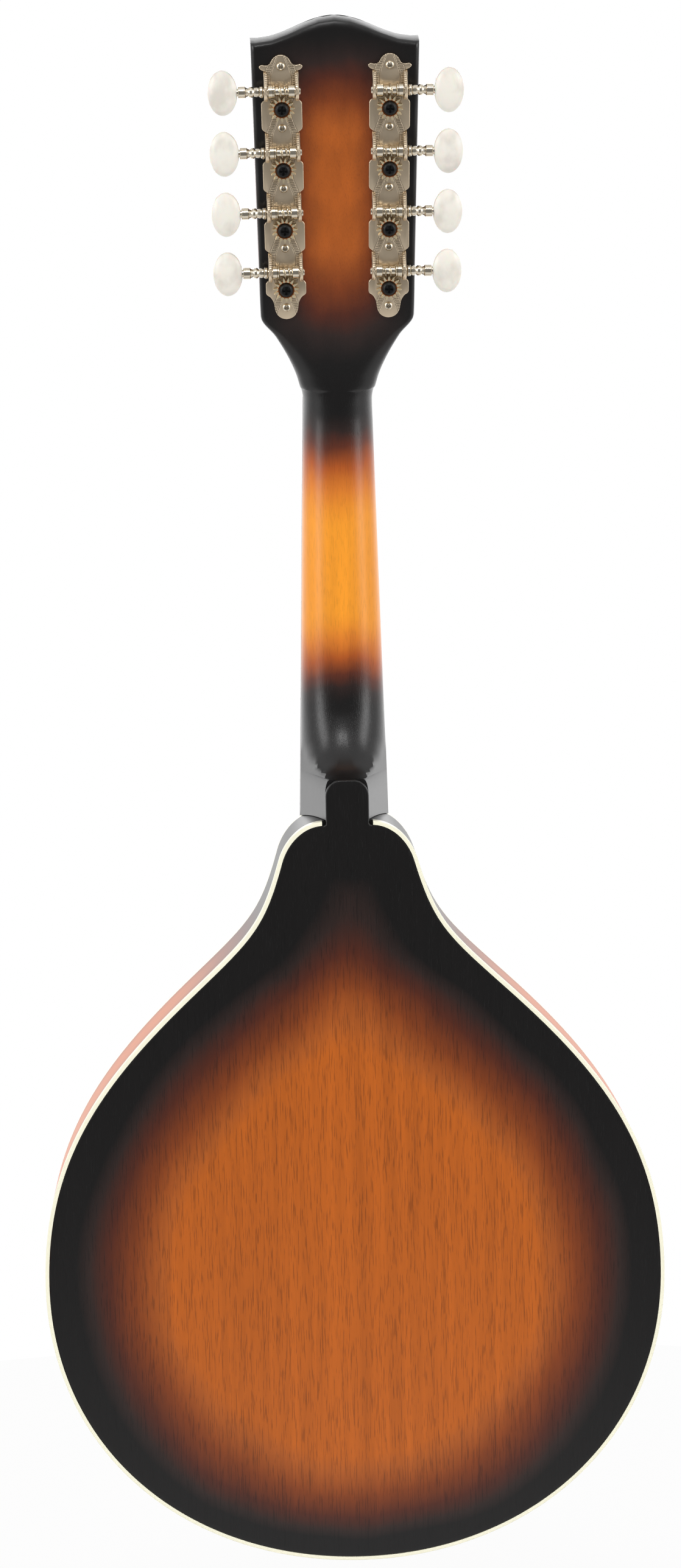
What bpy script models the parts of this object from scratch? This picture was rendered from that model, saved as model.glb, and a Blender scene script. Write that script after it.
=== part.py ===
"""A-style mandolin: flat bound back, arched top with f-holes, twelve-fret neck and open-gear tuners.

The instrument hangs upright. +Z runs up the neck, the strings face -Y and the flat back faces +Y.
The origin is on the centre line, at the nut end of the fingerboard, in the neck's glue plane.
All lengths are in metres and all angles in degrees.
"""

import math

import bmesh
import bpy
from mathutils import Matrix, Vector
from mathutils.geometry import interpolate_bezier

# Whole instrument
SCALE_LENGTH = 0.34925
NECK_ANGLE = 3.5
JOIN = 0.0003  # the glue line or running gap that is left between two touching pieces
COURSE_NAMES = ("g", "d", "a", "e")
FLAT_WITHIN = math.radians(0.05)  # faces that turn by less than this are one flat face

# Body outline, from the neck joint down, as half widths and distances below the joint
BODY_WIDTH = 0.2603
BODY_LENGTH = 0.3160
WIDEST_BELOW = 0.1934
END_FLAT = 0.0145
THROAT_HALF = 0.0295
THROAT_BELOW = 0.0156
THROAT_HEADING = 76.7
SHOULDER_HALF = 0.0671
SHOULDER_BELOW = 0.0710
SHOULDER_HEADING = 43.1
END_ROUND = 0.0064  # the reach of each curve's handles, from the joint's corner to the tail
THROAT_ROUND = 0.0038
THROAT_HOLLOW = 0.0277
SHOULDER_HOLLOW = 0.0338
SHOULDER_SWELL = 0.0529
WIDEST_SWELL = 0.0540
BOUT_FULLNESS = 0.556  # how full the round lower end is, as a share of its half width and its length
TAIL_FULLNESS = 0.60

# Body box
JOINT_RISE = 0.0029  # the neck's glue plane stands this far in front of the edge at the joint
BODY_DEPTH = 0.0450
BACK_THICKNESS = 0.0034
TOP_THICKNESS = 0.0036
ARCH_HEIGHT = 0.0080
RIB_THICKNESS = 0.0020
LINING_WIDTH = 0.0055
LINING_DEPTH = 0.0100
BINDING_WIDTH = 0.0016
BINDING_DEPTH = 0.0052
BLOCK_DEPTH = 0.0400
TAIL_BLOCK_DEPTH = 0.0130
TAIL_BLOCK_HALF = 0.0320
LINING_LIP = 0.0004  # what is left of a lining beside an end block
BAR_END_HEIGHT = 0.0030
TONE_BAR_HEIGHT = 0.0090
TONE_BAR_WIDTH = 0.0060
TONE_BAR_UPPER_X = 0.0160
TONE_BAR_LOWER_X = 0.0300
TONE_BAR_FROM_BLOCK = 0.0200
TONE_BAR_FROM_TAIL = 0.0300
BACK_BRACE_HEIGHT = 0.0100
BACK_BRACE_WIDTH = 0.0080
UPPER_BRACE_BELOW = 0.0850
LOWER_BRACE_BELOW = 0.2134

# Neck
NUT_WIDTH = 0.0288
JOINT_WIDTH = 0.0374
NECK_DEPTH_NUT = 0.0150
NECK_DEPTH_HEEL = 0.0170
SIDE_LIP = 0.0014
HEEL_LIP = 0.0060
HEEL_LENGTH = 0.0172
HEEL_SWEEP = 0.0350
HEEL_SEAT = 0.0040  # the heel is at full depth this far below the button's tip
TONGUE_STEP = 0.0020  # the neck's tongue ends this far before the fingerboard does
BUTTON_HALF = 0.0090
BUTTON_CORNER = 0.0040
DOVETAIL_LENGTH = 0.0130
DOVETAIL_HALF = 0.0075
DOVETAIL_FLARE = 0.0015
DOVETAIL_ROOT = 0.0040

# Fingerboard, nut and frets
FRET_COUNT = 20
FINGERBOARD_THICKNESS = 0.0050
FRET_HEIGHT = 0.0010
FRET_WIDTH = 0.0022
FINGERBOARD_TAIL = 0.0040
NUT_THICKNESS = 0.0050
NUT_RISE = 0.0023
STRING_OVER_NUT = 0.0019
ACTION_AT_TWELVE = 0.0030

# Headstock, with distances along it from the nut
HEAD_ANGLE = 16.5
HEAD_THICKNESS = 0.0145
OVERLAY_THICKNESS = 0.0020
HEAD_FLARE_TOP = 0.0388
HEAD_LOW_HALF = 0.0315
HEAD_CORNER = 0.1513
HEAD_TOP_HALF = 0.0338
HEAD_CROWN = 0.0088
FLARE_STEPS = (0.31, 0.515, 0.773)  # shares of the flare where the headstock has a section

# Tuners, placed along the headstock
TUNER_LINE = 0.0205
TUNER_LEAN = 0.525
FIRST_POST = 0.0517
POST_PITCH = 0.02473
POSTS_PER_SIDE = 4
PLATE_DROP = 0.0013  # how far the plate's outline sits below the posts that pass through it
PLATE_THICKNESS = 0.0012
PLATE_HALF = 0.0082
PLATE_WAIST = 0.0061
PLATE_TAB = 0.0047
EAR_OFFSET = 0.0063
EAR_THICKNESS = 0.0010
EAR_RADIUS = 0.0039
GEAR_TEETH = 15
GEAR_PITCH_RADIUS = 0.00475
GEAR_ADDENDUM = 0.00048
GEAR_DEDENDUM = 0.00055
GEAR_THICKNESS = 0.0022
TOOTH_WIDTH = 0.00082
WORM_PITCH_RADIUS = 0.00250
WORM_ADDENDUM = 0.00034
WORM_DEDENDUM = 0.00070
WORM_THREAD_HALF = 0.00066  # half the thread's width at its root
WORM_TURNS = 2.5
WORM_COLLAR_RADIUS = 0.00240
SLEEVE_RADIUS = 0.0024
SLEEVE_LENGTH = 0.0031
BEAD_RADIUS = 0.0022
BEAD_PITCH = 0.0024
MESH_HEIGHT = 0.0044  # the worm's axis and the gear's middle above the back of the headstock
JOURNAL_RADIUS = 0.0016
BEARING_GAP = 0.00018
POST_RADIUS = 0.0030
POST_WAIST_RADIUS = 0.0027
POST_RISE = 0.0130
BUSHING_RADIUS = 0.0046
BUSHING_RISE = 0.0014
GEAR_SCREW_RADIUS = 0.00285
BUTTON_DISTANCE = 0.0236  # from the line of posts to the middle of a tuner button
BUTTON_WIDTH = 0.0120
BUTTON_HEIGHT = 0.0183
BUTTON_THICKNESS = 0.0066
SOCKET_DEPTH = 0.0045

# Strings, from the lowest course to the highest
STRING_RADII = (0.00050, 0.00034, 0.00021, 0.00015)
NUT_COURSE_SPACING = 0.0071
NUT_PAIR_SPACING = 0.0022
BRIDGE_COURSE_SPACING = 0.0126
BRIDGE_PAIR_SPACING = 0.0030
WINDING_TURNS = 2
WINDING_GAP = 0.00045
WINDING_SEAT = 0.00022
POINTS_PER_LOOP = 8

# Bridge
BRIDGE_LENGTH = 0.1180
BRIDGE_WIDTH = 0.0120
BRIDGE_FOOT_HEIGHT = 0.0056
SADDLE_LENGTH = 0.0840
SADDLE_WIDTH = 0.0058
SADDLE_HEIGHT = 0.0052
SADDLE_TRAVEL = 0.0020
STUD_SPACING = 0.0580
STUD_RADIUS = 0.0016
STUD_REACH = 0.0023  # how far the studs stand into the saddle
WHEEL_RADIUS = 0.0058
WHEEL_THICKNESS = 0.0022

# Tailpiece
TAIL_PLATE_THICKNESS = 0.0012
TAIL_PLATE_HALF = 0.0250
TAIL_STRAP_HALF = 0.0170
TAIL_STRAP_DROP = 0.0230
TAIL_REACH = 0.0420
HOOK_FROM_END = 0.0330
HOOK_HEIGHT = 0.0030
HOOK_RADIUS = 0.0008
COVER_HALF = 0.0270
COVER_REACH = 0.0500
COVER_RISE = 0.0095
COVER_THICKNESS = 0.0010

# F-holes
F_HOLE_X = 0.0560
F_HOLE_LENGTH = 0.0700
F_HOLE_WIDTH = 0.0056
F_LOBE_RADIUS = 0.0043
F_HOLE_SWEEP = 0.0075
F_HOLE_SLANT = 0.0035
F_HOLE_TAPER = 0.62

# Truss rod
ROD_RADIUS = 0.0025
ROD_DEPTH = 0.0080
ROD_NUT_RADIUS = 0.0030
ROD_NUT_LENGTH = 0.0100
ROD_FROM_JOINT = 0.0140
ROD_CLEARANCE = 0.0020
ROD_WRENCH_GAP = 0.0012
ROD_POCKET_DEPTH = 0.0072
COVER_PLATE_THICKNESS = 0.0015
COVER_PLATE_LENGTH = 0.0300
COVER_PLATE_HALF = 0.0095
COVER_PLATE_TIP_HALF = 0.0032
COVER_PLATE_SHOULDER = 0.0040

# Values that follow from the sizes above
JOINT_Z = -SCALE_LENGTH / 2
SLOPE = math.tan(math.radians(NECK_ANGLE))
EDGE_FRONT_Y = JOINT_Z * SLOPE + JOINT_RISE
BACK_Y = EDGE_FRONT_Y + BODY_DEPTH
CENTRE_Z = JOINT_Z - WIDEST_BELOW
TAIL_Z = JOINT_Z - BODY_LENGTH
BRIDGE_Z = -SCALE_LENGTH
PLATE_INSET = BINDING_WIDTH + JOIN
CENTRE_DISTANCE = GEAR_PITCH_RADIUS + WORM_PITCH_RADIUS
AXIAL_PITCH = 2 * math.pi * GEAR_PITCH_RADIUS / GEAR_TEETH
WIDTH_PER_METRE = (JOINT_WIDTH - NUT_WIDTH) / (SCALE_LENGTH / 2)
BRIDGE_STRING_RISE = FINGERBOARD_THICKNESS + STRING_OVER_NUT + 2 * (
    FRET_HEIGHT + ACTION_AT_TWELVE - STRING_OVER_NUT
)

SIDES = ((-1, "bass"), (1, "treble"))

# The neck's and the headstock's own frames: x across, y away from the strings, z along the wood
NECK_FRAME = Matrix.Rotation(math.radians(-NECK_ANGLE), 4, "X")
HEAD_FRAME = Matrix.Rotation(math.radians(-HEAD_ANGLE), 4, "X")
# Turns a flat outline drawn in x and y to stand in x and z, with its thickness toward the strings
UPRIGHT = Matrix.Rotation(math.radians(90), 4, "X")
# Turns a piece made along z to lie along +y, away from the strings
BACKWARD = Matrix.Rotation(math.radians(-90), 4, "X")
# Turns a piece made along z to lie along +x
SIDEWAYS = Matrix.Rotation(math.radians(90), 4, "Y")
# Stands a bar's outline, drawn in x and y, across the strings with its height toward them
STANDING = Matrix.Rotation(math.radians(180), 4, "X")


def clear_scene():
    for thing in list(bpy.data.objects):
        bpy.data.objects.remove(thing, do_unlink=True)


def new_collection(name):
    group = bpy.data.collections.new(name)
    bpy.context.scene.collection.children.link(group)
    return group


def new_material(name, colour, roughness, metallic=0.0):
    material = bpy.data.materials.new(name)
    material.use_nodes = True
    shader = material.node_tree.nodes["Principled BSDF"]
    shader.inputs["Base Color"].default_value = (*colour, 1.0)
    shader.inputs["Roughness"].default_value = roughness
    shader.inputs["Metallic"].default_value = metallic
    material.diffuse_color = (*colour, 1.0)
    return material


def at(x, y, z):
    return Matrix.Translation((x, y, z))


# Making solids


def place(name, mesh, material, matrix=None):
    """A named piece of the instrument."""
    piece = bpy.data.objects.new(name, mesh)
    PARTS.objects.link(piece)
    piece.matrix_world = matrix or Matrix.Identity(4)
    if material and not mesh.materials:
        mesh.materials.append(material)
    return piece


def closed_mesh(name, vertices, faces):
    mesh = bpy.data.meshes.new(name)
    bm = bmesh.new()
    made = [bm.verts.new(v) for v in vertices]
    for face in faces:
        bm.faces.new([made[i] for i in face])
    bmesh.ops.recalc_face_normals(bm, faces=bm.faces)
    return finished(bm, mesh)


def finished(bm, mesh):
    """Writes a body to its mesh with each flat face in one piece, and shades its curves smooth."""
    bmesh.ops.dissolve_limit(bm, angle_limit=FLAT_WITHIN, verts=bm.verts, edges=bm.edges)
    bm.to_mesh(mesh)
    bm.free()
    mesh.shade_smooth()
    mesh.set_sharp_from_angle(angle=math.radians(35))
    return mesh


def sheet_solid(name, front, back):
    """A closed body between two grids of points with the same rows and columns."""
    rows = len(front)
    columns = len(front[0])
    vertices = [p for row in front for p in row] + [p for row in back for p in row]
    other = rows * columns

    def index(row, column):
        return row * columns + column

    faces = []
    for r in range(rows - 1):
        for c in range(columns - 1):
            quad = [index(r, c), index(r, c + 1), index(r + 1, c + 1), index(r + 1, c)]
            faces.append(quad)
            faces.append([other + i for i in reversed(quad)])
    rim = [index(0, c) for c in range(columns)]
    rim += [index(r, columns - 1) for r in range(1, rows)]
    rim += [index(rows - 1, c) for c in range(columns - 2, -1, -1)]
    rim += [index(r, 0) for r in range(rows - 2, 0, -1)]
    for a, b in zip(rim, rim[1:] + rim[:1]):
        faces.append([a, other + a, other + b, b])
    return closed_mesh(name, vertices, faces)


def loft(name, rings):
    """A closed body through rings of points, with flat ends."""
    count = len(rings[0])
    vertices = [p for ring in rings for p in ring]
    faces = []
    for r in range(len(rings) - 1):
        for i in range(count):
            j = (i + 1) % count
            faces.append([r * count + i, r * count + j, (r + 1) * count + j, (r + 1) * count + i])
    faces.append(list(range(count)))
    faces.append([(len(rings) - 1) * count + i for i in range(count)])
    return closed_mesh(name, vertices, faces)


def evaluated_mesh(thing):
    """The finished mesh of an object, its caps welded and its flat faces whole; the object goes."""
    graph = bpy.context.evaluated_depsgraph_get()
    mesh = bpy.data.meshes.new_from_object(thing.evaluated_get(graph))
    bm = bmesh.new()
    bm.from_mesh(mesh)
    bmesh.ops.remove_doubles(bm, verts=bm.verts, dist=1e-7)
    bpy.data.objects.remove(thing, do_unlink=True)
    return finished(bm, mesh)


def flat_outline(name, outline, thickness):
    """A flat piece from its outline in x and y, its thickness centred on z = 0."""
    curve = bpy.data.curves.new(name, "CURVE")
    curve.dimensions = "2D"
    curve.fill_mode = "BOTH"
    curve.extrude = thickness / 2
    spline = curve.splines.new("POLY")
    spline.points.add(len(outline) - 1)
    for point, (x, y) in zip(spline.points, outline):
        point.co = (x, y, 0, 1)
    spline.use_cyclic_u = True
    thing = bpy.data.objects.new(name, curve)
    PARTS.objects.link(thing)
    return evaluated_mesh(thing)


def turned(name, profile, segments):
    """A body turned about z from its profile of (radius, height), listed from the top down."""
    line = bpy.data.meshes.new(name)
    line.from_pydata(
        [(radius, 0, height) for radius, height in profile],
        [(i, i + 1) for i in range(len(profile) - 1)],
        [],
    )
    thing = bpy.data.objects.new(name, line)
    PARTS.objects.link(thing)
    screw = thing.modifiers.new("Turn", "SCREW")
    screw.steps = segments
    screw.render_steps = segments
    screw.use_merge_vertices = True
    screw.merge_threshold = 1e-6
    return evaluated_mesh(thing)


def tube(name, points, radius):
    """A six-sided tube with capped ends through its points."""
    curve = bpy.data.curves.new(name, "CURVE")
    curve.dimensions = "3D"
    curve.bevel_depth = radius
    curve.bevel_resolution = 1
    curve.use_fill_caps = True
    spline = curve.splines.new("POLY")
    spline.points.add(len(points) - 1)
    for point, place_at in zip(spline.points, points):
        point.co = (*place_at, 1)
    thing = bpy.data.objects.new(name, curve)
    PARTS.objects.link(thing)
    return evaluated_mesh(thing)


def box_mesh(name, low, high):
    bm = bmesh.new()
    bmesh.ops.create_cube(bm, size=1.0)
    size = Vector(high) - Vector(low)
    middle = (Vector(high) + Vector(low)) / 2
    for vertex in bm.verts:
        vertex.co = middle + Vector((vertex.co.x * size.x, vertex.co.y * size.y, vertex.co.z * size.z))
    mesh = bpy.data.meshes.new(name)
    bm.to_mesh(mesh)
    bm.free()
    return mesh


def round_mesh(name, radius, low, high, segments):
    """A plain cylinder about z between two heights."""
    return turned(name, [(0, high), (radius, high), (radius, low), (0, low)], segments)


def helper(name, mesh, matrix=None):
    """A body that only cuts or joins another, kept out of the instrument."""
    thing = bpy.data.objects.new(name, mesh)
    CUTTERS.objects.link(thing)
    thing.matrix_world = matrix or Matrix.Identity(4)
    thing.hide_render = True
    thing.display_type = "WIRE"
    return thing


def combine(piece, operation, tool):
    modifier = piece.modifiers.new(tool.name, "BOOLEAN")
    modifier.operation = operation
    modifier.object = tool
    modifier.solver = "EXACT"


def cut(piece, name, mesh, matrix=None):
    combine(piece, "DIFFERENCE", helper(name, mesh, matrix))


def join(piece, name, mesh, matrix=None):
    combine(piece, "UNION", helper(name, mesh, matrix))


def join_meshes(name, first, second):
    """One mesh from two that overlap."""
    base = bpy.data.objects.new(name, first)
    PARTS.objects.link(base)
    tool = bpy.data.objects.new(name + "_tool", second)
    PARTS.objects.link(tool)
    combine(base, "UNION", tool)
    bpy.context.view_layer.update()
    mesh = evaluated_mesh(base)
    bpy.data.objects.remove(tool, do_unlink=True)
    return mesh


# The body's outline and arch


def heading(angle):
    """A unit vector in the outline's plane: 0 points out to the side, 90 points down."""
    return Vector((math.cos(math.radians(angle)), math.sin(math.radians(angle)), 0))


def half_outline():
    """The outer edge on the +X side as (half width, distance below the joint), with outward normals."""
    widest = BODY_WIDTH / 2
    lower = BODY_LENGTH - WIDEST_BELOW
    # Each knot has its place, its heading and the reach of its handles behind and ahead of it
    knots = (
        (Vector((END_FLAT, 0, 0)), heading(0), 0, END_ROUND),
        (Vector((THROAT_HALF, THROAT_BELOW, 0)), heading(THROAT_HEADING), THROAT_ROUND, THROAT_HOLLOW),
        (
            Vector((SHOULDER_HALF, SHOULDER_BELOW, 0)),
            heading(SHOULDER_HEADING),
            SHOULDER_HOLLOW,
            SHOULDER_SWELL,
        ),
        (Vector((widest, WIDEST_BELOW, 0)), heading(90), WIDEST_SWELL, BOUT_FULLNESS * widest),
        (Vector((0, BODY_LENGTH, 0)), heading(180), TAIL_FULLNESS * lower, 0),
    )
    steps = (4, 6, 7, 10)
    points = [Vector((BUTTON_HALF + JOIN, 0, 0))]
    for here, there, count in zip(knots, knots[1:], steps):
        start, leave, _, ahead = here
        end, arrive, behind, _ = there
        curve = interpolate_bezier(start, start + leave * ahead, end - arrive * behind, end, count)
        points += curve[:-1]
    points.append(Vector((0, BODY_LENGTH, 0)))
    tangents = [points[1] - points[0]]
    tangents += [points[i + 1] - points[i - 1] for i in range(1, len(points) - 1)]
    tangents.append(Vector((-1, 0, 0)))
    normals = [Vector((t.y, -t.x, 0)).normalized() for t in tangents]
    return points, normals


OUTLINE, NORMALS = half_outline()
LAST = len(OUTLINE) - 1


def edge_point(station, inset):
    """(x, z) on the +X side of the body at a station, moved in from the outer edge."""
    point = OUTLINE[station] - NORMALS[station] * inset
    return point.x, JOINT_Z - point.y


def half_width_at(z, inset):
    """Half the body's width at a height, moved in from the outer edge."""
    edge = [edge_point(i, inset) for i in range(LAST + 1)]
    for (x1, z1), (x2, z2) in zip(edge, edge[1:]):
        if z2 <= z <= z1:
            return x1 + (x2 - x1) * (z1 - z) / (z1 - z2)
    return 0.0


def tail_edge_z(x, inset):
    """The height of the lower edge at a distance from the centre line, moved in from the outer edge."""
    edge = [edge_point(i, inset) for i in range(LAST, 0, -1)]
    for (x1, z1), (x2, z2) in zip(edge, edge[1:]):
        if x1 <= x <= x2:
            return z1 + (z2 - z1) * (x - x1) / (x2 - x1)
    return CENTRE_Z


def ring_at(inset):
    """The whole closed outline, moved in by inset, from the joint round the +X side and back."""
    right = [edge_point(i, inset) for i in range(LAST + 1)]
    left = [(-x, z) for x, z in reversed(right[:-1])]
    return right + left


def arch_share(fraction):
    """The share of the arch's height where a ring of the top is scaled to this fraction."""
    profile = ((1.0, 0.0), (0.93, 0.02), (0.80, 0.26), (0.60, 0.70), (0.34, 0.96), (0.0, 1.0))
    for (outer, low), (inner, high) in zip(profile, profile[1:]):
        if fraction >= inner:
            return low + (high - low) * (outer - fraction) / (outer - inner)
    return 1.0


def arch_y(x, z):
    """The y of the top's outer face at a place on it."""
    ring = ring_at(PLATE_INSET)
    here = Vector((x, z - CENTRE_Z))
    if here.length < 1e-6:
        return EDGE_FRONT_Y - ARCH_HEIGHT
    best = 1.0
    for (x1, z1), (x2, z2) in zip(ring, ring[1:] + ring[:1]):
        a = Vector((x1, z1 - CENTRE_Z))
        b = Vector((x2, z2 - CENTRE_Z))
        cross = a.x * b.y - a.y * b.x
        s = (here.x * b.y - here.y * b.x) / cross if cross else -1
        t = (a.x * here.y - a.y * here.x) / cross if cross else -1
        if s >= -1e-9 and t >= -1e-9 and s + t > 0:
            best = s + t
            break
    return EDGE_FRONT_Y - ARCH_HEIGHT * arch_share(min(best, 1.0))


def under_top(x, z, gap=JOIN):
    """The y just inside the top."""
    return arch_y(x, z) + TOP_THICKNESS + gap


# The body


def along_edge(profile_at, stations, mirrored):
    """Rings of a moulding that follows the outline; profile_at gives (inset, y) pairs at a station."""
    rings = []
    for station in stations:
        ring = []
        for inset, y in profile_at(station):
            x, z = edge_point(station, inset)
            ring.append((-x if mirrored else x, y, z))
        rings.append(ring)
    return rings


def build_plates():
    ring = ring_at(PLATE_INSET)
    scales = (1.0, 0.93, 0.80, 0.60, 0.34)
    outside = []
    inside = []
    for scale in scales:
        y = EDGE_FRONT_Y - ARCH_HEIGHT * arch_share(scale)
        flat = [(x * scale, CENTRE_Z + (z - CENTRE_Z) * scale) for x, z in ring]
        outside.append([(x, y, z) for x, z in flat])
        inside.append([(x, y + TOP_THICKNESS, z) for x, z in flat])
    top = place("top_plate", loft("top_plate", list(reversed(inside)) + outside), SPRUCE)
    for side, name in SIDES:
        cut_f_hole(top, side, name)
    slot = flat_outline("top_dovetail_slot", dovetail_slot_outline(), 2 * BODY_DEPTH)
    cut(top, "top_dovetail_slot", slot, UPRIGHT)

    button = button_outline()
    right = [edge_point(i, PLATE_INSET) for i in range(1, LAST + 1)]
    half = button + right
    outline = half + [(-x, z) for x, z in reversed(half[1:-1])]
    back = flat_outline("back_plate", outline, BACK_THICKNESS)
    place("back_plate", back, MAHOGANY_BURST, at(0, BACK_Y - BACK_THICKNESS / 2, 0) @ UPRIGHT)


def button_outline():
    """The +X half of the heel button, from its tip down to its root in the plate."""
    tip = JOINT_Z + HEEL_LENGTH
    corner_x = BUTTON_HALF - BUTTON_CORNER
    corner_z = tip - BUTTON_CORNER
    points = [(0.0, tip)]
    for step in range(5):
        angle = math.radians(90 - 22.5 * step)
        x = corner_x + BUTTON_CORNER * math.cos(angle)
        points.append((x, corner_z + BUTTON_CORNER * math.sin(angle)))
    points.append((BUTTON_HALF, edge_point(0, PLATE_INSET)[1]))
    return points


def cut_f_hole(top, side, name):
    """An f-hole as one slanted S-shaped slot that ends in two round lobes."""
    steps = 8
    spine = []
    for i in range(steps + 1):
        t = i / steps * 2 - 1
        x = side * (F_HOLE_X - F_HOLE_SWEEP * math.sin(t * math.pi / 2) * abs(t) ** 0.5 + F_HOLE_SLANT * t)
        z = BRIDGE_Z + t * F_HOLE_LENGTH / 2
        half = F_HOLE_WIDTH * (1 - F_HOLE_TAPER * abs(t) ** 1.5) / 2
        spine.append((x, z, half))
    outline = [(x + half, z) for x, z, half in spine]
    outline += [(x - half, z) for x, z, half in reversed(spine)]
    reach = 4 * ARCH_HEIGHT
    middle_y = EDGE_FRONT_Y - ARCH_HEIGHT / 2
    slot = flat_outline("f_slot", outline, reach)
    cut(top, f"f_slot_{name}", slot, at(0, middle_y, 0) @ UPRIGHT)
    for (x, z, _), outward, end_name in ((spine[0], 1, "lower"), (spine[-1], -1, "upper")):
        lobe = round_mesh("f_lobe", F_LOBE_RADIUS, -reach / 2, reach / 2, 10)
        lobe_x = x + side * outward * F_LOBE_RADIUS * 0.8
        cut(top, f"f_lobe_{name}_{end_name}", lobe, at(lobe_x, middle_y, z) @ BACKWARD)


def lining_width(station):
    """The linings end at the first station clear of each end block; beside a block only a lip is left."""
    above_z = edge_point(max(station - 1, 0), 0)[1]
    below_x, below_z = edge_point(min(station + 1, LAST), 0)
    beside_neck = above_z > JOINT_Z - BLOCK_DEPTH
    beside_tail = below_z < CENTRE_Z and below_x < TAIL_BLOCK_HALF
    return LINING_LIP if beside_neck or beside_tail else LINING_WIDTH


def build_ribs():
    """Each rib is one bent side with its top and back linings glued inside it."""
    front = EDGE_FRONT_Y + BINDING_DEPTH + JOIN
    rear = BACK_Y - BINDING_DEPTH - JOIN
    lining_front = EDGE_FRONT_Y + TOP_THICKNESS + JOIN
    lining_rear = BACK_Y - BACK_THICKNESS - JOIN

    def profile(station):
        step = PLATE_INSET
        wide = step + lining_width(station)
        inner = RIB_THICKNESS
        return (
            (0, front),
            (0, rear),
            (step, rear),
            (step, lining_rear),
            (wide, lining_rear),
            (inner, lining_rear - LINING_DEPTH),
            (inner, lining_front + LINING_DEPTH),
            (wide, lining_front),
            (step, lining_front),
            (step, front),
        )

    for mirrored, name in ((True, "rib_bass"), (False, "rib_treble")):
        rings = along_edge(profile, range(LAST + 1), mirrored)
        tail = rings[-1]
        shift = -JOIN / 2 if mirrored else JOIN / 2
        rings[-1] = [(x + shift, y, z) for x, y, z in tail]
        place(name, loft(name, rings), MAHOGANY_BURST)


def build_bindings():
    def binding(name, front, rear):
        def profile(_):
            return ((0, front), (0, rear), (BINDING_WIDTH, rear), (BINDING_WIDTH, front))

        right = along_edge(profile, range(LAST + 1), False)
        left = along_edge(profile, range(LAST), True)
        place(name, loft(name, right + list(reversed(left))), CREAM)

    binding("binding_top", EDGE_FRONT_Y, EDGE_FRONT_Y + BINDING_DEPTH)
    binding("binding_back", BACK_Y - BINDING_DEPTH, BACK_Y)


def build_blocks():
    front = EDGE_FRONT_Y + TOP_THICKNESS + JOIN
    rear = BACK_Y - BACK_THICKNESS - JOIN
    inset = PLATE_INSET + LINING_LIP + JOIN
    depth = rear - front
    middle = (front + rear) / 2

    right = [edge_point(i, inset) for i in range(LAST + 1)]
    block_z = JOINT_Z - BLOCK_DEPTH
    neck_side = [(x, z) for x, z in right if z > block_z + JOIN]
    neck_side.append((half_width_at(block_z, inset), block_z))
    outline = neck_side + [(-x, z) for x, z in reversed(neck_side)]
    block = flat_outline("neck_block", outline, depth)
    piece = place("neck_block", block, SPRUCE_INSIDE, at(0, middle, 0) @ UPRIGHT)
    slot = flat_outline("dovetail_slot", dovetail_slot_outline(), 2 * BODY_DEPTH)
    cut(piece, "dovetail_slot", slot, at(0, middle, 0) @ UPRIGHT)

    bottom = [(TAIL_BLOCK_HALF, tail_edge_z(TAIL_BLOCK_HALF, inset))]
    bottom += [(x, z) for x, z in right if z < CENTRE_Z and x < TAIL_BLOCK_HALF - JOIN]
    inner_z = TAIL_Z + inset + TAIL_BLOCK_DEPTH
    outline = [(TAIL_BLOCK_HALF, inner_z)] + bottom
    outline += [(-x, z) for x, z in reversed(bottom[:-1])] + [(-TAIL_BLOCK_HALF, inner_z)]
    block = flat_outline("tail_block", outline, depth)
    place("tail_block", block, SPRUCE_INSIDE, at(0, middle, 0) @ UPRIGHT)


def build_tone_bars():
    """The two bars under the top, which spread toward the tail and thin out toward their ends."""
    upper_z = JOINT_Z - BLOCK_DEPTH - TONE_BAR_FROM_BLOCK
    lower_z = TAIL_Z + TAIL_BLOCK_DEPTH + TONE_BAR_FROM_TAIL
    for side, side_name in SIDES:
        front = []
        back = []
        for i in range(11):
            t = i / 10
            z = upper_z + (lower_z - upper_z) * t
            x = side * (TONE_BAR_UPPER_X + (TONE_BAR_LOWER_X - TONE_BAR_UPPER_X) * t)
            height = BAR_END_HEIGHT + (TONE_BAR_HEIGHT - BAR_END_HEIGHT) * math.sin(math.pi * t) ** 0.7
            edges = [x - TONE_BAR_WIDTH / 2, x + TONE_BAR_WIDTH / 2]
            top_y = max(under_top(e, z) for e in edges)
            front.append([(e, top_y, z) for e in edges])
            back.append([(e, top_y + height, z) for e in edges])
        name = f"tone_bar_{side_name}"
        place(name, sheet_solid(name, front, back), SPRUCE_INSIDE)


def build_back_braces():
    """The two braces across the back, from lining to lining."""
    inner = BACK_Y - BACK_THICKNESS - JOIN
    inset = PLATE_INSET + LINING_WIDTH
    for below, name in ((UPPER_BRACE_BELOW, "back_brace_upper"), (LOWER_BRACE_BELOW, "back_brace_lower")):
        low = JOINT_Z - below - BACK_BRACE_WIDTH / 2
        high = low + BACK_BRACE_WIDTH
        reach = min(half_width_at(low, inset), half_width_at(high, inset)) - JOIN
        front = []
        back = []
        for i in range(9):
            t = i / 4 - 1
            height = BAR_END_HEIGHT + (BACK_BRACE_HEIGHT - BAR_END_HEIGHT) * (1 - abs(t) ** 4)
            front.append([(t * reach, inner - height, low), (t * reach, inner - height, high)])
            back.append([(t * reach, inner, low), (t * reach, inner, high)])
        place(name, sheet_solid(name, front, back), SPRUCE_INSIDE)


# The neck


def dovetail_outline():
    """The dovetail seen from the front, as (x, z)."""
    start = JOINT_Z + DOVETAIL_ROOT
    end = JOINT_Z - DOVETAIL_LENGTH
    wide = DOVETAIL_HALF + DOVETAIL_FLARE
    return [(DOVETAIL_HALF, start), (wide, end), (-wide, end), (-DOVETAIL_HALF, start)]


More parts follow.
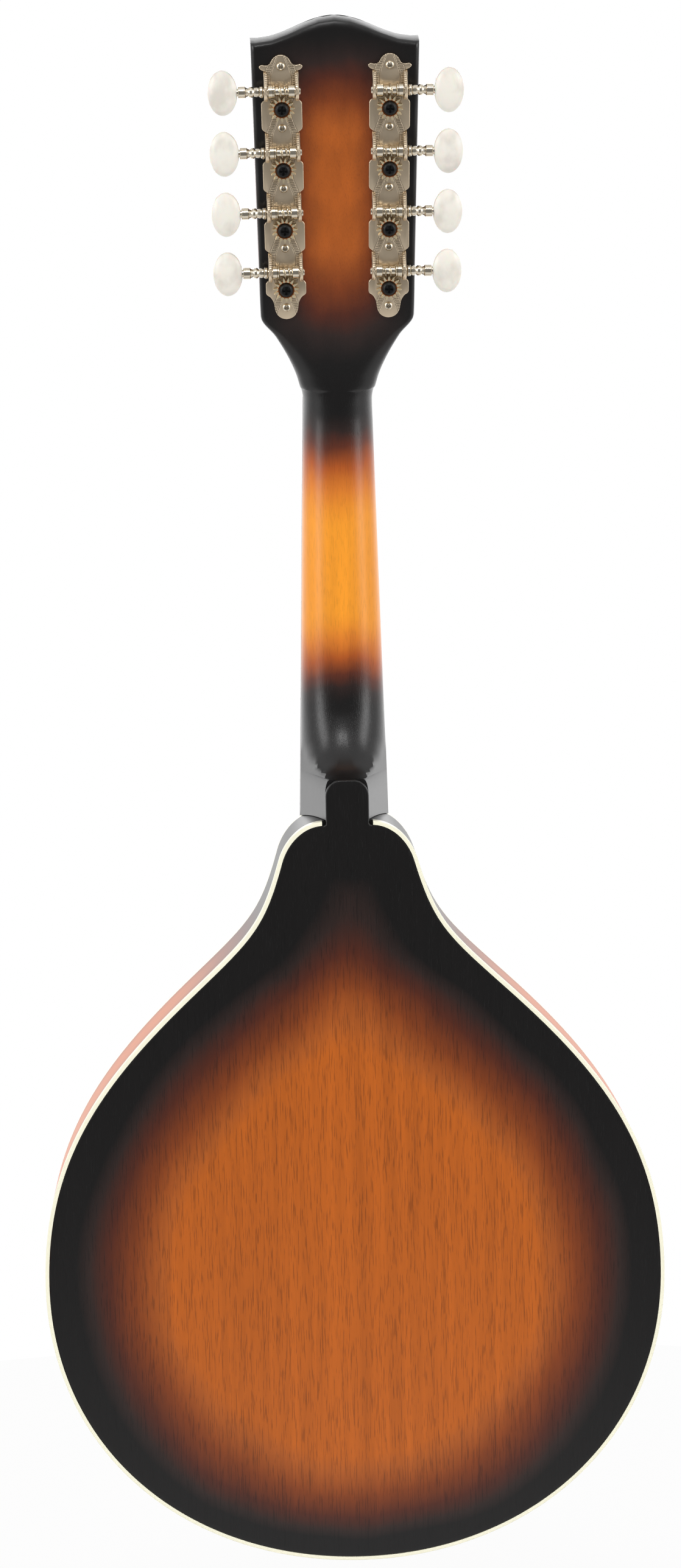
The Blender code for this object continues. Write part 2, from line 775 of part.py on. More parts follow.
def dovetail_slot_outline():
    """The mortise that the dovetail slides into, open at the joint."""
    return [(x + math.copysign(JOIN, x), z + math.copysign(JOIN, z - JOINT_Z)) for x, z in dovetail_outline()]


def neck_half_width(z):
    return (NUT_WIDTH - WIDTH_PER_METRE * z) / 2


def head_half_width(along):
    """Half the headstock's width at a distance along it from the nut."""
    if along <= 0:
        return NUT_WIDTH / 2
    if along < HEAD_FLARE_TOP:
        t = along / HEAD_FLARE_TOP
        return NUT_WIDTH / 2 + (HEAD_LOW_HALF - NUT_WIDTH / 2) * (0.30 * t + 0.70 * t * t)
    t = (along - HEAD_FLARE_TOP) / (HEAD_CORNER - HEAD_FLARE_TOP)
    return HEAD_LOW_HALF + (HEAD_TOP_HALF - HEAD_LOW_HALF) * t


def crown(share):
    """How far the headstock's top edge rises above its corners, from -1 to 1 across it."""
    return HEAD_CROWN * (0.5 + 0.5 * math.cos(math.pi * min(1.0, abs(share) / 0.95)))


def along_head(height, depth):
    """The distance along the headstock that lies at a height above the nut, at a depth in the wood."""
    lean = math.radians(HEAD_ANGLE)
    return (height + depth * math.sin(lean)) / math.cos(lean)


ACROSS = (-1.0, -0.95, -0.81, -0.58, -0.30, 0.0, 0.30, 0.58, 0.81, 0.95, 1.0)


def section_depth(share, deep, lip, flat):
    """How thick the neck is at a share of its half width: flat in the middle, then round to its lip."""
    out = max(0.0, (abs(share) - flat) / (1 - flat)) if flat < 1 else 0.0
    return lip + (deep - lip) * max(0.0, 1 - out**2.2) ** (1 / 2.2)


def neck_rows():
    """Sections from the body joint to the nut, each with its height, depth, lip and flat share."""
    heel_back = BACK_Y - BACK_THICKNESS - JOIN
    tip_z = JOINT_Z + HEEL_LENGTH
    start_z = tip_z + HEEL_SWEEP
    rows = []
    joint_face = JOINT_Z + JOIN
    for z in (joint_face, tip_z - HEEL_SEAT):
        rows.append((z, heel_back - z * SLOPE, HEEL_LIP, BUTTON_HALF / neck_half_width(z)))
    for step in (90, 82, 72, 58, 42, 22, 0):
        angle = math.radians(step)
        z = start_z - HEEL_SWEEP * math.sin(angle)
        start_y = NECK_DEPTH_HEEL + start_z * SLOPE
        y = start_y + (heel_back - start_y) * (1 - math.cos(angle))
        share = 1 - math.cos(angle)
        lip = SIDE_LIP + (HEEL_LIP - SIDE_LIP) * share
        rows.append((z, y - z * SLOPE, lip, share * BUTTON_HALF / neck_half_width(z)))
    for t in (0.35, 0.7, 0.92):
        z = start_z * (1 - t)
        rows.append((z, NECK_DEPTH_HEEL + (NECK_DEPTH_NUT - NECK_DEPTH_HEEL) * t, SIDE_LIP, 0.0))
    return rows


def tongue_rows():
    """The neck's extension under the fingerboard, which just clears the top, from its end to the joint."""
    front = []
    back = []
    end_z = TONGUE_STEP - fingerboard_end() * math.cos(math.radians(NECK_ANGLE))
    for z in (end_z, JOINT_Z - BLOCK_DEPTH, JOINT_Z - BLOCK_DEPTH / 2, JOINT_Z + JOIN / 2):
        half = neck_half_width(z)
        plane = z * SLOPE
        places = [(share * half, z) for share in ACROSS]
        clear = [min(arch_y(x, z), arch_y(0, z)) - JOIN for x, _ in places]
        front.append([(x, plane, z) for x, _ in places])
        back.append([(x, max(y, plane + 2 * JOIN), z) for (x, _), y in zip(places, clear)])
    return front, back


def build_neck():
    front, back = tongue_rows()
    for z, depth, lip, flat in neck_rows():
        half = neck_half_width(z)
        y = z * SLOPE
        front.append([(share * half, y, z) for share in ACROSS])
        back.append([(share * half, y + section_depth(share, depth, lip, flat), z) for share in ACROSS])

    # From the nut on the sections lean over to the headstock's angle and square up
    wood_front = OVERLAY_THICKNESS + JOIN
    slab = HEAD_THICKNESS - wood_front
    nut_back = NUT_THICKNESS + JOIN
    step_down = along_head(nut_back, wood_front)
    for along, lean, lip_share, flat in (
        (0.0, 0.5, 0.16, 0.10),
        (nut_back, 0.7, 0.26, 0.22),
        (step_down, 0.8, 0.28, 0.24),
        (FLARE_STEPS[0] * HEAD_FLARE_TOP, 0.9, 0.40, 0.38),
        (FLARE_STEPS[1] * HEAD_FLARE_TOP, 1.0, 0.62, 0.58),
        (FLARE_STEPS[2] * HEAD_FLARE_TOP, 1.0, 0.86, 0.80),
        (HEAD_FLARE_TOP, 1.0, 1.0, 0.94),
        (HEAD_CORNER - HEAD_CROWN, 1.0, 1.0, 0.94),
        (HEAD_CORNER, 1.0, 1.0, 0.94),
    ):
        tilt = HEAD_ANGLE * lean
        across = Vector((0, math.cos(math.radians(tilt)), -math.sin(math.radians(tilt))))
        seat = along < step_down
        deep = NECK_DEPTH_NUT if seat else slab
        half = head_half_width(along)
        front_row = []
        back_row = []
        for share in ACROSS:
            rise = crown(share) * (along / HEAD_CORNER) ** 12
            start = HEAD_FRAME @ Vector((share * half, wood_front, along + rise))
            if seat:
                start = NECK_FRAME @ Vector((share * half, 0, along))
            depth = section_depth(share, deep, deep * lip_share, flat)
            front_row.append(start)
            back_row.append(start + across * depth)
        front.append(front_row)
        back.append(back_row)
    neck = place("neck", sheet_solid("neck", front, back), MAHOGANY_NECK)

    end_y = BACK_Y - BACK_THICKNESS - 2 * JOIN
    front_y = JOINT_Z * SLOPE + 0.001
    dovetail = flat_outline("dovetail", dovetail_outline(), end_y - front_y)
    join(neck, "dovetail", dovetail, at(0, (end_y + front_y) / 2, 0) @ UPRIGHT)

    channel = box_mesh(
        "rod_channel",
        (-ROD_RADIUS - JOIN, -ROD_DEPTH / 2, JOINT_Z + ROD_FROM_JOINT - ROD_CLEARANCE),
        (ROD_RADIUS + JOIN, ROD_DEPTH + ROD_RADIUS + JOIN, 2 * NUT_THICKNESS),
    )
    cut(neck, "rod_channel", channel, NECK_FRAME)
    pocket = rod_pocket_mesh("rod_pocket")
    cut(neck, "rod_pocket", pocket, HEAD_FRAME)
    for side, side_name in SIDES:
        for post in range(POSTS_PER_SIDE):
            hole = round_mesh("post_hole", POST_RADIUS + 0.0006, -2 * HEAD_THICKNESS, HEAD_THICKNESS, 8)
            cut(neck, f"post_hole_{side_name}_{post}", hole, post_frame(side, post))


def fingerboard_end():
    """Where the fingerboard ends along the neck, just past its last fret."""
    return fret_distance(FRET_COUNT) + FINGERBOARD_TAIL


def rod_pocket_mesh(name):
    """The pocket behind the nut that lets a wrench reach the truss rod."""
    half = ROD_NUT_RADIUS + ROD_WRENCH_GAP
    low = NUT_THICKNESS + ROD_WRENCH_GAP
    high = low + ROD_NUT_LENGTH + 5 * ROD_WRENCH_GAP
    floor_y = OVERLAY_THICKNESS + ROD_POCKET_DEPTH
    return box_mesh(name, (-half, -OVERLAY_THICKNESS, low), (half, floor_y, high))


def build_truss_rod():
    low = JOINT_Z + ROD_FROM_JOINT
    nut_low = NUT_THICKNESS + 2.5 * ROD_WRENCH_GAP
    nut_high = nut_low + ROD_NUT_LENGTH
    thread_radius = ROD_RADIUS * 0.8
    thread_low = -NUT_THICKNESS
    chamfer = ROD_NUT_RADIUS * 0.15
    profile = [
        (0, nut_high),
        (ROD_NUT_RADIUS - chamfer, nut_high),
        (ROD_NUT_RADIUS, nut_high - chamfer),
        (ROD_NUT_RADIUS, nut_low),
        (thread_radius, nut_low),
        (thread_radius, thread_low),
        (ROD_RADIUS, thread_low - chamfer),
        (ROD_RADIUS, low),
        (0, low),
    ]
    place("truss_rod", turned("truss_rod", profile, 10), STEEL, NECK_FRAME @ at(0, ROD_DEPTH, 0))


def build_headstock_overlay():
    outline = []
    start = along_head(NUT_THICKNESS + 2 * JOIN, OVERLAY_THICKNESS)
    alongs = [start] + [step * HEAD_FLARE_TOP for step in FLARE_STEPS] + [HEAD_FLARE_TOP, HEAD_CORNER]
    outline += [(head_half_width(a), a) for a in alongs]
    shares = (0.87, 0.70, 0.48, 0.24, 0.0)
    outline += [(s * HEAD_TOP_HALF, HEAD_CORNER + crown(s)) for s in shares]
    mirrored = [(-x, z) for x, z in reversed(outline[:-1])]
    mesh = flat_outline("headstock_overlay", outline + mirrored, OVERLAY_THICKNESS)
    seat = HEAD_FRAME @ at(0, OVERLAY_THICKNESS / 2, 0) @ UPRIGHT
    overlay = place("headstock_overlay", mesh, BLACK_GLOSS, seat)
    cut(overlay, "overlay_pocket", rod_pocket_mesh("overlay_pocket"), HEAD_FRAME)
    for side, side_name in SIDES:
        for post in range(POSTS_PER_SIDE):
            frame = post_frame(side, post)
            face = -HEAD_THICKNESS
            ferrule = turned(
                "post_ferrule",
                [
                    (0, face + OVERLAY_THICKNESS / 2),
                    (BUSHING_RADIUS, face + OVERLAY_THICKNESS / 2),
                    (BUSHING_RADIUS * 0.92, face - BUSHING_RISE),
                    (0, face - BUSHING_RISE),
                ],
                8,
            )
            join(overlay, f"ferrule_{side_name}_{post}", ferrule, frame)
    for side, side_name in SIDES:
        for post in range(POSTS_PER_SIDE):
            bore = round_mesh("ferrule_bore", POST_RADIUS + 2 * BEARING_GAP, -2 * HEAD_THICKNESS, 0, 8)
            cut(overlay, f"ferrule_bore_{side_name}_{post}", bore, post_frame(side, post))


def build_truss_rod_cover():
    """A bell-shaped cover over the rod's adjusting nut."""
    low = along_head(NUT_THICKNESS + 2 * JOIN, 0)
    high = low + COVER_PLATE_LENGTH
    shoulder = low + COVER_PLATE_SHOULDER
    tip_low = high - COVER_PLATE_TIP_HALF
    outline = [(COVER_PLATE_HALF, low), (COVER_PLATE_HALF, shoulder)]
    for step in range(1, 7):
        t = step / 6
        straight = COVER_PLATE_HALF + (COVER_PLATE_TIP_HALF - COVER_PLATE_HALF) * t
        hollow = COVER_PLATE_TIP_HALF / 2 * math.sin(math.pi * t)
        outline.append((straight - hollow, shoulder + (tip_low - shoulder) * t))
    for step in (30, 60, 90):
        angle = math.radians(step)
        x = COVER_PLATE_TIP_HALF * math.cos(angle)
        outline.append((x, tip_low + COVER_PLATE_TIP_HALF * math.sin(angle)))
    outline[-1] = (0.0, high)
    mirrored = [(-x, z) for x, z in reversed(outline[:-1])]
    mesh = flat_outline("truss_rod_cover", outline + mirrored, COVER_PLATE_THICKNESS)
    frame = HEAD_FRAME @ at(0, -COVER_PLATE_THICKNESS / 2 - JOIN, 0) @ UPRIGHT
    place("truss_rod_cover", mesh, BLACK_GLOSS, frame)


# Fingerboard and nut


def fret_distance(number):
    return SCALE_LENGTH * (1 - 2 ** (-number / 12))


def build_fingerboard():
    """The fingerboard with its frets, as one strip whose front rises at each fret."""
    end = fingerboard_end()
    front_y = -FINGERBOARD_THICKNESS - JOIN
    profile = [(0.0, front_y)]
    for number in range(1, FRET_COUNT + 1):
        middle = fret_distance(number)
        for offset, rise in ((-0.5, 0), (-0.28, 1), (0.28, 1), (0.5, 0)):
            profile.append((middle + offset * FRET_WIDTH, front_y - rise * FRET_HEIGHT))
    profile.append((end, front_y))
    front = []
    back = []
    for distance, y in profile:
        half = (NUT_WIDTH + WIDTH_PER_METRE * distance) / 2
        front.append([(-half, y, -distance), (half, y, -distance)])
        back.append([(-half, -JOIN, -distance), (half, -JOIN, -distance)])
    place("fingerboard", sheet_solid("fingerboard", front, back), ROSEWOOD, NECK_FRAME)


def string_x(string, course_spacing, pair_spacing):
    """The place across of a string, 0 to 7 from the lowest, for the spacing at nut or bridge."""
    course, side = divmod(string, 2)
    return (course - 1.5) * course_spacing + (side - 0.5) * pair_spacing


def notched_outline(half, low, high, spacing, depths, shoulder):
    """A bar with a notch in its upper edge for each string, as (x, height)."""
    top = [(-half, high - shoulder)]
    for string in range(8):
        x = string_x(string, *spacing)
        mouth = 1.3 * (STRING_RADII[string // 2] + JOIN)
        floor = 0.6 * mouth
        bottom = depths[string]
        top += [(x - mouth, high), (x - floor, bottom), (x + floor, bottom), (x + mouth, high)]
    top.append((half, high - shoulder))
    return [(half, low), (-half, low)] + top


def build_nut():
    top = FINGERBOARD_THICKNESS + NUT_RISE
    depths = [FINGERBOARD_THICKNESS + STRING_OVER_NUT - STRING_RADII[s // 2] - JOIN for s in range(8)]
    outline = notched_outline(
        NUT_WIDTH / 2, 0.0006, top, (NUT_COURSE_SPACING, NUT_PAIR_SPACING), depths, 0.0006
    )
    mesh = flat_outline("nut", outline, NUT_THICKNESS)
    place("nut", mesh, BONE, NECK_FRAME @ at(0, 0, JOIN + NUT_THICKNESS / 2) @ STANDING)


# Tuners


def plate_frame(side):
    """One row of tuners: x outward to +X, y away from the headstock's back, z up along the posts."""
    lean = Matrix.Rotation(math.radians(side * TUNER_LEAN), 4, "Y")
    return HEAD_FRAME @ at(side * TUNER_LINE, HEAD_THICKNESS, 0) @ lean


def post_height(post):
    return FIRST_POST + post * POST_PITCH


def post_frame(side, post):
    """A post's own frame, with z along it and away from the headstock's back."""
    return plate_frame(side) @ at(0, 0, post_height(post)) @ BACKWARD


def worm_frame(side, post):
    """A worm's own frame, with z along its axis toward its button."""
    turn = SIDEWAYS if side > 0 else Matrix.Rotation(math.pi, 4, "Y") @ SIDEWAYS
    return plate_frame(side) @ at(0, MESH_HEIGHT, post_height(post) + CENTRE_DISTANCE) @ turn


def plate_outline():
    """The +X half of a tuner plate, from the top of its crown down to its round tab."""
    top = post_height(POSTS_PER_SIDE - 1) - PLATE_DROP
    points = [(0.0, top + 0.0225), (0.0019, top + 0.0221), (0.0034, top + 0.0207), (0.0046, top + 0.0185)]
    points += [(0.0062, top + 0.0181), (0.0080, top + 0.0185), (0.0088, top + 0.0177), (0.0080, top + 0.0167)]
    points += [(PLATE_WAIST + 0.0002, top + 0.0158)]
    for post in range(POSTS_PER_SIDE - 1, 0, -1):
        z = post_height(post) - PLATE_DROP
        points += [(PLATE_WAIST, z + 0.0146), (PLATE_WAIST, z + 0.0047)]
        points += [(PLATE_HALF - 0.0005, z + 0.0042), (PLATE_HALF, z + 0.0036)]
        points += [(PLATE_HALF, z - 0.0074), (PLATE_WAIST, z - 0.0095)]
    z = post_height(0) - PLATE_DROP
    points += [(PLATE_WAIST, z + 0.0047), (PLATE_HALF - 0.0005, z + 0.0042), (PLATE_HALF, z + 0.0036)]
    points += [(PLATE_HALF, z - 0.0015), (0.0066, z - 0.0024), (0.0053, z - 0.0044), (0.0049, z - 0.0068)]
    for step in range(0, 6):
        angle = math.radians(18 * step)
        points.append((PLATE_TAB * math.cos(angle), z - 0.0073 - PLATE_TAB * math.sin(angle)))
    points[-1] = (0.0, points[-1][1])
    return points


def ear_mesh():
    """A folded ear, seen along the worm: a round head over a foot that merges with the plate."""
    points = [(-EAR_RADIUS - 0.0004, PLATE_THICKNESS * 0.4), (-EAR_RADIUS - 0.0004, PLATE_THICKNESS + 0.0006)]
    for step in range(6):
        angle = math.radians(180 - 36 * step)
        points.append((EAR_RADIUS * math.cos(angle), MESH_HEIGHT + EAR_RADIUS * 0.85 * math.sin(angle)))
    points += [(EAR_RADIUS + 0.0004, PLATE_THICKNESS + 0.0006), (EAR_RADIUS + 0.0004, PLATE_THICKNESS * 0.4)]
    return flat_outline("ear", points, EAR_THICKNESS)


def build_tuner_plate(side, side_name):
    half = plate_outline()
    outline = half + [(-x, z) for x, z in reversed(half[1:-1])]
    name = f"tuner_plate_{side_name}"
    mesh = flat_outline(name, outline, PLATE_THICKNESS)
    seat = plate_frame(side) @ at(0, JOIN + PLATE_THICKNESS / 2, 0) @ UPRIGHT
    plate = place(name, mesh, NICKEL, seat)
    frame = plate_frame(side) @ at(0, JOIN, 0)
    for post in range(POSTS_PER_SIDE):
        z = post_height(post)
        for ear_side in (-1, 1):
            # The ear's outline x runs up the plate, its height away from it, its thickness across
            turn = Matrix(((0, 0, 1, 0), (0, 1, 0, 0), (-1, 0, 0, 0), (0, 0, 0, 1)))
            where = frame @ at(ear_side * EAR_OFFSET, 0, z + CENTRE_DISTANCE) @ turn
            join(plate, f"ear_{side_name}_{post}_{ear_side + 1}", ear_mesh(), where)
        bearing = round_mesh("bearing", JOURNAL_RADIUS + BEARING_GAP, -2 * EAR_OFFSET, 2 * EAR_OFFSET, 8)
        cut(plate, f"bearing_{side_name}_{post}", bearing, worm_frame(side, post))
        bore = POST_RADIUS + 2 * BEARING_GAP
        hole = round_mesh("plate_hole", bore, -HEAD_THICKNESS, 2 * PLATE_THICKNESS, 8)
        cut(plate, f"plate_hole_{side_name}_{post}", hole, post_frame(side, post))


def gear_mesh():
    """The gear as a toothed disc about z."""
    root = GEAR_PITCH_RADIUS - GEAR_DEDENDUM
    tip = GEAR_PITCH_RADIUS + GEAR_ADDENDUM
    pitch = 2 * math.pi / GEAR_TEETH
    half = TOOTH_WIDTH / 2 / GEAR_PITCH_RADIUS
    outline = []
    for tooth in range(GEAR_TEETH):
        middle = tooth * pitch
        for radius, offset in ((root, -half * 1.6), (tip, 0.0), (root, half * 1.6)):
            angle = middle + offset
            outline.append((radius * math.cos(angle), radius * math.sin(angle)))
    return flat_outline("gear", outline, GEAR_THICKNESS)


def post_mesh():
    """Post and gear screw, turned about z, from the screw's head down to the post's tip."""
    face = -HEAD_THICKNESS
    gear_top = MESH_HEIGHT + GEAR_THICKNESS / 2
    collar = PLATE_THICKNESS + 2 * JOIN
    profile = [
        (0, gear_top + 0.0019),
        (GEAR_SCREW_RADIUS * 0.7, gear_top + 0.0017),
        (GEAR_SCREW_RADIUS, gear_top + 0.0009),
        (POST_RADIUS + 0.0005, MESH_HEIGHT),
        (POST_RADIUS + 0.0005, collar),
        (POST_RADIUS, collar - JOIN),
        (POST_RADIUS, face - BUSHING_RISE - 0.0008),
        (POST_WAIST_RADIUS, face - BUSHING_RISE - 0.0014),
        (POST_WAIST_RADIUS, face - POST_RISE + 0.0022),
        (POST_RADIUS, face - POST_RISE + 0.0012),
        (POST_RADIUS * 0.7, face - POST_RISE),
        (0, face - POST_RISE),
    ]
    return turned("post", profile, 8)


def gear_turn(side):
    """Turns a gear so that its teeth stand in the gaps of its worm's thread.

    The +X worm has its +x side toward the gear, with a crest there, so a gap of the gear is turned up
    to it. The other worm is the same screw turned half round, with a gap there, and takes a tooth.
    """
    tooth = 2 * math.pi / GEAR_TEETH
    upward = -math.pi / 2
    return upward + (tooth / 2 if side > 0 else 0.0)


def winding_start(radius):
    """How far in front of the headstock the free string meets its post, for a string's radius."""
    return HEAD_THICKNESS + BUSHING_RISE + 0.0020 + radius


def winding_points(side, course):
    """A string's loops round its post, from the nut's side upward; both ends turn into the post."""
    radius = STRING_RADII[course]
    around = POST_WAIST_RADIUS + radius + WINDING_SEAT
    pitch = 2 * radius + WINDING_GAP
    first = winding_start(radius) + pitch
    steps = WINDING_TURNS * POINTS_PER_LOOP
    points = []
    for i in range(steps + 1):
        turn = i / POINTS_PER_LOOP
        angle = math.pi - 2 * math.pi * turn if side > 0 else 2 * math.pi * turn
        points.append(Vector((around * math.cos(angle), around * math.sin(angle), -first - pitch * turn)))
    inward = [Vector((p.x, p.y, 0)) * (1 - 0.6 * POST_WAIST_RADIUS / around) for p in (points[0], points[-1])]
    return [points[0] - inward[0]] + points + [points[-1] - inward[1]]


def least_winding_gap(points, radius):
    """The least clear distance between a winding's loops, measured on its points."""
    body = points[1:-1]
    gaps = [
        (body[i] - body[j]).length - 2 * radius
        for i in range(len(body))
        for j in range(i + POINTS_PER_LOOP // 2, len(body))
    ]
    return min(gaps)


def worm_mesh():
    """The worm and its shaft about z, with the button's end up."""
    inside = EAR_OFFSET - EAR_THICKNESS / 2 - BEARING_GAP
    outside = EAR_OFFSET + EAR_THICKNESS / 2 + BEARING_GAP
    thread_half = WORM_TURNS * AXIAL_PITCH / 2 + WORM_THREAD_HALF
    root = WORM_PITCH_RADIUS - WORM_DEDENDUM
    button_face = BUTTON_DISTANCE - BUTTON_WIDTH / 2
    sleeve_end = button_face - JOIN - SLEEVE_LENGTH
    neck = JOURNAL_RADIUS
    profile = [
        (0, button_face + SOCKET_DEPTH - JOIN),
        (JOURNAL_RADIUS, button_face + SOCKET_DEPTH - JOIN),
        (JOURNAL_RADIUS, button_face - JOIN),
        (SLEEVE_RADIUS, button_face - JOIN),
        (SLEEVE_RADIUS, sleeve_end),
        (neck, sleeve_end - BEAD_PITCH / 3),
        (BEAD_RADIUS, sleeve_end - BEAD_PITCH * 5 / 6),
        (neck, sleeve_end - BEAD_PITCH * 4 / 3),
        (SLEEVE_RADIUS, outside + JOIN),
        (JOURNAL_RADIUS, outside),
        (JOURNAL_RADIUS, inside),
        (WORM_COLLAR_RADIUS, inside),
        (WORM_COLLAR_RADIUS, thread_half),
        (root, thread_half - JOIN),
        (root, -thread_half + JOIN),
        (WORM_COLLAR_RADIUS, -thread_half),
        (WORM_COLLAR_RADIUS, -inside),
        (JOURNAL_RADIUS, -inside),
        (JOURNAL_RADIUS * 0.8, -outside - JOURNAL_RADIUS / 2),
        (0, -outside - JOURNAL_RADIUS / 2),
    ]
    core = turned("worm_core", profile, 8)
    return join_meshes("worm_shaft", core, thread_mesh(root))


def thread_mesh(root):
    """A right-handed ridge round the worm, whose crest is on the +x side halfway along it."""
    steps_per_turn = 8
    tip = WORM_PITCH_RADIUS + WORM_ADDENDUM
    sunk = root - JOIN
    steps = int(WORM_TURNS * steps_per_turn / 2) * 2
    rings = []
    for i in range(steps + 1):
        turn = (i - steps / 2) / steps_per_turn
        angle = 2 * math.pi * turn
        middle = turn * AXIAL_PITCH
        run_out = min(1.0, max(1, min(i, steps - i)) / 4)
        crest = root + (tip - root) * run_out
        ring = []
        for radius, along in ((sunk, -WORM_THREAD_HALF), (crest, 0.0), (sunk, WORM_THREAD_HALF)):
            ring.append((radius * math.cos(angle), radius * math.sin(angle), middle + along))
        rings.append(ring)
    return loft("thread", rings)


def button_mesh():
    """An oval button about z, with a socket for the shaft's end."""
    bm = bmesh.new()
    bmesh.ops.create_uvsphere(bm, u_segments=8, v_segments=7, radius=0.5)
    for vertex in bm.verts:
        vertex.co.x *= BUTTON_HEIGHT
        vertex.co.y *= BUTTON_THICKNESS
        vertex.co.z = vertex.co.z * BUTTON_WIDTH + BUTTON_DISTANCE
    mesh = bpy.data.meshes.new("button")
    bm.to_mesh(mesh)
    bm.free()
    face = BUTTON_DISTANCE - BUTTON_WIDTH / 2
    base = bpy.data.objects.new("button_base", mesh)
    PARTS.objects.link(base)
    socket = round_mesh("socket", JOURNAL_RADIUS + BEARING_GAP, face - 0.002, face + SOCKET_DEPTH, 8)
    tool = bpy.data.objects.new("socket", socket)
    PARTS.objects.link(tool)
    combine(base, "DIFFERENCE", tool)
    bpy.context.view_layer.update()
    made = evaluated_mesh(base)
    bpy.data.objects.remove(tool, do_unlink=True)
    return made


def tuner_number(side, post):
    """Tuners 1 to 4 are on the bass side from the nut up, 5 to 8 on the treble side."""
    return post + 1 + (POSTS_PER_SIDE if side > 0 else 0)


def string_of(side, post):
    """The string, 0 to 7 from the lowest, that winds on a post; the outer ones take the near posts."""
    return post if side < 0 else 7 - post


def build_tuners():
    worm = worm_mesh()
    button = button_mesh()
    gear = gear_mesh()
    post_body = post_mesh()
    for side, side_name in SIDES:
        build_tuner_plate(side, side_name)
        for post in range(POSTS_PER_SIDE):
            number = tuner_number(side, post)
            place(f"worm_shaft_{number}", worm, NICKEL, worm_frame(side, post))
            place(f"button_{number}", button, PEARLOID, worm_frame(side, post))
            frame = post_frame(side, post)
            piece = place(f"tuner_post_{number}", post_body, NICKEL, frame)
            turn = Matrix.Rotation(gear_turn(side), 4, "Z")
            join(piece, f"gear_{number}", gear, frame @ at(0, 0, MESH_HEIGHT) @ turn)
            course = string_of(side, post) // 2
            radius = STRING_RADII[course]
            points = winding_points(side, course)
            gap = least_winding_gap(points, radius)
            print(f"winding {number}: least gap between its loops {gap * 1000:.2f} mm")
            winding = tube(f"winding_{number}", points, radius)
            join(piece, f"winding_{number}", winding, frame)


# Strings


def string_path(side, post):
    """The middle of one string from its hook to its post."""
    string = string_of(side, post)
    radius = STRING_RADII[string // 2]
    nut_x = string_x(string, NUT_COURSE_SPACING, NUT_PAIR_SPACING)
    bridge_x = string_x(string, BRIDGE_COURSE_SPACING, BRIDGE_PAIR_SPACING)
    hook_z = TAIL_Z + HOOK_FROM_END
    hook_x = hook_place(string)
    hook_y = tail_plate_y(hook_z) - TAIL_PLATE_THICKNESS - HOOK_HEIGHT * 0.5
    hook = Vector((hook_x, hook_y, hook_z + HOOK_RADIUS + radius + JOIN))
    nut = NECK_FRAME @ Vector((nut_x, -FINGERBOARD_THICKNESS - STRING_OVER_NUT, JOIN + 0.0008))
    nut_back = NECK_FRAME @ Vector((nut_x, -FINGERBOARD_THICKNESS - STRING_OVER_NUT, NUT_THICKNESS - 0.0008))
    bridge = saddle_contact(bridge_x)
    half_saddle = Vector((0, 0, SADDLE_WIDTH / 2))
    around = POST_WAIST_RADIUS + radius + JOIN
    end = post_frame(side, post) @ Vector((-side * around, 0.0, -winding_start(radius)))
    return [hook, bridge - half_saddle, bridge + half_saddle, nut, nut_back, end]


def build_strings():
    for side, side_name in SIDES:
        for post in range(POSTS_PER_SIDE):
            string = string_of(side, post)
            course, pair = divmod(string, 2)
            name = f"string_{COURSE_NAMES[course]}{pair + 1}"
            material = BRONZE if course < 2 else STEEL
            place(name, tube(name, string_path(side, post), STRING_RADII[course]), material)


# Bridge and tailpiece


def saddle_contact(x):
    """The middle of a string where it crosses the saddle."""
    return NECK_FRAME @ Vector((x, -BRIDGE_STRING_RISE, BRIDGE_Z / math.cos(math.radians(NECK_ANGLE))))


def bridge_levels():
    """The y of the saddle's crest, the saddle's underside and the foot's top."""
    crest = saddle_contact(0).y
    under = crest + SADDLE_HEIGHT
    foot_top = arch_y(0, BRIDGE_Z) - JOIN - BRIDGE_FOOT_HEIGHT
    return crest, under, foot_top


def bridge_z():
    return saddle_contact(0).z


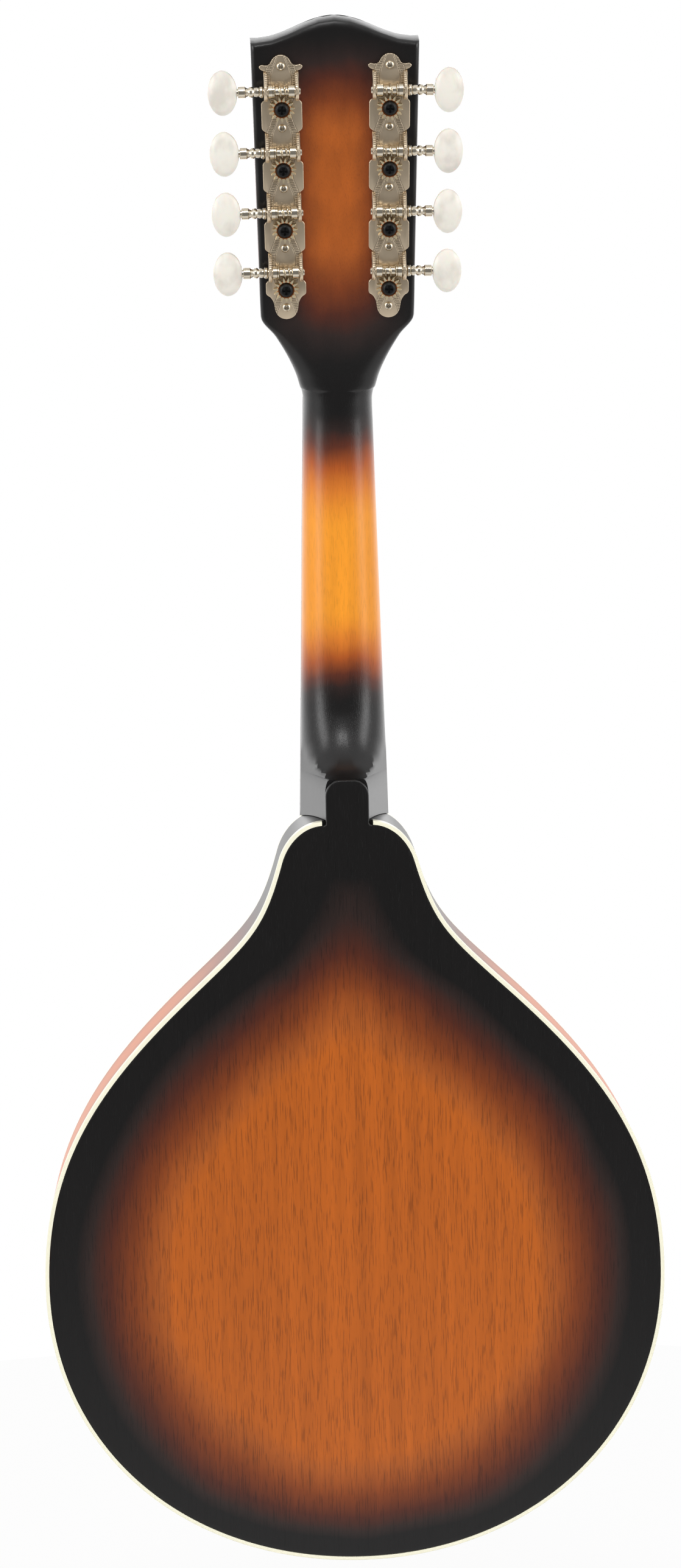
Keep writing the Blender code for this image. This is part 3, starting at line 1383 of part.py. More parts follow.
def build_bridge():
    crest, under, foot_top = bridge_levels()
    z = bridge_z()
    front = []
    back = []
    for i in range(13):
        x = (i / 6 - 1) * BRIDGE_LENGTH / 2
        share = abs(x) / (BRIDGE_LENGTH / 2)
        half = BRIDGE_WIDTH / 2 * (1 - 0.35 * share**3)
        ends = [z - half, z, z + half]
        seat = [min(arch_y(x, e), arch_y(x, z)) - JOIN for e in ends]
        level = foot_top if abs(x) < STUD_SPACING / 2 + 0.010 else max(seat) - 0.0030
        front.append([(x, min(level, min(seat) - 0.0015), e) for e in ends])
        back.append([(x, y, e) for y, e in zip(seat, ends)])
    foot = place("bridge_foot", sheet_solid("bridge_foot", front, back), EBONY)
    wheel_top = under + JOIN
    for side, side_name in SIDES:
        x = side * STUD_SPACING / 2
        stud_low = -foot_top - BRIDGE_FOOT_HEIGHT / 2
        stud = round_mesh("stud", STUD_RADIUS, stud_low, -under + STUD_REACH, 10)
        join(foot, f"stud_{side_name}", stud, at(x, 0, z) @ UPRIGHT)
        wheel = turned(
            f"thumbwheel_{side_name}",
            [
                (STUD_RADIUS + BEARING_GAP, WHEEL_THICKNESS),
                (WHEEL_RADIUS - 0.0003, WHEEL_THICKNESS),
                (WHEEL_RADIUS, WHEEL_THICKNESS - 0.0003),
                (WHEEL_RADIUS, 0.0003),
                (WHEEL_RADIUS - 0.0003, 0),
                (STUD_RADIUS + BEARING_GAP, 0),
                (STUD_RADIUS + BEARING_GAP, WHEEL_THICKNESS),
            ],
            14,
        )
        place(f"thumbwheel_{side_name}", wheel, BRASS, at(x, wheel_top + WHEEL_THICKNESS, z) @ UPRIGHT)

    outline = notched_outline(
        SADDLE_LENGTH / 2,
        -SADDLE_HEIGHT,
        0.0006,
        (BRIDGE_COURSE_SPACING, BRIDGE_PAIR_SPACING),
        [-STRING_RADII[s // 2] - JOIN for s in range(8)],
        0.0022,
    )
    mesh = flat_outline("bridge_saddle", outline, SADDLE_WIDTH)
    saddle = place("bridge_saddle", mesh, EBONY, at(0, crest, z) @ STANDING)
    for side, side_name in SIDES:
        depth = STUD_REACH + SADDLE_TRAVEL + 2 * JOIN
        hole = round_mesh("stud_hole", STUD_RADIUS + BEARING_GAP, -SADDLE_HEIGHT / 2, depth, 12)
        cut(saddle, f"stud_hole_{side_name}", hole, at(side * STUD_SPACING / 2, under, z) @ UPRIGHT)


def tail_plate_y(z):
    """The y of the tailpiece plate's underside over the top, following the arch from its edge."""
    return arch_y(0, max(z, TAIL_Z + PLATE_INSET + 0.001)) - 2 * JOIN


def hook_place(string):
    return string_x(string, BRIDGE_COURSE_SPACING * 0.82, BRIDGE_PAIR_SPACING * 1.35)


def strip_solid(name, path, thickness):
    """A bent strip along a side-view path of (y, z, half width), thickened to the outside."""
    front = []
    back = []
    for i, (y, z, half) in enumerate(path):
        before = path[max(i - 1, 0)]
        after = path[min(i + 1, len(path) - 1)]
        run = Vector((after[0] - before[0], after[1] - before[1])).normalized()
        out = Vector((-run.y, run.x)) * thickness
        back.append([(-half, y, z), (0, y, z), (half, y, z)])
        front.append([(-half, y + out.x, z + out.y), (0, y + out.x, z + out.y), (half, y + out.x, z + out.y)])
    return sheet_solid(name, front, back)


def build_tailpiece():
    end_z = TAIL_Z - JOIN
    strap_low = EDGE_FRONT_Y + TAIL_STRAP_DROP
    corner_y = EDGE_FRONT_Y - JOIN
    path = [
        (strap_low, end_z, TAIL_STRAP_HALF * 0.8),
        (strap_low - 0.004, end_z, TAIL_STRAP_HALF),
        (corner_y, end_z, TAIL_STRAP_HALF),
    ]
    for distance in (0.006, 0.014, 0.024, HOOK_FROM_END, TAIL_REACH):
        z = TAIL_Z + distance
        half = TAIL_STRAP_HALF + (TAIL_PLATE_HALF - TAIL_STRAP_HALF) * min(1.0, distance / 0.018)
        path.append((tail_plate_y(z), z, half))
    plate = place("tailpiece_plate", strip_solid("tailpiece_plate", path, TAIL_PLATE_THICKNESS), NICKEL)
    hook_z = TAIL_Z + HOOK_FROM_END
    for string in range(8):
        foot = -tail_plate_y(hook_z)
        hook_low = foot + TAIL_PLATE_THICKNESS / 2
        hook = round_mesh("hook", HOOK_RADIUS, hook_low, foot + TAIL_PLATE_THICKNESS + HOOK_HEIGHT, 6)
        join(plate, f"hook_{string}", hook, at(hook_place(string), 0, hook_z) @ UPRIGHT)

    front = []
    back = []
    for i in range(9):
        t = i / 8
        z = TAIL_Z - 0.004 + (COVER_REACH + 0.004) * t
        low = tail_plate_y(max(z, TAIL_Z + 0.002)) - TAIL_PLATE_THICKNESS - 2 * JOIN
        rise = COVER_RISE * math.sin(math.radians(20 + 70 * min(1.0, t * 1.6)))
        front_row = []
        back_row = []
        for j in range(9):
            share = j / 4 - 1
            x = share * COVER_HALF * (0.80 + 0.20 * math.sin(math.pi * min(1.0, t * 1.3 + 0.2) / 1.4))
            dome = rise * (1 - abs(share) ** 4)
            front_row.append((x, low - dome - COVER_THICKNESS, z))
            back_row.append((x, low - dome, z))
        front.append(front_row)
        back.append(back_row)
    place("tailpiece_cover", sheet_solid("tailpiece_cover", front, back), NICKEL)


clear_scene()
PARTS = new_collection("A-style mandolin")
CUTTERS = new_collection("Cutters")

MAHOGANY_BURST = new_material("Burst mahogany", (0.36, 0.11, 0.02), 0.45)
MAHOGANY_NECK = new_material("Neck mahogany", (0.55, 0.20, 0.04), 0.45)
SPRUCE = new_material("Burst spruce", (0.62, 0.28, 0.07), 0.35)
SPRUCE_INSIDE = new_material("Inside spruce", (0.70, 0.52, 0.32), 0.7)
CREAM = new_material("Cream binding", (0.86, 0.83, 0.66), 0.4)
ROSEWOOD = new_material("Rosewood", (0.06, 0.028, 0.018), 0.5)
EBONY = new_material("Ebony", (0.018, 0.014, 0.012), 0.45)
BLACK_GLOSS = new_material("Black gloss", (0.012, 0.012, 0.012), 0.25)
BONE = new_material("Bone", (0.80, 0.76, 0.64), 0.45)
NICKEL = new_material("Nickel", (0.66, 0.62, 0.55), 0.28, 1.0)
BRASS = new_material("Brass", (0.68, 0.50, 0.24), 0.3, 1.0)
STEEL = new_material("Steel", (0.60, 0.60, 0.60), 0.3, 1.0)
BRONZE = new_material("Bronze winding", (0.62, 0.40, 0.22), 0.35, 1.0)
PEARLOID = new_material("Pearloid", (0.82, 0.79, 0.74), 0.25)

build_plates()
build_ribs()
build_bindings()
build_blocks()
build_tone_bars()
build_back_braces()
build_neck()
build_truss_rod()
build_headstock_overlay()
build_truss_rod_cover()
build_fingerboard()
build_nut()
build_tuners()
build_strings()
build_bridge()
build_tailpiece()
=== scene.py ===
"""A-style mandolin hanging upright and seen from its back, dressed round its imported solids.

+Z runs up the neck, the strings face -Y and the flat back faces +Y. The origin is on the centre line,
at the nut end of the fingerboard, in the neck's glue plane. All lengths are in metres.
"""

import math

import bmesh
import bpy
from bpy.props import FloatProperty, FloatVectorProperty, IntProperty, PointerProperty
from mathutils import Matrix, Vector
from mathutils.geometry import interpolate_bezier
from mathutils.kdtree import KDTree


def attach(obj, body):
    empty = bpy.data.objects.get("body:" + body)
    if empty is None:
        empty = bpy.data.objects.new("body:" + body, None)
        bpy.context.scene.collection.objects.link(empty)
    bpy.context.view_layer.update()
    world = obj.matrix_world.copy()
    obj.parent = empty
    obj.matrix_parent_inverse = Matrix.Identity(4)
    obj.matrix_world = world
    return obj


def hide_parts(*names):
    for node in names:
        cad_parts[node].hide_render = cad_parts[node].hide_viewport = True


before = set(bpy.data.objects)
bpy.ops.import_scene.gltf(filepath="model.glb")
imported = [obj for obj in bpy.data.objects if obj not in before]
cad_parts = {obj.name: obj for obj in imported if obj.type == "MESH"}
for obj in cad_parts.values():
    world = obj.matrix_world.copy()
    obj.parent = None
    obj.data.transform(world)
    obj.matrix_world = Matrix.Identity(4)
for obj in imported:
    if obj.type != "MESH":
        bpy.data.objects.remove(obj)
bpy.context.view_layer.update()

bl_info = {
    "name": "A-Style Mandolin",
    "version": (1, 0, 0),
    "blender": (4, 5, 0),
    "location": "3D View > Sidebar > Mandolin",
    "description": "Builds the detailed pieces, finishes and studio of an a-style mandolin",
    "category": "Add Mesh",
}

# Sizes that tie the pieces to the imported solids

SCALE_LENGTH = 0.34925
NECK_ANGLE = math.radians(3.5)
HEAD_ANGLE = math.radians(16.5)
JOIN = 0.0003  # the glue line or running gap between two pieces
SLOPE = math.tan(NECK_ANGLE)

BODY_WIDTH = 0.2603
BODY_LENGTH = 0.3160
WIDEST_BELOW = 0.1934
BODY_DEPTH = 0.0450
JOINT_RISE = 0.0029
BACK_THICKNESS = 0.0034
TOP_THICKNESS = 0.0036
ARCH_HEIGHT = 0.0080
F_HOLE_PLACE = 0.0560
F_HOLE_SWEEP = 0.0075
F_HOLE_LEAN = 0.0035
F_HOLE_NICK = 0.0011
RIB_THICKNESS = 0.0020
LINING_WIDTH = 0.0055
LINING_LIP = 0.0004
LINING_DEPTH = 0.0100
BINDING_WIDTH = 0.0016
BINDING_DEPTH = 0.0052
BLOCK_DEPTH = 0.0400
TAIL_BLOCK_HALF = 0.0320
SPRAY_ROUND = 4.0  # how roundly the burst's border turns where the body narrows; lower is rounder

NUT_WIDTH = 0.0288
JOINT_WIDTH = 0.0374
NECK_DEPTH_NUT = 0.0150
NECK_DEPTH_HEEL = 0.0170
NECK_SQUARENESS = 2.2  # 2 gives an oval back, more a squarer one
SECTION_SPACING = 0.0016
SIDE_LIP = 0.0014
HEEL_LIP = 0.0060
HEEL_LENGTH = 0.0172
HEEL_SWEEP = 0.0350
HEEL_LEAD = 0.0100
BEND_REACH = 0.0240
SEAT_GROWTH = 0.13  # how much thicker the wood gets under the nut, for its length
TONGUE_STEP = 0.0020
BUTTON_HALF = 0.0090
BUTTON_CORNER = 0.0066
BUTTON_FILLET = 0.0013
HEEL_CORNER_SHARE = 0.3  # how much of the button's corner the heel follows

FRET_COUNT = 20
FINGERBOARD_THICKNESS = 0.0050
FRET_HEIGHT = 0.0010
FRET_SUNK = 0.00005
FINGERBOARD_TAIL = 0.0040
NUT_THICKNESS = 0.0050
STRING_OVER_NUT = 0.0019
ACTION_AT_TWELVE = 0.0030

HEAD_THICKNESS = 0.0145
OVERLAY_THICKNESS = 0.0020
HEAD_FLARE_TOP = 0.0388
FLARE_START = 0.30  # how steeply the headstock widens at the nut
HEAD_LOW_HALF = 0.0315
HEAD_CORNER = 0.1513
HEAD_TOP_HALF = 0.0338
HEAD_CROWN = 0.0088
BELL_LENGTH = 0.0300
BELL_HALF = 0.0095
BELL_TIP = 0.0032
BELL_THICKNESS = 0.0015

TUNER_LINE = 0.0205
TUNER_LEAN = math.radians(0.525)
FIRST_POST = 0.0517
POST_CLEARANCE = 0.0006
POST_PITCH = 0.02473
POSTS_PER_SIDE = 4
PLATE_DROP = 0.0013
PLATE_THICKNESS = 0.0012
PLATE_HALF = 0.0082
PLATE_WAIST = 0.0058
PLATE_TAB = 0.0047
RIBBON_MIDDLE = 0.0040
RIBBON_SWING = 0.0016
RIBBON_HALF = 0.0010
SCREW_BELOW_POST = 0.0070
SCREW_ABOVE_POST = 0.0179
EAR_OFFSET = 0.0063
EAR_THICKNESS = 0.0014
EAR_RADIUS = 0.0039
GEAR_TEETH = 15
GEAR_PITCH_RADIUS = 0.00475
GEAR_ADDENDUM = 0.00048
GEAR_DEDENDUM = 0.00055
GEAR_THICKNESS = 0.0022
TOOTH_WIDTH = 0.00082
WORM_PITCH_RADIUS = 0.00250
WORM_ADDENDUM = 0.00034
WORM_DEDENDUM = 0.00070
WORM_THREAD_HALF = 0.00066
WORM_TURNS = 2.0
WORM_COLLAR_RADIUS = 0.00260
SLEEVE_RADIUS = 0.0024
SLEEVE_LENGTH = 0.0031
BEAD_RADIUS = 0.0022
BEAD_PITCH = 0.0024
MESH_HEIGHT = 0.0044
JOURNAL_RADIUS = 0.0016
BEARING_GAP = 0.00018
POST_RADIUS = 0.0030
POST_WAIST_RADIUS = 0.0027
POST_RISE = 0.0130
BUSHING_RADIUS = 0.0046
BUSHING_RISE = 0.0014
GEAR_SCREW_RADIUS = 0.00285
BUTTON_DISTANCE = 0.0236

STRING_RADII = (0.00050, 0.00034, 0.00021, 0.00015)
WIRE_PITCH = 0.00045
NUT_SPACING = (0.0071, 0.0022)
BRIDGE_SPACING = (0.0126, 0.0030)
WINDING_TURNS = 2
WINDING_GAP = 0.00045
WINDING_SEAT = 0.00022
WINDING_START = 0.0020

BRIDGE_LENGTH = 0.1180
BRIDGE_WIDTH = 0.0120
BRIDGE_FOOT_HEIGHT = 0.0056
SADDLE_WIDTH = 0.0058
SADDLE_HEIGHT = 0.0052
STUD_SPACING = 0.0580
STUD_RADIUS = 0.0016
STUD_REACH = 0.0023
WHEEL_RADIUS = 0.0058
WHEEL_THICKNESS = 0.0022
TAIL_PLATE_THICKNESS = 0.0012
TAIL_PLATE_HALF = 0.0250
TAIL_STRAP_HALF = 0.0170
TAIL_STRAP_DROP = 0.0230
TAIL_REACH = 0.0420
HOOK_FROM_END = 0.0330
HOOK_HEIGHT = 0.0030
HOOK_RADIUS = 0.0008
COVER_HALF = 0.0270
COVER_REACH = 0.0500
COVER_RISE = 0.0095
COVER_THICKNESS = 0.0010

# Places that follow from the sizes above
JOINT_Z = -SCALE_LENGTH / 2
EDGE_FRONT_Y = JOINT_Z * SLOPE + JOINT_RISE
BACK_Y = EDGE_FRONT_Y + BODY_DEPTH
CENTRE_Z = JOINT_Z - WIDEST_BELOW
TAIL_Z = JOINT_Z - BODY_LENGTH
PLATE_INSET = BINDING_WIDTH + JOIN
CENTRE_DISTANCE = GEAR_PITCH_RADIUS + WORM_PITCH_RADIUS
AXIAL_PITCH = 2 * math.pi * GEAR_PITCH_RADIUS / GEAR_TEETH
GEAR_ROOT = GEAR_PITCH_RADIUS - GEAR_DEDENDUM - 0.0005
GEAR_LOW = MESH_HEIGHT - GEAR_THICKNESS / 2
GEAR_HIGH = MESH_HEIGHT + GEAR_THICKNESS / 2
WORM_ROOT = WORM_PITCH_RADIUS - WORM_DEDENDUM
BOARD_FACE = -FINGERBOARD_THICKNESS - JOIN
WOOD_FRONT = OVERLAY_THICKNESS + JOIN
WOOD_THICKNESS = HEAD_THICKNESS - WOOD_FRONT
WIDTH_PER_METRE = (JOINT_WIDTH - NUT_WIDTH) / (SCALE_LENGTH / 2)
BRIDGE_STRING_RISE = FINGERBOARD_THICKNESS + STRING_OVER_NUT + 2 * (
    FRET_HEIGHT + ACTION_AT_TWELVE - STRING_OVER_NUT
)
SIDES = ((-1, "bass"), (1, "treble"))
SHARP_ANGLE = 32.0  # edges that turn more than this many degrees stay sharp
CHAMFER = 0.0002

# Frames of the neck, the headstock and the turned pieces
NECK_FRAME = Matrix.Rotation(-NECK_ANGLE, 4, "X")
HEAD_FRAME = Matrix.Rotation(-HEAD_ANGLE, 4, "X")
UPRIGHT = Matrix.Rotation(math.radians(90), 4, "X")
BACKWARD = Matrix.Rotation(math.radians(-90), 4, "X")
SIDEWAYS = Matrix.Rotation(math.radians(90), 4, "Y")


def linear(code):
    """A colour's linear values from its sRGB hex code."""
    values = [int(code[i : i + 2], 16) / 255 for i in (1, 3, 5)]
    return [v / 12.92 if v <= 0.04045 else ((v + 0.055) / 1.055) ** 2.4 for v in values]


def colour(name, code, description):
    return FloatVectorProperty(
        name=name, description=description, subtype="COLOR", size=3, min=0, max=1, default=linear(code)
    )


def length(name, default, description):
    return FloatProperty(
        name=name, description=description, unit="LENGTH", subtype="DISTANCE", precision=5, default=default
    )


class MandolinSizes(bpy.types.PropertyGroup):
    """Sizes of the details that the solids leave open."""

    plate_edge: length("Button edge", 0.0006, "Radius of the heel button's rounded edge")
    binding_edge: length("Binding edge", 0.0005, "Radius of the binding's scraped outer edge")
    head_edge: length("Headstock edge", 0.0020, "Radius of the rounded edge at the headstock's back")
    burst_width: length("Burst width", 0.0270, "Where the burst is dark brown, in from the body's edge")
    burst_neck: length("Burst width at the neck", 0.0410, "The same width where the body narrows")
    burst_tail: length("Burst width at the tail", 0.0190, "The same width at the body's end")
    pore_width: length("Pore width", 0.00045, "Width of the mahogany's pores, coarse enough to show")
    pore_length: length("Pore length", 0.009, "Length of the mahogany's pores")
    grain_pitch: length("Spruce grain", 0.0012, "Distance between two growth rings of the spruce top")
    fret_width: length("Fret width", 0.0022, "Width of a fret's crown")
    dot_radius: length("Dot radius", 0.0024, "Radius of the fingerboard's position dots")
    f_hole_length: length("F-hole length", 0.0700, "Distance between the middles of an f-hole's ends")
    f_hole_width: length("F-hole width", 0.0056, "Width of an f-hole's slot at its middle")
    f_lobe_radius: length("F-hole lobe", 0.0043, "Radius of the round ends of an f-hole")


class MandolinTunerSizes(bpy.types.PropertyGroup):
    """Sizes of the tuners' details."""

    button_width: length("Button width", 0.0120, "Width of a tuner button along its shaft")
    button_height: length("Button height", 0.0183, "Length of a tuner button across its shaft")
    button_thickness: length("Button thickness", 0.0066, "Thickness of a tuner button")
    plate_edge: length("Plate edge", 0.00025, "Radius of the stamped plate's rounded edge")
    screw_radius: length("Screw radius", 0.0017, "Radius of the plates' mounting screws")
    knurls: IntProperty(name="Knurls", description="Number of ridges on a thumbwheel", default=36, min=12)
    engraving_pitch: length("Engraving pitch", 0.0007, "Distance between the short cuts of the engraving")


class MandolinColours(bpy.types.PropertyGroup):
    """Colours of the finishes."""

    burst_black: colour("Burst black", "#0D0B0B", "The lacquer at the edge")
    burst_umber: colour("Burst umber", "#2A1C19", "Where the black begins to let the wood through")
    burst_brown: colour("Burst brown", "#4E2112", "The dark brown between black and amber")
    burst_red: colour("Burst red", "#7C3810", "The reddish brown round the amber")
    burst_orange: colour("Burst orange", "#A85519", "The orange brown just outside the amber")
    burst_amber: colour("Burst amber", "#B65B13", "The amber in the middle of the back")
    neck_brown: colour("Neck brown", "#5B2918", "The neck where the black ends")
    neck_rust: colour("Neck rust", "#AB5219", "The neck between brown and amber")
    neck_orange: colour("Neck orange", "#D87A24", "The neck just outside its amber")
    neck_amber: colour("Neck amber", "#F49A26", "The bright amber of the neck")
    spruce_orange: colour("Spruce orange", "#C77A28", "The orange just outside the top's amber")
    spruce_amber: colour("Spruce amber", "#DE9A3C", "The amber in the middle of the top")
    bare_spruce: colour("Bare spruce", "#D8B98A", "The unfinished wood inside")
    cream: colour("Cream", "#F7F4DC", "The bindings")
    rosewood: colour("Rosewood", "#3A2118", "The fingerboard")
    ebony: colour("Ebony", "#1C1815", "The bridge")
    black: colour("Black", "#0C0C0C", "The headstock's face and the gear screws")
    bone: colour("Bone", "#EAE3CE", "The nut")
    nickel: colour("Nickel", "#D2C8B6", "The shafts, ears and frets")
    plate: colour("Plate", "#DCCAB0", "The engraved tuner plates")
    gear: colour("Gear", "#F0E0BC", "The gears' teeth, in a warmer alloy")
    # The gears' middles are coloured darker and coppery than their teeth: painted shade between the teeth
    gear_root: colour("Gear root shade", "#BE7646", "The gears' middles, darker and coppery as painted shade between the teeth")
    brass: colour("Brass", "#C9A45C", "The thumbwheels")
    steel: colour("Steel", "#C4C4C4", "The plain strings and the truss rod")
    bronze: colour("Bronze", "#B98652", "The wound strings")
    pearl: colour("Pearl", "#F0ECE2", "The tuner buttons")
    pearl_shadow: colour("Pearl shadow", "#DDD8CE", "The grey swirl in the tuner buttons")
    floor: colour("Floor", "#F7F7F7", "The studio floor")


def sizes():
    return bpy.context.scene.mandolin_sizes


def tuner_sizes():
    return bpy.context.scene.mandolin_tuner_sizes


def hue(name):
    """A named colour with its alpha, as a shader's socket takes it."""
    return (*getattr(bpy.context.scene.mandolin_colours, name), 1.0)


# Node trees


def add(tree, kind, links=None, **settings):
    """Adds a node; links gives each input a value or another node's output."""
    node = tree.nodes.new(kind)
    for name, value in settings.items():
        setattr(node, name, value)
    for socket, value in (links or {}).items():
        if isinstance(value, bpy.types.NodeSocket):
            tree.links.new(value, node.inputs[socket])
        else:
            node.inputs[socket].default_value = value
    return node


def maths(tree, operation, *values):
    """The result of one step of arithmetic."""
    return add(tree, "ShaderNodeMath", dict(enumerate(values)), operation=operation).outputs[0]


def scaled(tree, value, factor, offset):
    """A value times a factor, plus an offset."""
    return maths(tree, "MULTIPLY_ADD", value, factor, offset)


def product(tree, first, *others):
    """Several values multiplied."""
    for other in others:
        first = maths(tree, "MULTIPLY", first, other)
    return first


def minus(tree, first, second):
    return maths(tree, "SUBTRACT", first, second)


def eased(tree, value, low, high):
    """0 up to low and 1 from high on, with a soft turn at both ends; high may be the smaller."""
    links = {"Value": value, "From Min": low, "From Max": high}
    return add(tree, "ShaderNodeMapRange", links, interpolation_type="SMOOTHSTEP").outputs[0]


def axes(tree, place=None):
    """The x, y and z of a place, or of the Object coordinates if none is given."""
    if place is None:
        place = add(tree, "ShaderNodeTexCoord").outputs["Object"]
    return add(tree, "ShaderNodeSeparateXYZ", {0: place}).outputs


def object_place(tree, scale=(1, 1, 1), rotation=(0, 0, 0)):
    """Object coordinates, turned and scaled."""
    place = add(tree, "ShaderNodeTexCoord").outputs["Object"]
    links = {"Vector": place, "Scale": scale, "Rotation": rotation}
    return add(tree, "ShaderNodeMapping", links).outputs[0]


def noise(tree, scale, detail, roughness=0.5):
    """Noise over Object coordinates, with a size in metres for each axis."""
    place = object_place(tree, [1 / s for s in scale])
    links = {"Vector": place, "Scale": 1.0, "Detail": detail, "Roughness": roughness}
    return add(tree, "ShaderNodeTexNoise", links).outputs[0]


def colour_line(tree, factor, stops):
    """A colour that runs through stops of (place, name of a colour)."""
    node = add(tree, "ShaderNodeValToRGB", {"Fac": factor})
    line = node.color_ramp
    while len(line.elements) < len(stops):
        line.elements.new(0.5)
    for element, (place, name) in zip(line.elements, stops):
        element.position = place
        element.color = hue(name)
    return node.outputs[0]


def mixed(tree, factor, first, second, blend="MIX"):
    links = {0: factor, 6: first, 7: second}
    return add(tree, "ShaderNodeMix", links, data_type="RGBA", blend_type=blend).outputs[2]


def bumped(tree, height, depth):
    """A normal from a height of 0 to 1 that stands for a depth in metres."""
    return add(tree, "ShaderNodeBump", {"Height": height, "Strength": 1.0, "Distance": depth}).outputs[0]


def finish(name, tree_of, **values):
    """A material with some of its shader's values set and the others driven by its pattern's nodes."""
    material = bpy.data.materials.new(name)
    material.use_nodes = True
    tree = material.node_tree
    shader = tree.nodes["Principled BSDF"]
    for socket, value in values.items():
        shader.inputs[socket.replace("_", " ")].default_value = value
    for socket, output in tree_of(tree).items():
        tree.links.new(output, shader.inputs[socket])
    return material


# Finishes


def mahogany_pores(tree, depth, fineness=1.0):
    """How light the wood is between its stripes and pores, and where the pores are."""
    width = sizes().pore_width / fineness
    long = sizes().pore_length / fineness
    pores = noise(tree, (width, width, long), 2.0)
    dark = eased(tree, pores, 0.46, 0.36)
    stripe = noise(tree, (0.006, 0.006, 0.35), 2.0)
    fleck = noise(tree, (0.0016, 0.0016, 0.05), 3.0)
    light = scaled(tree, stripe, 0.45, 0.78 - depth / 2)
    light = scaled(tree, fleck, depth, light)
    return scaled(tree, dark, -depth, light), dark


def shaded(tree, paint, light):
    """A colour made lighter or darker by a grey value."""
    grey = add(tree, "ShaderNodeCombineColor", {0: light, 1: light, 2: light}).outputs[0]
    return mixed(tree, 1.0, paint, grey, "MULTIPLY")


def burst_line(tree, shade):
    """Sprayed lacquer from black through brown to amber."""
    stops = (
        (0.0, "burst_black"),
        (0.13, "burst_umber"),
        (0.33, "burst_brown"),
        (0.60, "burst_red"),
        (0.87, "burst_orange"),
        (1.0, "burst_amber"),
    )
    return colour_line(tree, shade, stops)


def edge_shade(tree):
    """0 in the black border and 1 in the middle, from the plate's distance to its edge."""
    distance = add(tree, "ShaderNodeAttribute", attribute_name="edge_distance").outputs["Fac"]
    height = axes(tree)[2]
    # Heights between which the border narrows toward the tail and widens toward the neck
    at_tail = eased(tree, height, -0.41, -0.48)
    at_neck = eased(tree, height, -0.252, -0.214)
    middle = sizes().burst_width
    width = scaled(tree, at_tail, sizes().burst_tail - middle, middle)
    width = scaled(tree, at_neck, sizes().burst_neck - middle, width)
    cloud = minus(tree, noise(tree, (0.03, 0.03, 0.05), 2.0), 0.5)
    ratio = scaled(tree, cloud, 0.25, maths(tree, "DIVIDE", distance, width))
    return maths(tree, "DIVIDE", minus(tree, ratio, 0.5), 1.5)


def burst_mahogany():
    """Mahogany under satin lacquer, sprayed dark at its edge: open pores, faint ribbon stripes."""

    def pattern(tree):
        light, dark = mahogany_pores(tree, 0.34)
        paint = shaded(tree, burst_line(tree, edge_shade(tree)), light)
        return {"Base Color": paint, "Normal": bumped(tree, minus(tree, 1.0, dark), 0.00002)}

    return finish("satin burst mahogany", Roughness=0.34, Specular_IOR_Level=0.38, tree_of=pattern)


def rib_mahogany():
    """The same wood bent round the sides: brown along the middle, dark at the neck and both edges."""

    def pattern(tree):
        _, depth, height = axes(tree)
        from_neck = eased(tree, height, JOINT_Z - 0.025, JOINT_Z - 0.085)
        across = maths(tree, "ABSOLUTE", minus(tree, depth, (EDGE_FRONT_Y + BACK_Y) / 2))
        from_edge = eased(tree, across, BODY_DEPTH * 0.5, BODY_DEPTH * 0.12)
        shade = product(tree, from_neck, scaled(tree, from_edge, 0.3, 0.7))
        light = scaled(tree, noise(tree, (0.004, 0.0005, 0.004), 3.0), 0.5, 1.05)
        return {"Base Color": shaded(tree, burst_line(tree, shade), light)}

    return finish("satin rib mahogany", Roughness=0.40, tree_of=pattern)


def neck_paint(tree, cloud):
    """Amber between black ends. It reaches further along the neck's sides than along its middle."""
    across, _, height = axes(tree)
    height = maths(tree, "ADD", height, cloud)
    aside = eased(tree, maths(tree, "ABSOLUTE", across), 0.004, 0.015)
    upper = eased(tree, scaled(tree, aside, -0.004, height), -0.006, -0.056)
    lower = eased(tree, scaled(tree, aside, 0.003, height), -0.1285, -0.0875)
    stops = (
        (0.0, "burst_black"),
        (0.09, "burst_umber"),
        (0.22, "neck_brown"),
        (0.46, "neck_rust"),
        (0.74, "neck_orange"),
        (1.0, "neck_amber"),
    )
    return colour_line(tree, product(tree, upper, lower), stops)


def head_paint(tree, cloud):
    """An amber patch on the headstock's back, and one on each side face between dark edges."""
    across, depth, along = axes(tree, object_place(tree, rotation=(HEAD_ANGLE, 0, 0)))
    across = maths(tree, "ABSOLUTE", across)
    along = maths(tree, "ADD", along, cloud)
    patch = product(tree, eased(tree, along, 0.018, 0.072), eased(tree, along, 0.156, 0.112))
    patch = product(tree, patch, eased(tree, across, 0.031, 0.005))
    # The headstock's sides lean outward, so how far out a place is depends on its height
    out = minus(tree, across, scaled(tree, along, 0.0204, 0.0303))
    inward = eased(tree, depth, HEAD_THICKNESS - 0.0006, HEAD_THICKNESS - 0.0022)
    side = product(tree, eased(tree, out, 0.0, 0.0003), inward, 0.85)
    side = product(tree, side, eased(tree, along, 0.036, 0.060), eased(tree, along, 0.145, 0.105))
    return burst_line(tree, product(tree, maths(tree, "MAXIMUM", patch, side), 0.90))


def neck_mahogany():
    """Mahogany under satin lacquer: amber between black ends, with an amber patch on the headstock."""

    def pattern(tree):
        cloud = scaled(tree, noise(tree, (0.012, 0.012, 0.02), 2.0), 0.008, -0.004)
        paint = mixed(tree, 1.0, neck_paint(tree, cloud), head_paint(tree, cloud), "LIGHTEN")
        light, dark = mahogany_pores(tree, 0.12, 1.4)
        normal = bumped(tree, minus(tree, 1.0, dark), 0.00001)
        return {"Base Color": shaded(tree, paint, light), "Normal": normal}

    return finish("satin neck mahogany", Roughness=0.30, Specular_IOR_Level=0.45, tree_of=pattern)


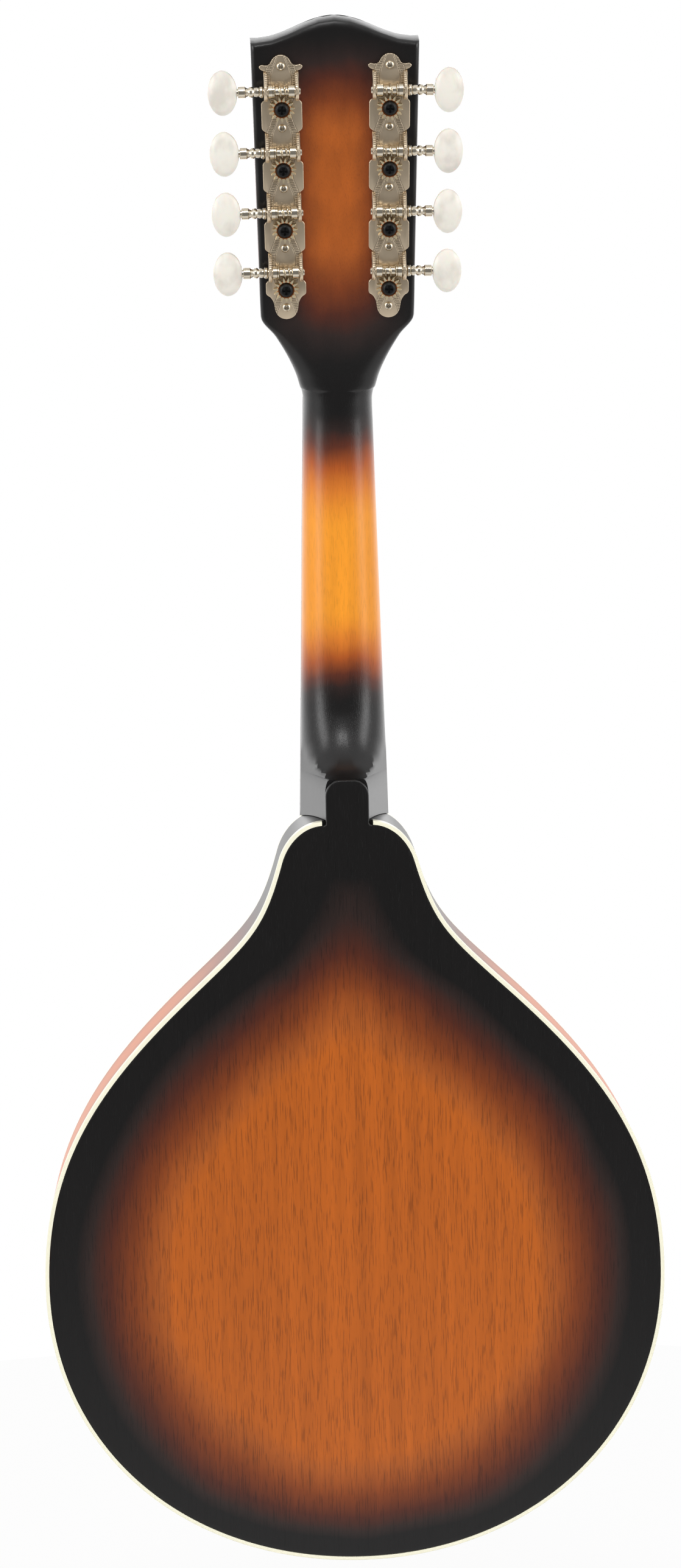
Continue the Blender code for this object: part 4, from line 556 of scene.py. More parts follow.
def burst_spruce():
    """Spruce under satin lacquer, sprayed dark at its edge: straight even growth rings up the plate."""

    def pattern(tree):
        stops = (
            (0.0, "burst_black"),
            (0.25, "burst_umber"),
            (0.45, "burst_red"),
            (0.75, "spruce_orange"),
            (1.0, "spruce_amber"),
        )
        place = object_place(tree, (1 / sizes().grain_pitch, 1.0, 1.0))
        links = {"Vector": place, "Scale": 0.5, "Distortion": 0.6, "Detail": 2.0}
        rings = add(tree, "ShaderNodeTexWave", links, bands_direction="X").outputs["Fac"]
        fleck = noise(tree, (0.0009, 0.0009, 0.02), 3.0)
        light = scaled(tree, fleck, 0.2, scaled(tree, rings, 0.16, 0.74))
        return {"Base Color": shaded(tree, colour_line(tree, edge_shade(tree), stops), light)}

    return finish("satin burst spruce", Roughness=0.34, tree_of=pattern)


def grained(name, paint, grain, detail, darkest, spread, **values):
    """A finish of one colour, with a fine grain that lightens it by up to a spread from its darkest."""

    def pattern(tree):
        light = scaled(tree, noise(tree, grain, detail), spread, darkest)
        return {"Base Color": shaded(tree, hue(paint), light)}

    return finish(name, tree_of=pattern, **values)


def bare_spruce():
    """Sawn spruce inside the body: pale, dull, with fine straight grain."""
    grain = (0.0008, 0.0008, 0.03)
    return grained("bare spruce", "bare_spruce", grain, 4.0, 0.72, 0.5, Roughness=0.75)


def cream_binding():
    """Scraped and buffed binding plastic: cream, even, with a soft shine."""
    grain = (0.004, 0.004, 0.012)
    return grained("buffed cream binding", "cream", grain, 3.0, 0.95, 0.08, Roughness=0.30)


def dark_wood(name, paint, contrast, roughness):
    """Oiled dark wood: fine short pores along the grain."""

    def pattern(tree):
        darkest = 1.0 - contrast / 2
        pores = noise(tree, (0.0004, 0.0004, 0.006), 3.0)
        stripe = scaled(tree, noise(tree, (0.003, 0.003, 0.08), 2.0), contrast, darkest)
        light = product(tree, scaled(tree, pores, contrast, darkest), stripe)
        return {"Base Color": shaded(tree, hue(paint), light), "Normal": bumped(tree, pores, 0.00003)}

    return finish(name, Roughness=roughness, tree_of=pattern)


def black_lacquer(name, roughness, shine=0.5):
    """Black lacquer or plastic: deep, with the faint waviness of a buffed surface."""

    def pattern(tree):
        wave = noise(tree, (0.006, 0.006, 0.006), 2.0)
        light = scaled(tree, wave, 0.4, 0.8)
        return {"Base Color": shaded(tree, hue("black"), light), "Normal": bumped(tree, wave, 0.00001)}

    return finish(name, Roughness=roughness, Specular_IOR_Level=shine, tree_of=pattern)


def polished_bone():
    """Polished bone: off-white, with faint streaks along the piece."""
    grain = (0.006, 0.0007, 0.0007)
    glow = {"Subsurface_Weight": 0.15, "Subsurface_Scale": 0.001}
    return grained("polished bone", "bone", grain, 3.0, 0.9, 0.18, Roughness=0.32, **glow)


def plated_metal(name, paint, roughness):
    """Plated or drawn metal: bright, with handling haze that varies its shine and fine scratches."""

    def pattern(tree):
        haze = noise(tree, (0.004, 0.004, 0.004), 3.0)
        scratches = noise(tree, (0.0006, 0.0006, 0.0006), 2.0)
        return {
            "Base Color": shaded(tree, hue(paint), scaled(tree, haze, 0.12, 0.94)),
            "Roughness": scaled(tree, haze, 0.16, roughness - 0.08),
            "Normal": bumped(tree, scratches, 0.000004),
        }

    return finish(name, Metallic=1.0, tree_of=pattern)


def engraved_nickel():
    """Stamped nickel plate: a wavy ribbon of short cross strokes on each side, inside a plain border, its
    cuts darkened with painted shade.
    """

    def pattern(tree):
        flat = add(tree, "ShaderNodeUVMap", uv_map="plate").outputs[0]
        across, up, _ = axes(tree, flat)
        wave = maths(tree, "COSINE", product(tree, up, 2 * math.pi / POST_PITCH))
        middle = scaled(tree, wave, -RIBBON_SWING, RIBBON_MIDDLE)
        off = maths(tree, "ABSOLUTE", minus(tree, maths(tree, "ABSOLUTE", across), middle))
        ribbon = eased(tree, off, RIBBON_HALF + 0.0001, RIBBON_HALF - 0.0001)
        rim = eased(tree, off, RIBBON_HALF + 0.0005, RIBBON_HALF + 0.0004)
        rim = product(tree, rim, eased(tree, off, RIBBON_HALF + 0.0001, RIBBON_HALF + 0.0002))
        phase = product(tree, up, 2 * math.pi / tuner_sizes().engraving_pitch)
        strokes = product(tree, ribbon, eased(tree, maths(tree, "SINE", phase), -0.2, 0.6))
        groove = maths(tree, "MAXIMUM", strokes, rim)
        ground = noise(tree, (0.0003, 0.0003, 0.0003), 2.0)
        height = scaled(tree, ground, 0.25, product(tree, groove, -1.0))
        haze = noise(tree, (0.005, 0.005, 0.005), 2.0)
        return {
            # The cuts are painted up to 60% darker: painted shade in the engraving
            "Base Color": shaded(tree, hue("plate"), scaled(tree, groove, -0.60, 1.0)),
            "Roughness": scaled(tree, haze, 0.14, 0.30),
            "Normal": bumped(tree, height, 0.00006),
        }

    return finish("engraved nickel", Metallic=1.0, tree_of=pattern)


def wound_bronze():
    """Bronze wire wound on a core: close rings round the string, far enough apart to show, darker between
    the turns as painted shade.
    """

    def pattern(tree):
        phase = product(tree, axes(tree)[2], 2 * math.pi / WIRE_PITCH)
        rings = scaled(tree, maths(tree, "SINE", phase), 0.5, 0.5)
        # Darker where the rings are low: painted shade in the grooves between the turns
        light = scaled(tree, rings, 0.45, 0.6)
        return {"Base Color": shaded(tree, hue("bronze"), light), "Normal": bumped(tree, rings, 0.00005)}

    return finish("wound bronze", Metallic=1.0, Roughness=0.34, tree_of=pattern)


def pearloid():
    """Moulded pearloid: milky, with a slow grey swirl and a soft polished skin."""

    def pattern(tree):
        swirl = noise(tree, (0.009, 0.009, 0.009), 2.0, roughness=0.4)
        fine = noise(tree, (0.0025, 0.0025, 0.0040), 3.0)
        amount = scaled(tree, fine, 0.35, minus(tree, swirl, 0.18))
        paint = mixed(tree, eased(tree, amount, 0.42, 0.78), hue("pearl"), hue("pearl_shadow"))
        return {"Base Color": paint}

    return finish(
        "moulded pearloid",
        Roughness=0.34,
        Coat_Weight=0.10,
        Coat_Roughness=0.15,
        Subsurface_Weight=0.25,
        Subsurface_Scale=0.002,
        tree_of=pattern,
    )


FINISHES = {}


def finish_of(name):
    return FINISHES[name]


def make_finishes():
    """Makes each finish once, under the name that the pieces use for it."""
    FINISHES.update(
        burst_mahogany=burst_mahogany(),
        rib_mahogany=rib_mahogany(),
        neck_mahogany=neck_mahogany(),
        burst_spruce=burst_spruce(),
        inside_spruce=bare_spruce(),
        cream_binding=cream_binding(),
        rosewood=dark_wood("oiled rosewood", "rosewood", 0.6, 0.55),
        ebony=dark_wood("polished ebony", "ebony", 0.3, 0.38),
        black_gloss=black_lacquer("gloss black lacquer", 0.18),
        black_screw=black_lacquer("black oxide screw", 0.42, 0.25),
        bone=polished_bone(),
        nickel=plated_metal("polished nickel", "nickel", 0.20),
        engraved_nickel=engraved_nickel(),
        gear=plated_metal("cut gear alloy", "gear", 0.40),
        # The gears' middles: a darker coppery metal that paints the shade between the teeth
        gear_root=plated_metal("gear root painted shade", "gear_root", 0.44),
        brass=plated_metal("turned brass", "brass", 0.34),
        steel=plated_metal("drawn steel", "steel", 0.30),
        bronze=wound_bronze(),
        pearloid=pearloid(),
    )


# Shapes, each a list of points and a list of faces


def skin(rings, cyclic=False):
    """Faces between rings of points, with flat ends or joined round."""
    count = len(rings[0])
    points = [Vector(p) for ring in rings for p in ring]
    faces = []
    for r in range(len(rings) if cyclic else len(rings) - 1):
        s = (r + 1) % len(rings)
        for i in range(count):
            j = (i + 1) % count
            faces.append((r * count + i, r * count + j, s * count + j, s * count + i))
    if not cyclic:
        faces.append(tuple(range(count)))
        faces.append(tuple((len(rings) - 1) * count + i for i in range(count)))
    return points, faces


def sheet(front, back):
    """A closed body between two grids of points with the same rows and columns."""
    rings = []
    for front_row, back_row in zip(front, back):
        rings.append(list(front_row) + list(reversed(back_row)))
    return skin(rings)


def round_angles(steps):
    """The angles of a whole turn in even steps."""
    return [2 * math.pi * i / steps for i in range(steps)]


def arc(centre, radius, start, end, steps, squash=1.0):
    """Points of (x, y) on part of a circle, from one angle to another in degrees, both included."""
    points = []
    for step in range(steps + 1):
        angle = math.radians(start + (end - start) * step / steps)
        across = radius * math.cos(angle)
        points.append((centre[0] + across, centre[1] + radius * squash * math.sin(angle)))
    return points


def mirrored(half):
    """A closed outline from its +X half, whose last point is on the centre line."""
    return half + [(-x, z) for x, z in reversed(half[:-1])]


def turned(profile, segments, cyclic=False):
    """A body turned about z from (radius, height) pairs."""
    angles = round_angles(segments)
    rings = []
    for radius, height in profile:
        rings.append([(radius * math.cos(angle), radius * math.sin(angle), height) for angle in angles])
    return skin(rings, cyclic=cyclic)


def moved(matrix, shape):
    """A shape put in its place."""
    points, faces = shape
    return [matrix @ Vector(p) for p in points], faces


def together(*shapes):
    """One shape from several."""
    points = []
    faces = []
    for more_points, more_faces in shapes:
        start = len(points)
        points += more_points
        faces += [tuple(start + i for i in face) for face in more_faces]
    return points, faces


def meshed(name, shape, sharp=SHARP_ANGLE):
    """A mesh with its doubles merged, its faces outward and its curves shaded smooth."""
    points, faces = shape
    mesh = bpy.data.meshes.new(name)
    bm = bmesh.new()
    made = [bm.verts.new(p) for p in points]
    for face in faces:
        bm.faces.new([made[i] for i in face])
    bmesh.ops.remove_doubles(bm, verts=bm.verts, dist=1e-7)
    bmesh.ops.dissolve_degenerate(bm, edges=bm.edges, dist=1e-8)
    bmesh.ops.recalc_face_normals(bm, faces=bm.faces)
    bm.to_mesh(mesh)
    bm.free()
    mesh.shade_smooth()
    mesh.set_sharp_from_angle(angle=math.radians(sharp))
    return mesh


def outward(points):
    """Unit normals of a closed outline of (x, y), which runs clockwise or not."""
    area = sum(a[0] * b[1] - b[0] * a[1] for a, b in zip(points, points[1:] + points[:1]))
    sign = 1 if area > 0 else -1
    normals = []
    for i, _ in enumerate(points):
        before = Vector(points[i - 1])
        after = Vector(points[(i + 1) % len(points)])
        run = (after - before).normalized()
        normals.append(Vector((run.y, -run.x)) * sign)
    return normals


def slab(outline, low, high, round_low=0.0, round_high=0.0, steps=3):
    """A flat piece from its outline in x and y between two heights, with rounded rims."""
    normals = outward(outline)

    def ring(inset, height):
        return [(x - n.x * inset, y - n.y * inset, height) for (x, y), n in zip(outline, normals)]

    rings = []
    for step in range(steps + 1):
        angle = math.pi / 2 * step / steps
        rings.append(ring(round_low * (1 - math.sin(angle)), low + round_low * (1 - math.cos(angle))))
    for step in range(steps + 1):
        angle = math.pi / 2 * step / steps
        rings.append(ring(round_high * (1 - math.cos(angle)), high - round_high * (1 - math.sin(angle))))
    return skin(rings)


def tube(points, radius, sides=10):
    """A round tube along its points, which keeps its sides from twisting."""
    rings = []
    side = None
    for i, point in enumerate(points):
        before = points[max(i - 1, 0)]
        after = points[min(i + 1, len(points) - 1)]
        run = (Vector(after) - Vector(before)).normalized()
        if side is None:
            side = run.orthogonal().normalized()
        side = (side - run * side.dot(run)).normalized()
        other = run.cross(side)
        ring = []
        for angle in round_angles(sides):
            ring.append(Vector(point) + (side * math.cos(angle) + other * math.sin(angle)) * radius)
        rings.append(ring)
    return skin(rings)


def glide(knots, place):
    """A smooth value through (place, value) knots in rising order, which never overshoots them."""
    if place <= knots[0][0]:
        return knots[0][1]
    if place >= knots[-1][0]:
        return knots[-1][1]
    slopes = [(b[1] - a[1]) / (b[0] - a[0]) for a, b in zip(knots, knots[1:])]

    def lean(i):
        if i == 0 or i == len(knots) - 1:
            return slopes[0] if i == 0 else slopes[-1]
        before, after = slopes[i - 1], slopes[i]
        return 0.0 if before * after <= 0 else 2 * before * after / (before + after)

    i = max(k for k in range(len(slopes)) if knots[k][0] <= place)
    (x1, y1), (x2, y2) = knots[i], knots[i + 1]
    wide = x2 - x1
    t = (place - x1) / wide
    start = (1 + 2 * t) * (1 - t) ** 2 * y1 + t * (1 - t) ** 2 * wide * lean(i)
    return start + t * t * (3 - 2 * t) * y2 + t * t * (t - 1) * wide * lean(i + 1)


def linked(name, data):
    """An object with its data, linked to the scene."""
    thing = bpy.data.objects.new(name, data)
    bpy.context.scene.collection.objects.link(thing)
    return thing


def carved(mesh, cutter):
    """A mesh with a shape cut out of it."""
    piece = linked("carved", mesh)
    tool = linked("cutter", meshed("cutter", cutter))
    modifier = piece.modifiers.new("Cut", "BOOLEAN")
    modifier.operation = "DIFFERENCE"
    modifier.solver = "EXACT"
    modifier.object = tool
    graph = bpy.context.evaluated_depsgraph_get()
    result = bpy.data.meshes.new_from_object(piece.evaluated_get(graph))
    for thing in (piece, tool):
        bpy.data.objects.remove(thing, do_unlink=True)
    result.set_sharp_from_angle(angle=math.radians(SHARP_ANGLE))
    return result


def dress(name, mesh, finish_name, body="instrument", slot=None, replaces=()):
    """Puts a finished piece in the scene, on its body, in place of the solids that it stands for."""
    mesh.materials.clear()
    mesh.materials.append(finish_of(finish_name))
    piece = linked(name, mesh)
    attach(piece, body)
    slot or finish_name
    if replaces:
        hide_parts(*replaces)


# Geometry node trees for what repeats


def new_tree(name, inputs):
    """An empty tree with a geometry in and out and its named inputs."""
    tree = bpy.data.node_groups.new(name, "GeometryNodeTree")
    tree.interface.new_socket("Geometry", in_out="INPUT", socket_type="NodeSocketGeometry")
    for label, (kind, value) in inputs.items():
        socket = tree.interface.new_socket(label, in_out="INPUT", socket_type=kind)
        socket.default_value = value
    tree.interface.new_socket("Material", in_out="INPUT", socket_type="NodeSocketMaterial")
    tree.interface.new_socket("Geometry", in_out="OUTPUT", socket_type="NodeSocketGeometry")
    return tree, add(tree, "NodeGroupInput").outputs


def end_tree(tree, ports, instances):
    """Makes the instances real, gives them their material and hands them out."""
    real = add(tree, "GeometryNodeRealizeInstances", {0: instances}).outputs[0]
    links = {"Geometry": real, "Material": ports["Material"]}
    painted = add(tree, "GeometryNodeSetMaterial", links).outputs[0]
    add(tree, "NodeGroupOutput", {0: painted})
    return tree


def row_tree():
    """Copies of a piece in a straight row."""
    inputs = {
        "Count": ("NodeSocketInt", 4),
        "Start": ("NodeSocketVector", (0.0, 0.0, 0.0)),
        "Step": ("NodeSocketVector", (0.0, 0.0, 0.01)),
    }
    tree, ports = new_tree("Row of copies", inputs)
    links = {"Count": ports["Count"], "Start Location": ports["Start"], "Offset": ports["Step"]}
    line = add(tree, "GeometryNodeMeshLine", links, mode="OFFSET").outputs[0]
    copies = add(tree, "GeometryNodeInstanceOnPoints", {"Points": line, "Instance": ports["Geometry"]})
    return end_tree(tree, ports, copies.outputs[0])


def ring_tree():
    """Copies of a piece round z, each turned to face outward."""
    inputs = {"Count": ("NodeSocketInt", 15), "Turn": ("NodeSocketFloat", 0.0)}
    tree, ports = new_tree("Ring of copies", inputs)
    line = add(tree, "GeometryNodeMeshLine", {"Count": ports["Count"], "Offset": (0, 0, 0)}, mode="OFFSET")
    index = add(tree, "GeometryNodeInputIndex").outputs[0]
    share = maths(tree, "DIVIDE", index, ports["Count"])
    angle = scaled(tree, share, 2 * math.pi, ports["Turn"])
    rotation = add(tree, "ShaderNodeCombineXYZ", {2: angle}).outputs[0]
    links = {"Points": line.outputs[0], "Instance": ports["Geometry"], "Rotation": rotation}
    copies = add(tree, "GeometryNodeInstanceOnPoints", links)
    return end_tree(tree, ports, copies.outputs[0])


def fret_tree():
    """Copies of a fret of unit width down a fingerboard, by the rule of the twelfth root of two."""
    inputs = {
        "Count": ("NodeSocketInt", FRET_COUNT),
        "Scale length": ("NodeSocketFloat", SCALE_LENGTH),
        "Nut width": ("NodeSocketFloat", NUT_WIDTH),
        "Width per metre": ("NodeSocketFloat", WIDTH_PER_METRE),
    }
    tree, ports = new_tree("Frets", inputs)
    line = add(tree, "GeometryNodeMeshLine", {"Count": ports["Count"], "Offset": (0, 0, 0)}, mode="OFFSET")
    index = add(tree, "GeometryNodeInputIndex").outputs[0]
    power = scaled(tree, index, -1 / 12, -1 / 12)
    left = maths(tree, "POWER", 2.0, power)
    distance = product(tree, ports["Scale length"], minus(tree, 1.0, left))
    down = add(tree, "ShaderNodeCombineXYZ", {2: product(tree, distance, -1.0)}).outputs[0]
    placed = add(tree, "GeometryNodeSetPosition", {"Geometry": line.outputs[0], "Offset": down}).outputs[0]
    width = scaled(tree, distance, ports["Width per metre"], ports["Nut width"])
    scale = add(tree, "ShaderNodeCombineXYZ", {0: width, 1: 1.0, 2: 1.0}).outputs[0]
    links = {"Points": placed, "Instance": ports["Geometry"], "Scale": scale}
    copies = add(tree, "GeometryNodeInstanceOnPoints", links)
    return end_tree(tree, ports, copies.outputs[0])


def grown(tree, mesh, finish_name, **values):
    """The plain mesh that a tree makes of a mesh, with its inputs set by their labels."""
    thing = linked("grown", mesh)
    modifier = thing.modifiers.new(tree.name, "NODES")
    modifier.node_group = tree
    values = {key.replace("_", " "): value for key, value in values.items()}
    values["Material"] = finish_of(finish_name)
    for item in tree.interface.items_tree:
        if item.item_type == "SOCKET" and item.in_out == "INPUT" and item.name in values:
            modifier[item.identifier] = values[item.name]
    graph = bpy.context.evaluated_depsgraph_get()
    result = bpy.data.meshes.new_from_object(thing.evaluated_get(graph))
    thing.modifiers.remove(modifier)
    bpy.data.objects.remove(thing, do_unlink=True)
    return result


def joined(name, *meshes):
    """One mesh from several."""
    bm = bmesh.new()
    for mesh in meshes:
        bm.from_mesh(mesh)
    result = bpy.data.meshes.new(name)
    bm.to_mesh(result)
    bm.free()
    result.shade_smooth()
    result.set_sharp_from_angle(angle=math.radians(SHARP_ANGLE))
    return result


# The body's outline and arch


def heading(angle):
    """A unit vector in the outline's plane: 0 points out to the side, 90 points down."""
    return Vector((math.cos(math.radians(angle)), math.sin(math.radians(angle)), 0))


def half_outline():
    """The outer edge on the +X side as (half width, distance below the joint), with outward normals."""
    widest = BODY_WIDTH / 2
    lower = BODY_LENGTH - WIDEST_BELOW
    # Each knot has its place, its heading and the reach of its handles behind and ahead of it
    knots = (
        (Vector((0.0110, 0, 0)), heading(4), 0, 0.0090),
        (Vector((0.0290, 0.0165, 0)), heading(74), 0.0085, 0.0280),
        (Vector((0.0669, 0.0710, 0)), heading(43.1), 0.0345, 0.0529),
        (Vector((widest, WIDEST_BELOW, 0)), heading(90), 0.0540, 0.556 * widest),
        (Vector((0, BODY_LENGTH, 0)), heading(180), 0.60 * lower, 0),
    )
    points = [Vector((BUTTON_HALF + JOIN, 0, 0))]
    for here, there, count in zip(knots, knots[1:], (16, 34, 40, 70)):
        start, leave, _, ahead = here
        end, arrive, behind, _ = there
        curve = interpolate_bezier(start, start + leave * ahead, end - arrive * behind, end, count)
        points += curve[:-1]
    points.append(Vector((0, BODY_LENGTH, 0)))
    tangents = [points[1] - points[0]]
    tangents += [points[i + 1] - points[i - 1] for i in range(1, len(points) - 1)]
    tangents.append(Vector((-1, 0, 0)))
    normals = [Vector((t.y, -t.x, 0)).normalized() for t in tangents]
    return points, normals


OUTLINE, NORMALS = half_outline()
LAST = len(OUTLINE) - 1


def edge_point(station, inset):
    """(x, z) on the +X side of the body at a station, moved in from the outer edge."""
    point = OUTLINE[station] - NORMALS[station] * inset
    return point.x, JOINT_Z - point.y


def ring_at(inset):
    """The whole closed outline, moved in by inset, from the joint round the +X side and back."""
    return mirrored([edge_point(i, inset) for i in range(LAST + 1)])


ARCH_RING = ring_at(PLATE_INSET)
ARCH_KNOTS = ((0.0, 1.0), (0.34, 0.96), (0.60, 0.70), (0.80, 0.26), (0.93, 0.02), (1.0, 0.0))


def arch_level(fraction):
    """The y of the top's outer face where a ring of it is scaled to this fraction."""
    return EDGE_FRONT_Y - ARCH_HEIGHT * glide(ARCH_KNOTS, fraction)


def arch_y(x, z):
    """The y of the top's outer face at a place on it."""
    here = Vector((x, z - CENTRE_Z))
    if here.length < 1e-6:
        return arch_level(0.0)
    for (x1, z1), (x2, z2) in zip(ARCH_RING, ARCH_RING[1:] + ARCH_RING[:1]):
        a = Vector((x1, z1 - CENTRE_Z))
        b = Vector((x2, z2 - CENTRE_Z))
        cross = a.x * b.y - a.y * b.x
        s = (here.x * b.y - here.y * b.x) / cross if cross else -1
        t = (a.x * here.y - a.y * here.x) / cross if cross else -1
        if s >= -1e-9 and t >= -1e-9 and s + t > 0:
            return arch_level(min(s + t, 1.0))
    return arch_level(1.0)


def point_tree(points):
    """A tree that finds the nearest of some points."""
    tree = KDTree(len(points))
    for number, point in enumerate(points):
        tree.insert(point, number)
    tree.balance()
    return tree


def store_edge_distance(mesh):
    """Keeps each point's distance to the body's edge, blended softly where both sides are as near."""
    places = [edge_point(station, 0.0) for station in range(LAST + 1)]
    own_side = point_tree([(x, 0, z) for x, z in places])
    other_side = point_tree([(-x, 0, z) for x, z in places if z > CENTRE_Z])
    values = []
    for vertex in mesh.vertices:
        spot = (abs(vertex.co.x), 0, vertex.co.z)
        near = max(own_side.find(spot)[2], 0.00001)
        far = other_side.find(spot)[2]
        values.append((near**-SPRAY_ROUND + far**-SPRAY_ROUND) ** (-1 / SPRAY_ROUND))
    attribute = mesh.attributes.new("edge_distance", "FLOAT", "POINT")
    attribute.data.foreach_set("value", values)


# The body's pieces

# How far a face's rings are scaled in, from its edge to its middle
FACE_SCALES = (0.985, 0.965, 0.94, 0.91, 0.88, 0.85, 0.81, 0.77, 0.73)
FACE_SCALES += (0.69, 0.64, 0.58, 0.52, 0.44, 0.35, 0.24, 0.12, 0.02)


def scaled_ring(ring, scale):
    return [(x * scale, CENTRE_Z + (z - CENTRE_Z) * scale) for x, z in ring]


def button_half():
    """The +X half of the heel button, from its tip down to the small fillet at its root."""
    tip = JOINT_Z + HEEL_LENGTH
    corner = (BUTTON_HALF - BUTTON_CORNER, tip - BUTTON_CORNER)
    points = [(0.0, tip), (0.0018, tip)] + arc(corner, BUTTON_CORNER, 90, 0, 10)
    root = edge_point(0, PLATE_INSET)[1] + BUTTON_FILLET
    straight = points[-1][1] - root
    points += [(BUTTON_HALF, root + straight * share) for share in (0.6, 0.3, 0.0)]
    return points + arc((BUTTON_HALF + BUTTON_FILLET, root), BUTTON_FILLET, 195, 270, 5)


def build_back_plate():
    """The flat back in one piece with the heel button, whose edge is rounder than the seam's."""
    half = button_half()
    on_button = len(half)
    half = half + [edge_point(i, PLATE_INSET) for i in range(1, LAST + 1)]
    outline = half + [(-x, z) for x, z in reversed(half[1:-1])]
    count = len(outline)
    most = sizes().plate_edge
    least = 0.00012
    rims = []
    for i in range(count):
        order = min(i, count - i)
        rims.append(most if order < on_button - 3 else max(least, most * (on_button - order) / 4))
    normals = outward(outline)

    def rim_ring(turn):
        ring = []
        for (x, z), n, r in zip(outline, normals, rims):
            move = r * (1 - math.cos(turn))
            ring.append((x - n.x * move, BACK_Y - r * (1 - math.sin(turn)), z - n.y * move))
        return ring

    inner_y = BACK_Y - BACK_THICKNESS
    rings = [[(x, inner_y, z) for x, z in scaled_ring(outline, s)] for s in (0.02, 0.5, 1.0)]
    rings += [rim_ring(math.pi / 2 * step / 5) for step in range(6)]
    face = [(x, z) for x, _, z in rings[-1]]
    rings += [[(x, BACK_Y, z) for x, z in scaled_ring(face, s)] for s in FACE_SCALES]
    mesh = meshed("back_plate_face", skin(rings))
    store_edge_distance(mesh)
    dress("back_plate_face", mesh, "burst_mahogany", replaces=["back_plate"])


def lining_width(station):
    """Beside an end block only a lip of the lining is left."""
    clear = 0.008
    x, z = edge_point(station, 0)
    beside_neck = z > JOINT_Z - BLOCK_DEPTH - clear
    beside_tail = z < CENTRE_Z and x < TAIL_BLOCK_HALF + clear
    return LINING_LIP if beside_neck or beside_tail else LINING_WIDTH


def build_ribs():
    """Each rib is one bent side with its linings glued inside it."""
    front = EDGE_FRONT_Y + BINDING_DEPTH + JOIN / 4
    rear = BACK_Y - BINDING_DEPTH - JOIN / 4
    lining_front = EDGE_FRONT_Y + TOP_THICKNESS + JOIN
    lining_rear = BACK_Y - BACK_THICKNESS - JOIN
    for side, name in SIDES:
        rings = []
        for station in range(LAST + 1):
            wide = PLATE_INSET + lining_width(station)
            profile = (
                (0, front),
                (0, rear),
                (PLATE_INSET, rear),
                (PLATE_INSET, lining_rear),
                (wide, lining_rear),
                (RIB_THICKNESS, lining_rear - LINING_DEPTH),
                (RIB_THICKNESS, lining_front + LINING_DEPTH),
                (wide, lining_front),
                (PLATE_INSET, lining_front),
                (PLATE_INSET, front),
            )
            places = [(edge_point(station, inset), y) for inset, y in profile]
            rings.append([(side * x, y, z) for (x, z), y in places])
        rings[-1] = [(x + side * JOIN / 4, y, z) for x, y, z in rings[-1]]
        dress(f"rib_{name}_bent", meshed(f"rib_{name}", skin(rings)), "rib_mahogany",
              slot="burst_mahogany", replaces=[f"rib_{name}"])


def build_bindings():
    """Cream strips let into both edges, their outer corner scraped round."""
    soft = sizes().binding_edge
    start = BUTTON_HALF + BUTTON_FILLET + JOIN
    back = (BACK_Y - BINDING_DEPTH, BACK_Y, 1)
    top = (EDGE_FRONT_Y + BINDING_DEPTH, EDGE_FRONT_Y, -1)
    for name, (inner_y, outer_y, out) in (("back", back), ("top", top)):
        corner = []
        for step in range(5):
            angle = math.pi / 2 * step / 4
            corner.append((soft * (1 - math.cos(angle)), outer_y - out * soft * (1 - math.sin(angle))))
        profile = [(0, inner_y)] + corner + [(BINDING_WIDTH, outer_y), (BINDING_WIDTH, inner_y)]
        right = []
        for station in range(LAST + 1):
            places = [(edge_point(station, inset), y) for inset, y in profile]
            right.append([(max(x, start) if z > CENTRE_Z else x, y, z) for (x, z), y in places])
        left = [[(-x, y, z) for x, y, z in ring] for ring in reversed(right[:-1])]
        mesh = meshed(f"binding_{name}", skin(right + left))
        dress(f"binding_{name}_strip", mesh, "cream_binding", replaces=[f"binding_{name}"])


def f_hole_outline(side):
    """An f-hole as one S-shaped slot from lobe to lobe, with a small nick at its middle."""
    rights = []
    lefts = []
    steps = 32
    for i in range(steps + 1):
        t = i / steps * 2 - 1
        sweep = F_HOLE_SWEEP * math.sin(t * math.pi / 2) * abs(t) ** 0.5
        x = side * (F_HOLE_PLACE - sweep + F_HOLE_LEAN * t)
        z = -SCALE_LENGTH + t * sizes().f_hole_length / 2
        half = sizes().f_hole_width * (1 - 0.62 * abs(t) ** 1.5) / 2
        nick = F_HOLE_NICK if i == steps // 2 else 0.0
        rights.append((x + half + nick, z))
        lefts.append((x - half - nick, z))
    return rights + list(reversed(lefts)), ((rights[0], lefts[0], 1), (rights[-1], lefts[-1], -1))


def build_top_plate():
    """The arched top with its two f-holes."""
    scales = (1.0, 0.99, 0.97) + FACE_SCALES[2:]
    outer = []
    inner = []
    for scale in scales:
        y = arch_level(scale)
        flat = scaled_ring(ARCH_RING, scale)
        outer.append([(x, y, z) for x, z in flat])
        inner.append([(x, y + TOP_THICKNESS, z) for x, z in flat])
    mesh = meshed("top_plate", skin(list(reversed(inner)) + outer))
    cutters = []
    for side, _ in SIDES:
        outline, ends = f_hole_outline(side)
        cutters.append(moved(UPRIGHT, slab(outline, -0.02, 0.05)))
        for right, left, out in ends:
            radius = sizes().f_lobe_radius
            x = (right[0] + left[0]) / 2 + side * out * radius * 0.8
            lobe = turned([(radius, 0.05), (radius, -0.02)], 28)
            cutters.append(moved(Matrix.Translation((x, 0, right[1])) @ UPRIGHT, lobe))
    for cutter in cutters:
        mesh = carved(mesh, cutter)
    store_edge_distance(mesh)
    dress("top_plate_arch", mesh, "burst_spruce", replaces=["top_plate"])


# The neck and the headstock


def neck_half_width(z):
    return (NUT_WIDTH - WIDTH_PER_METRE * z) / 2


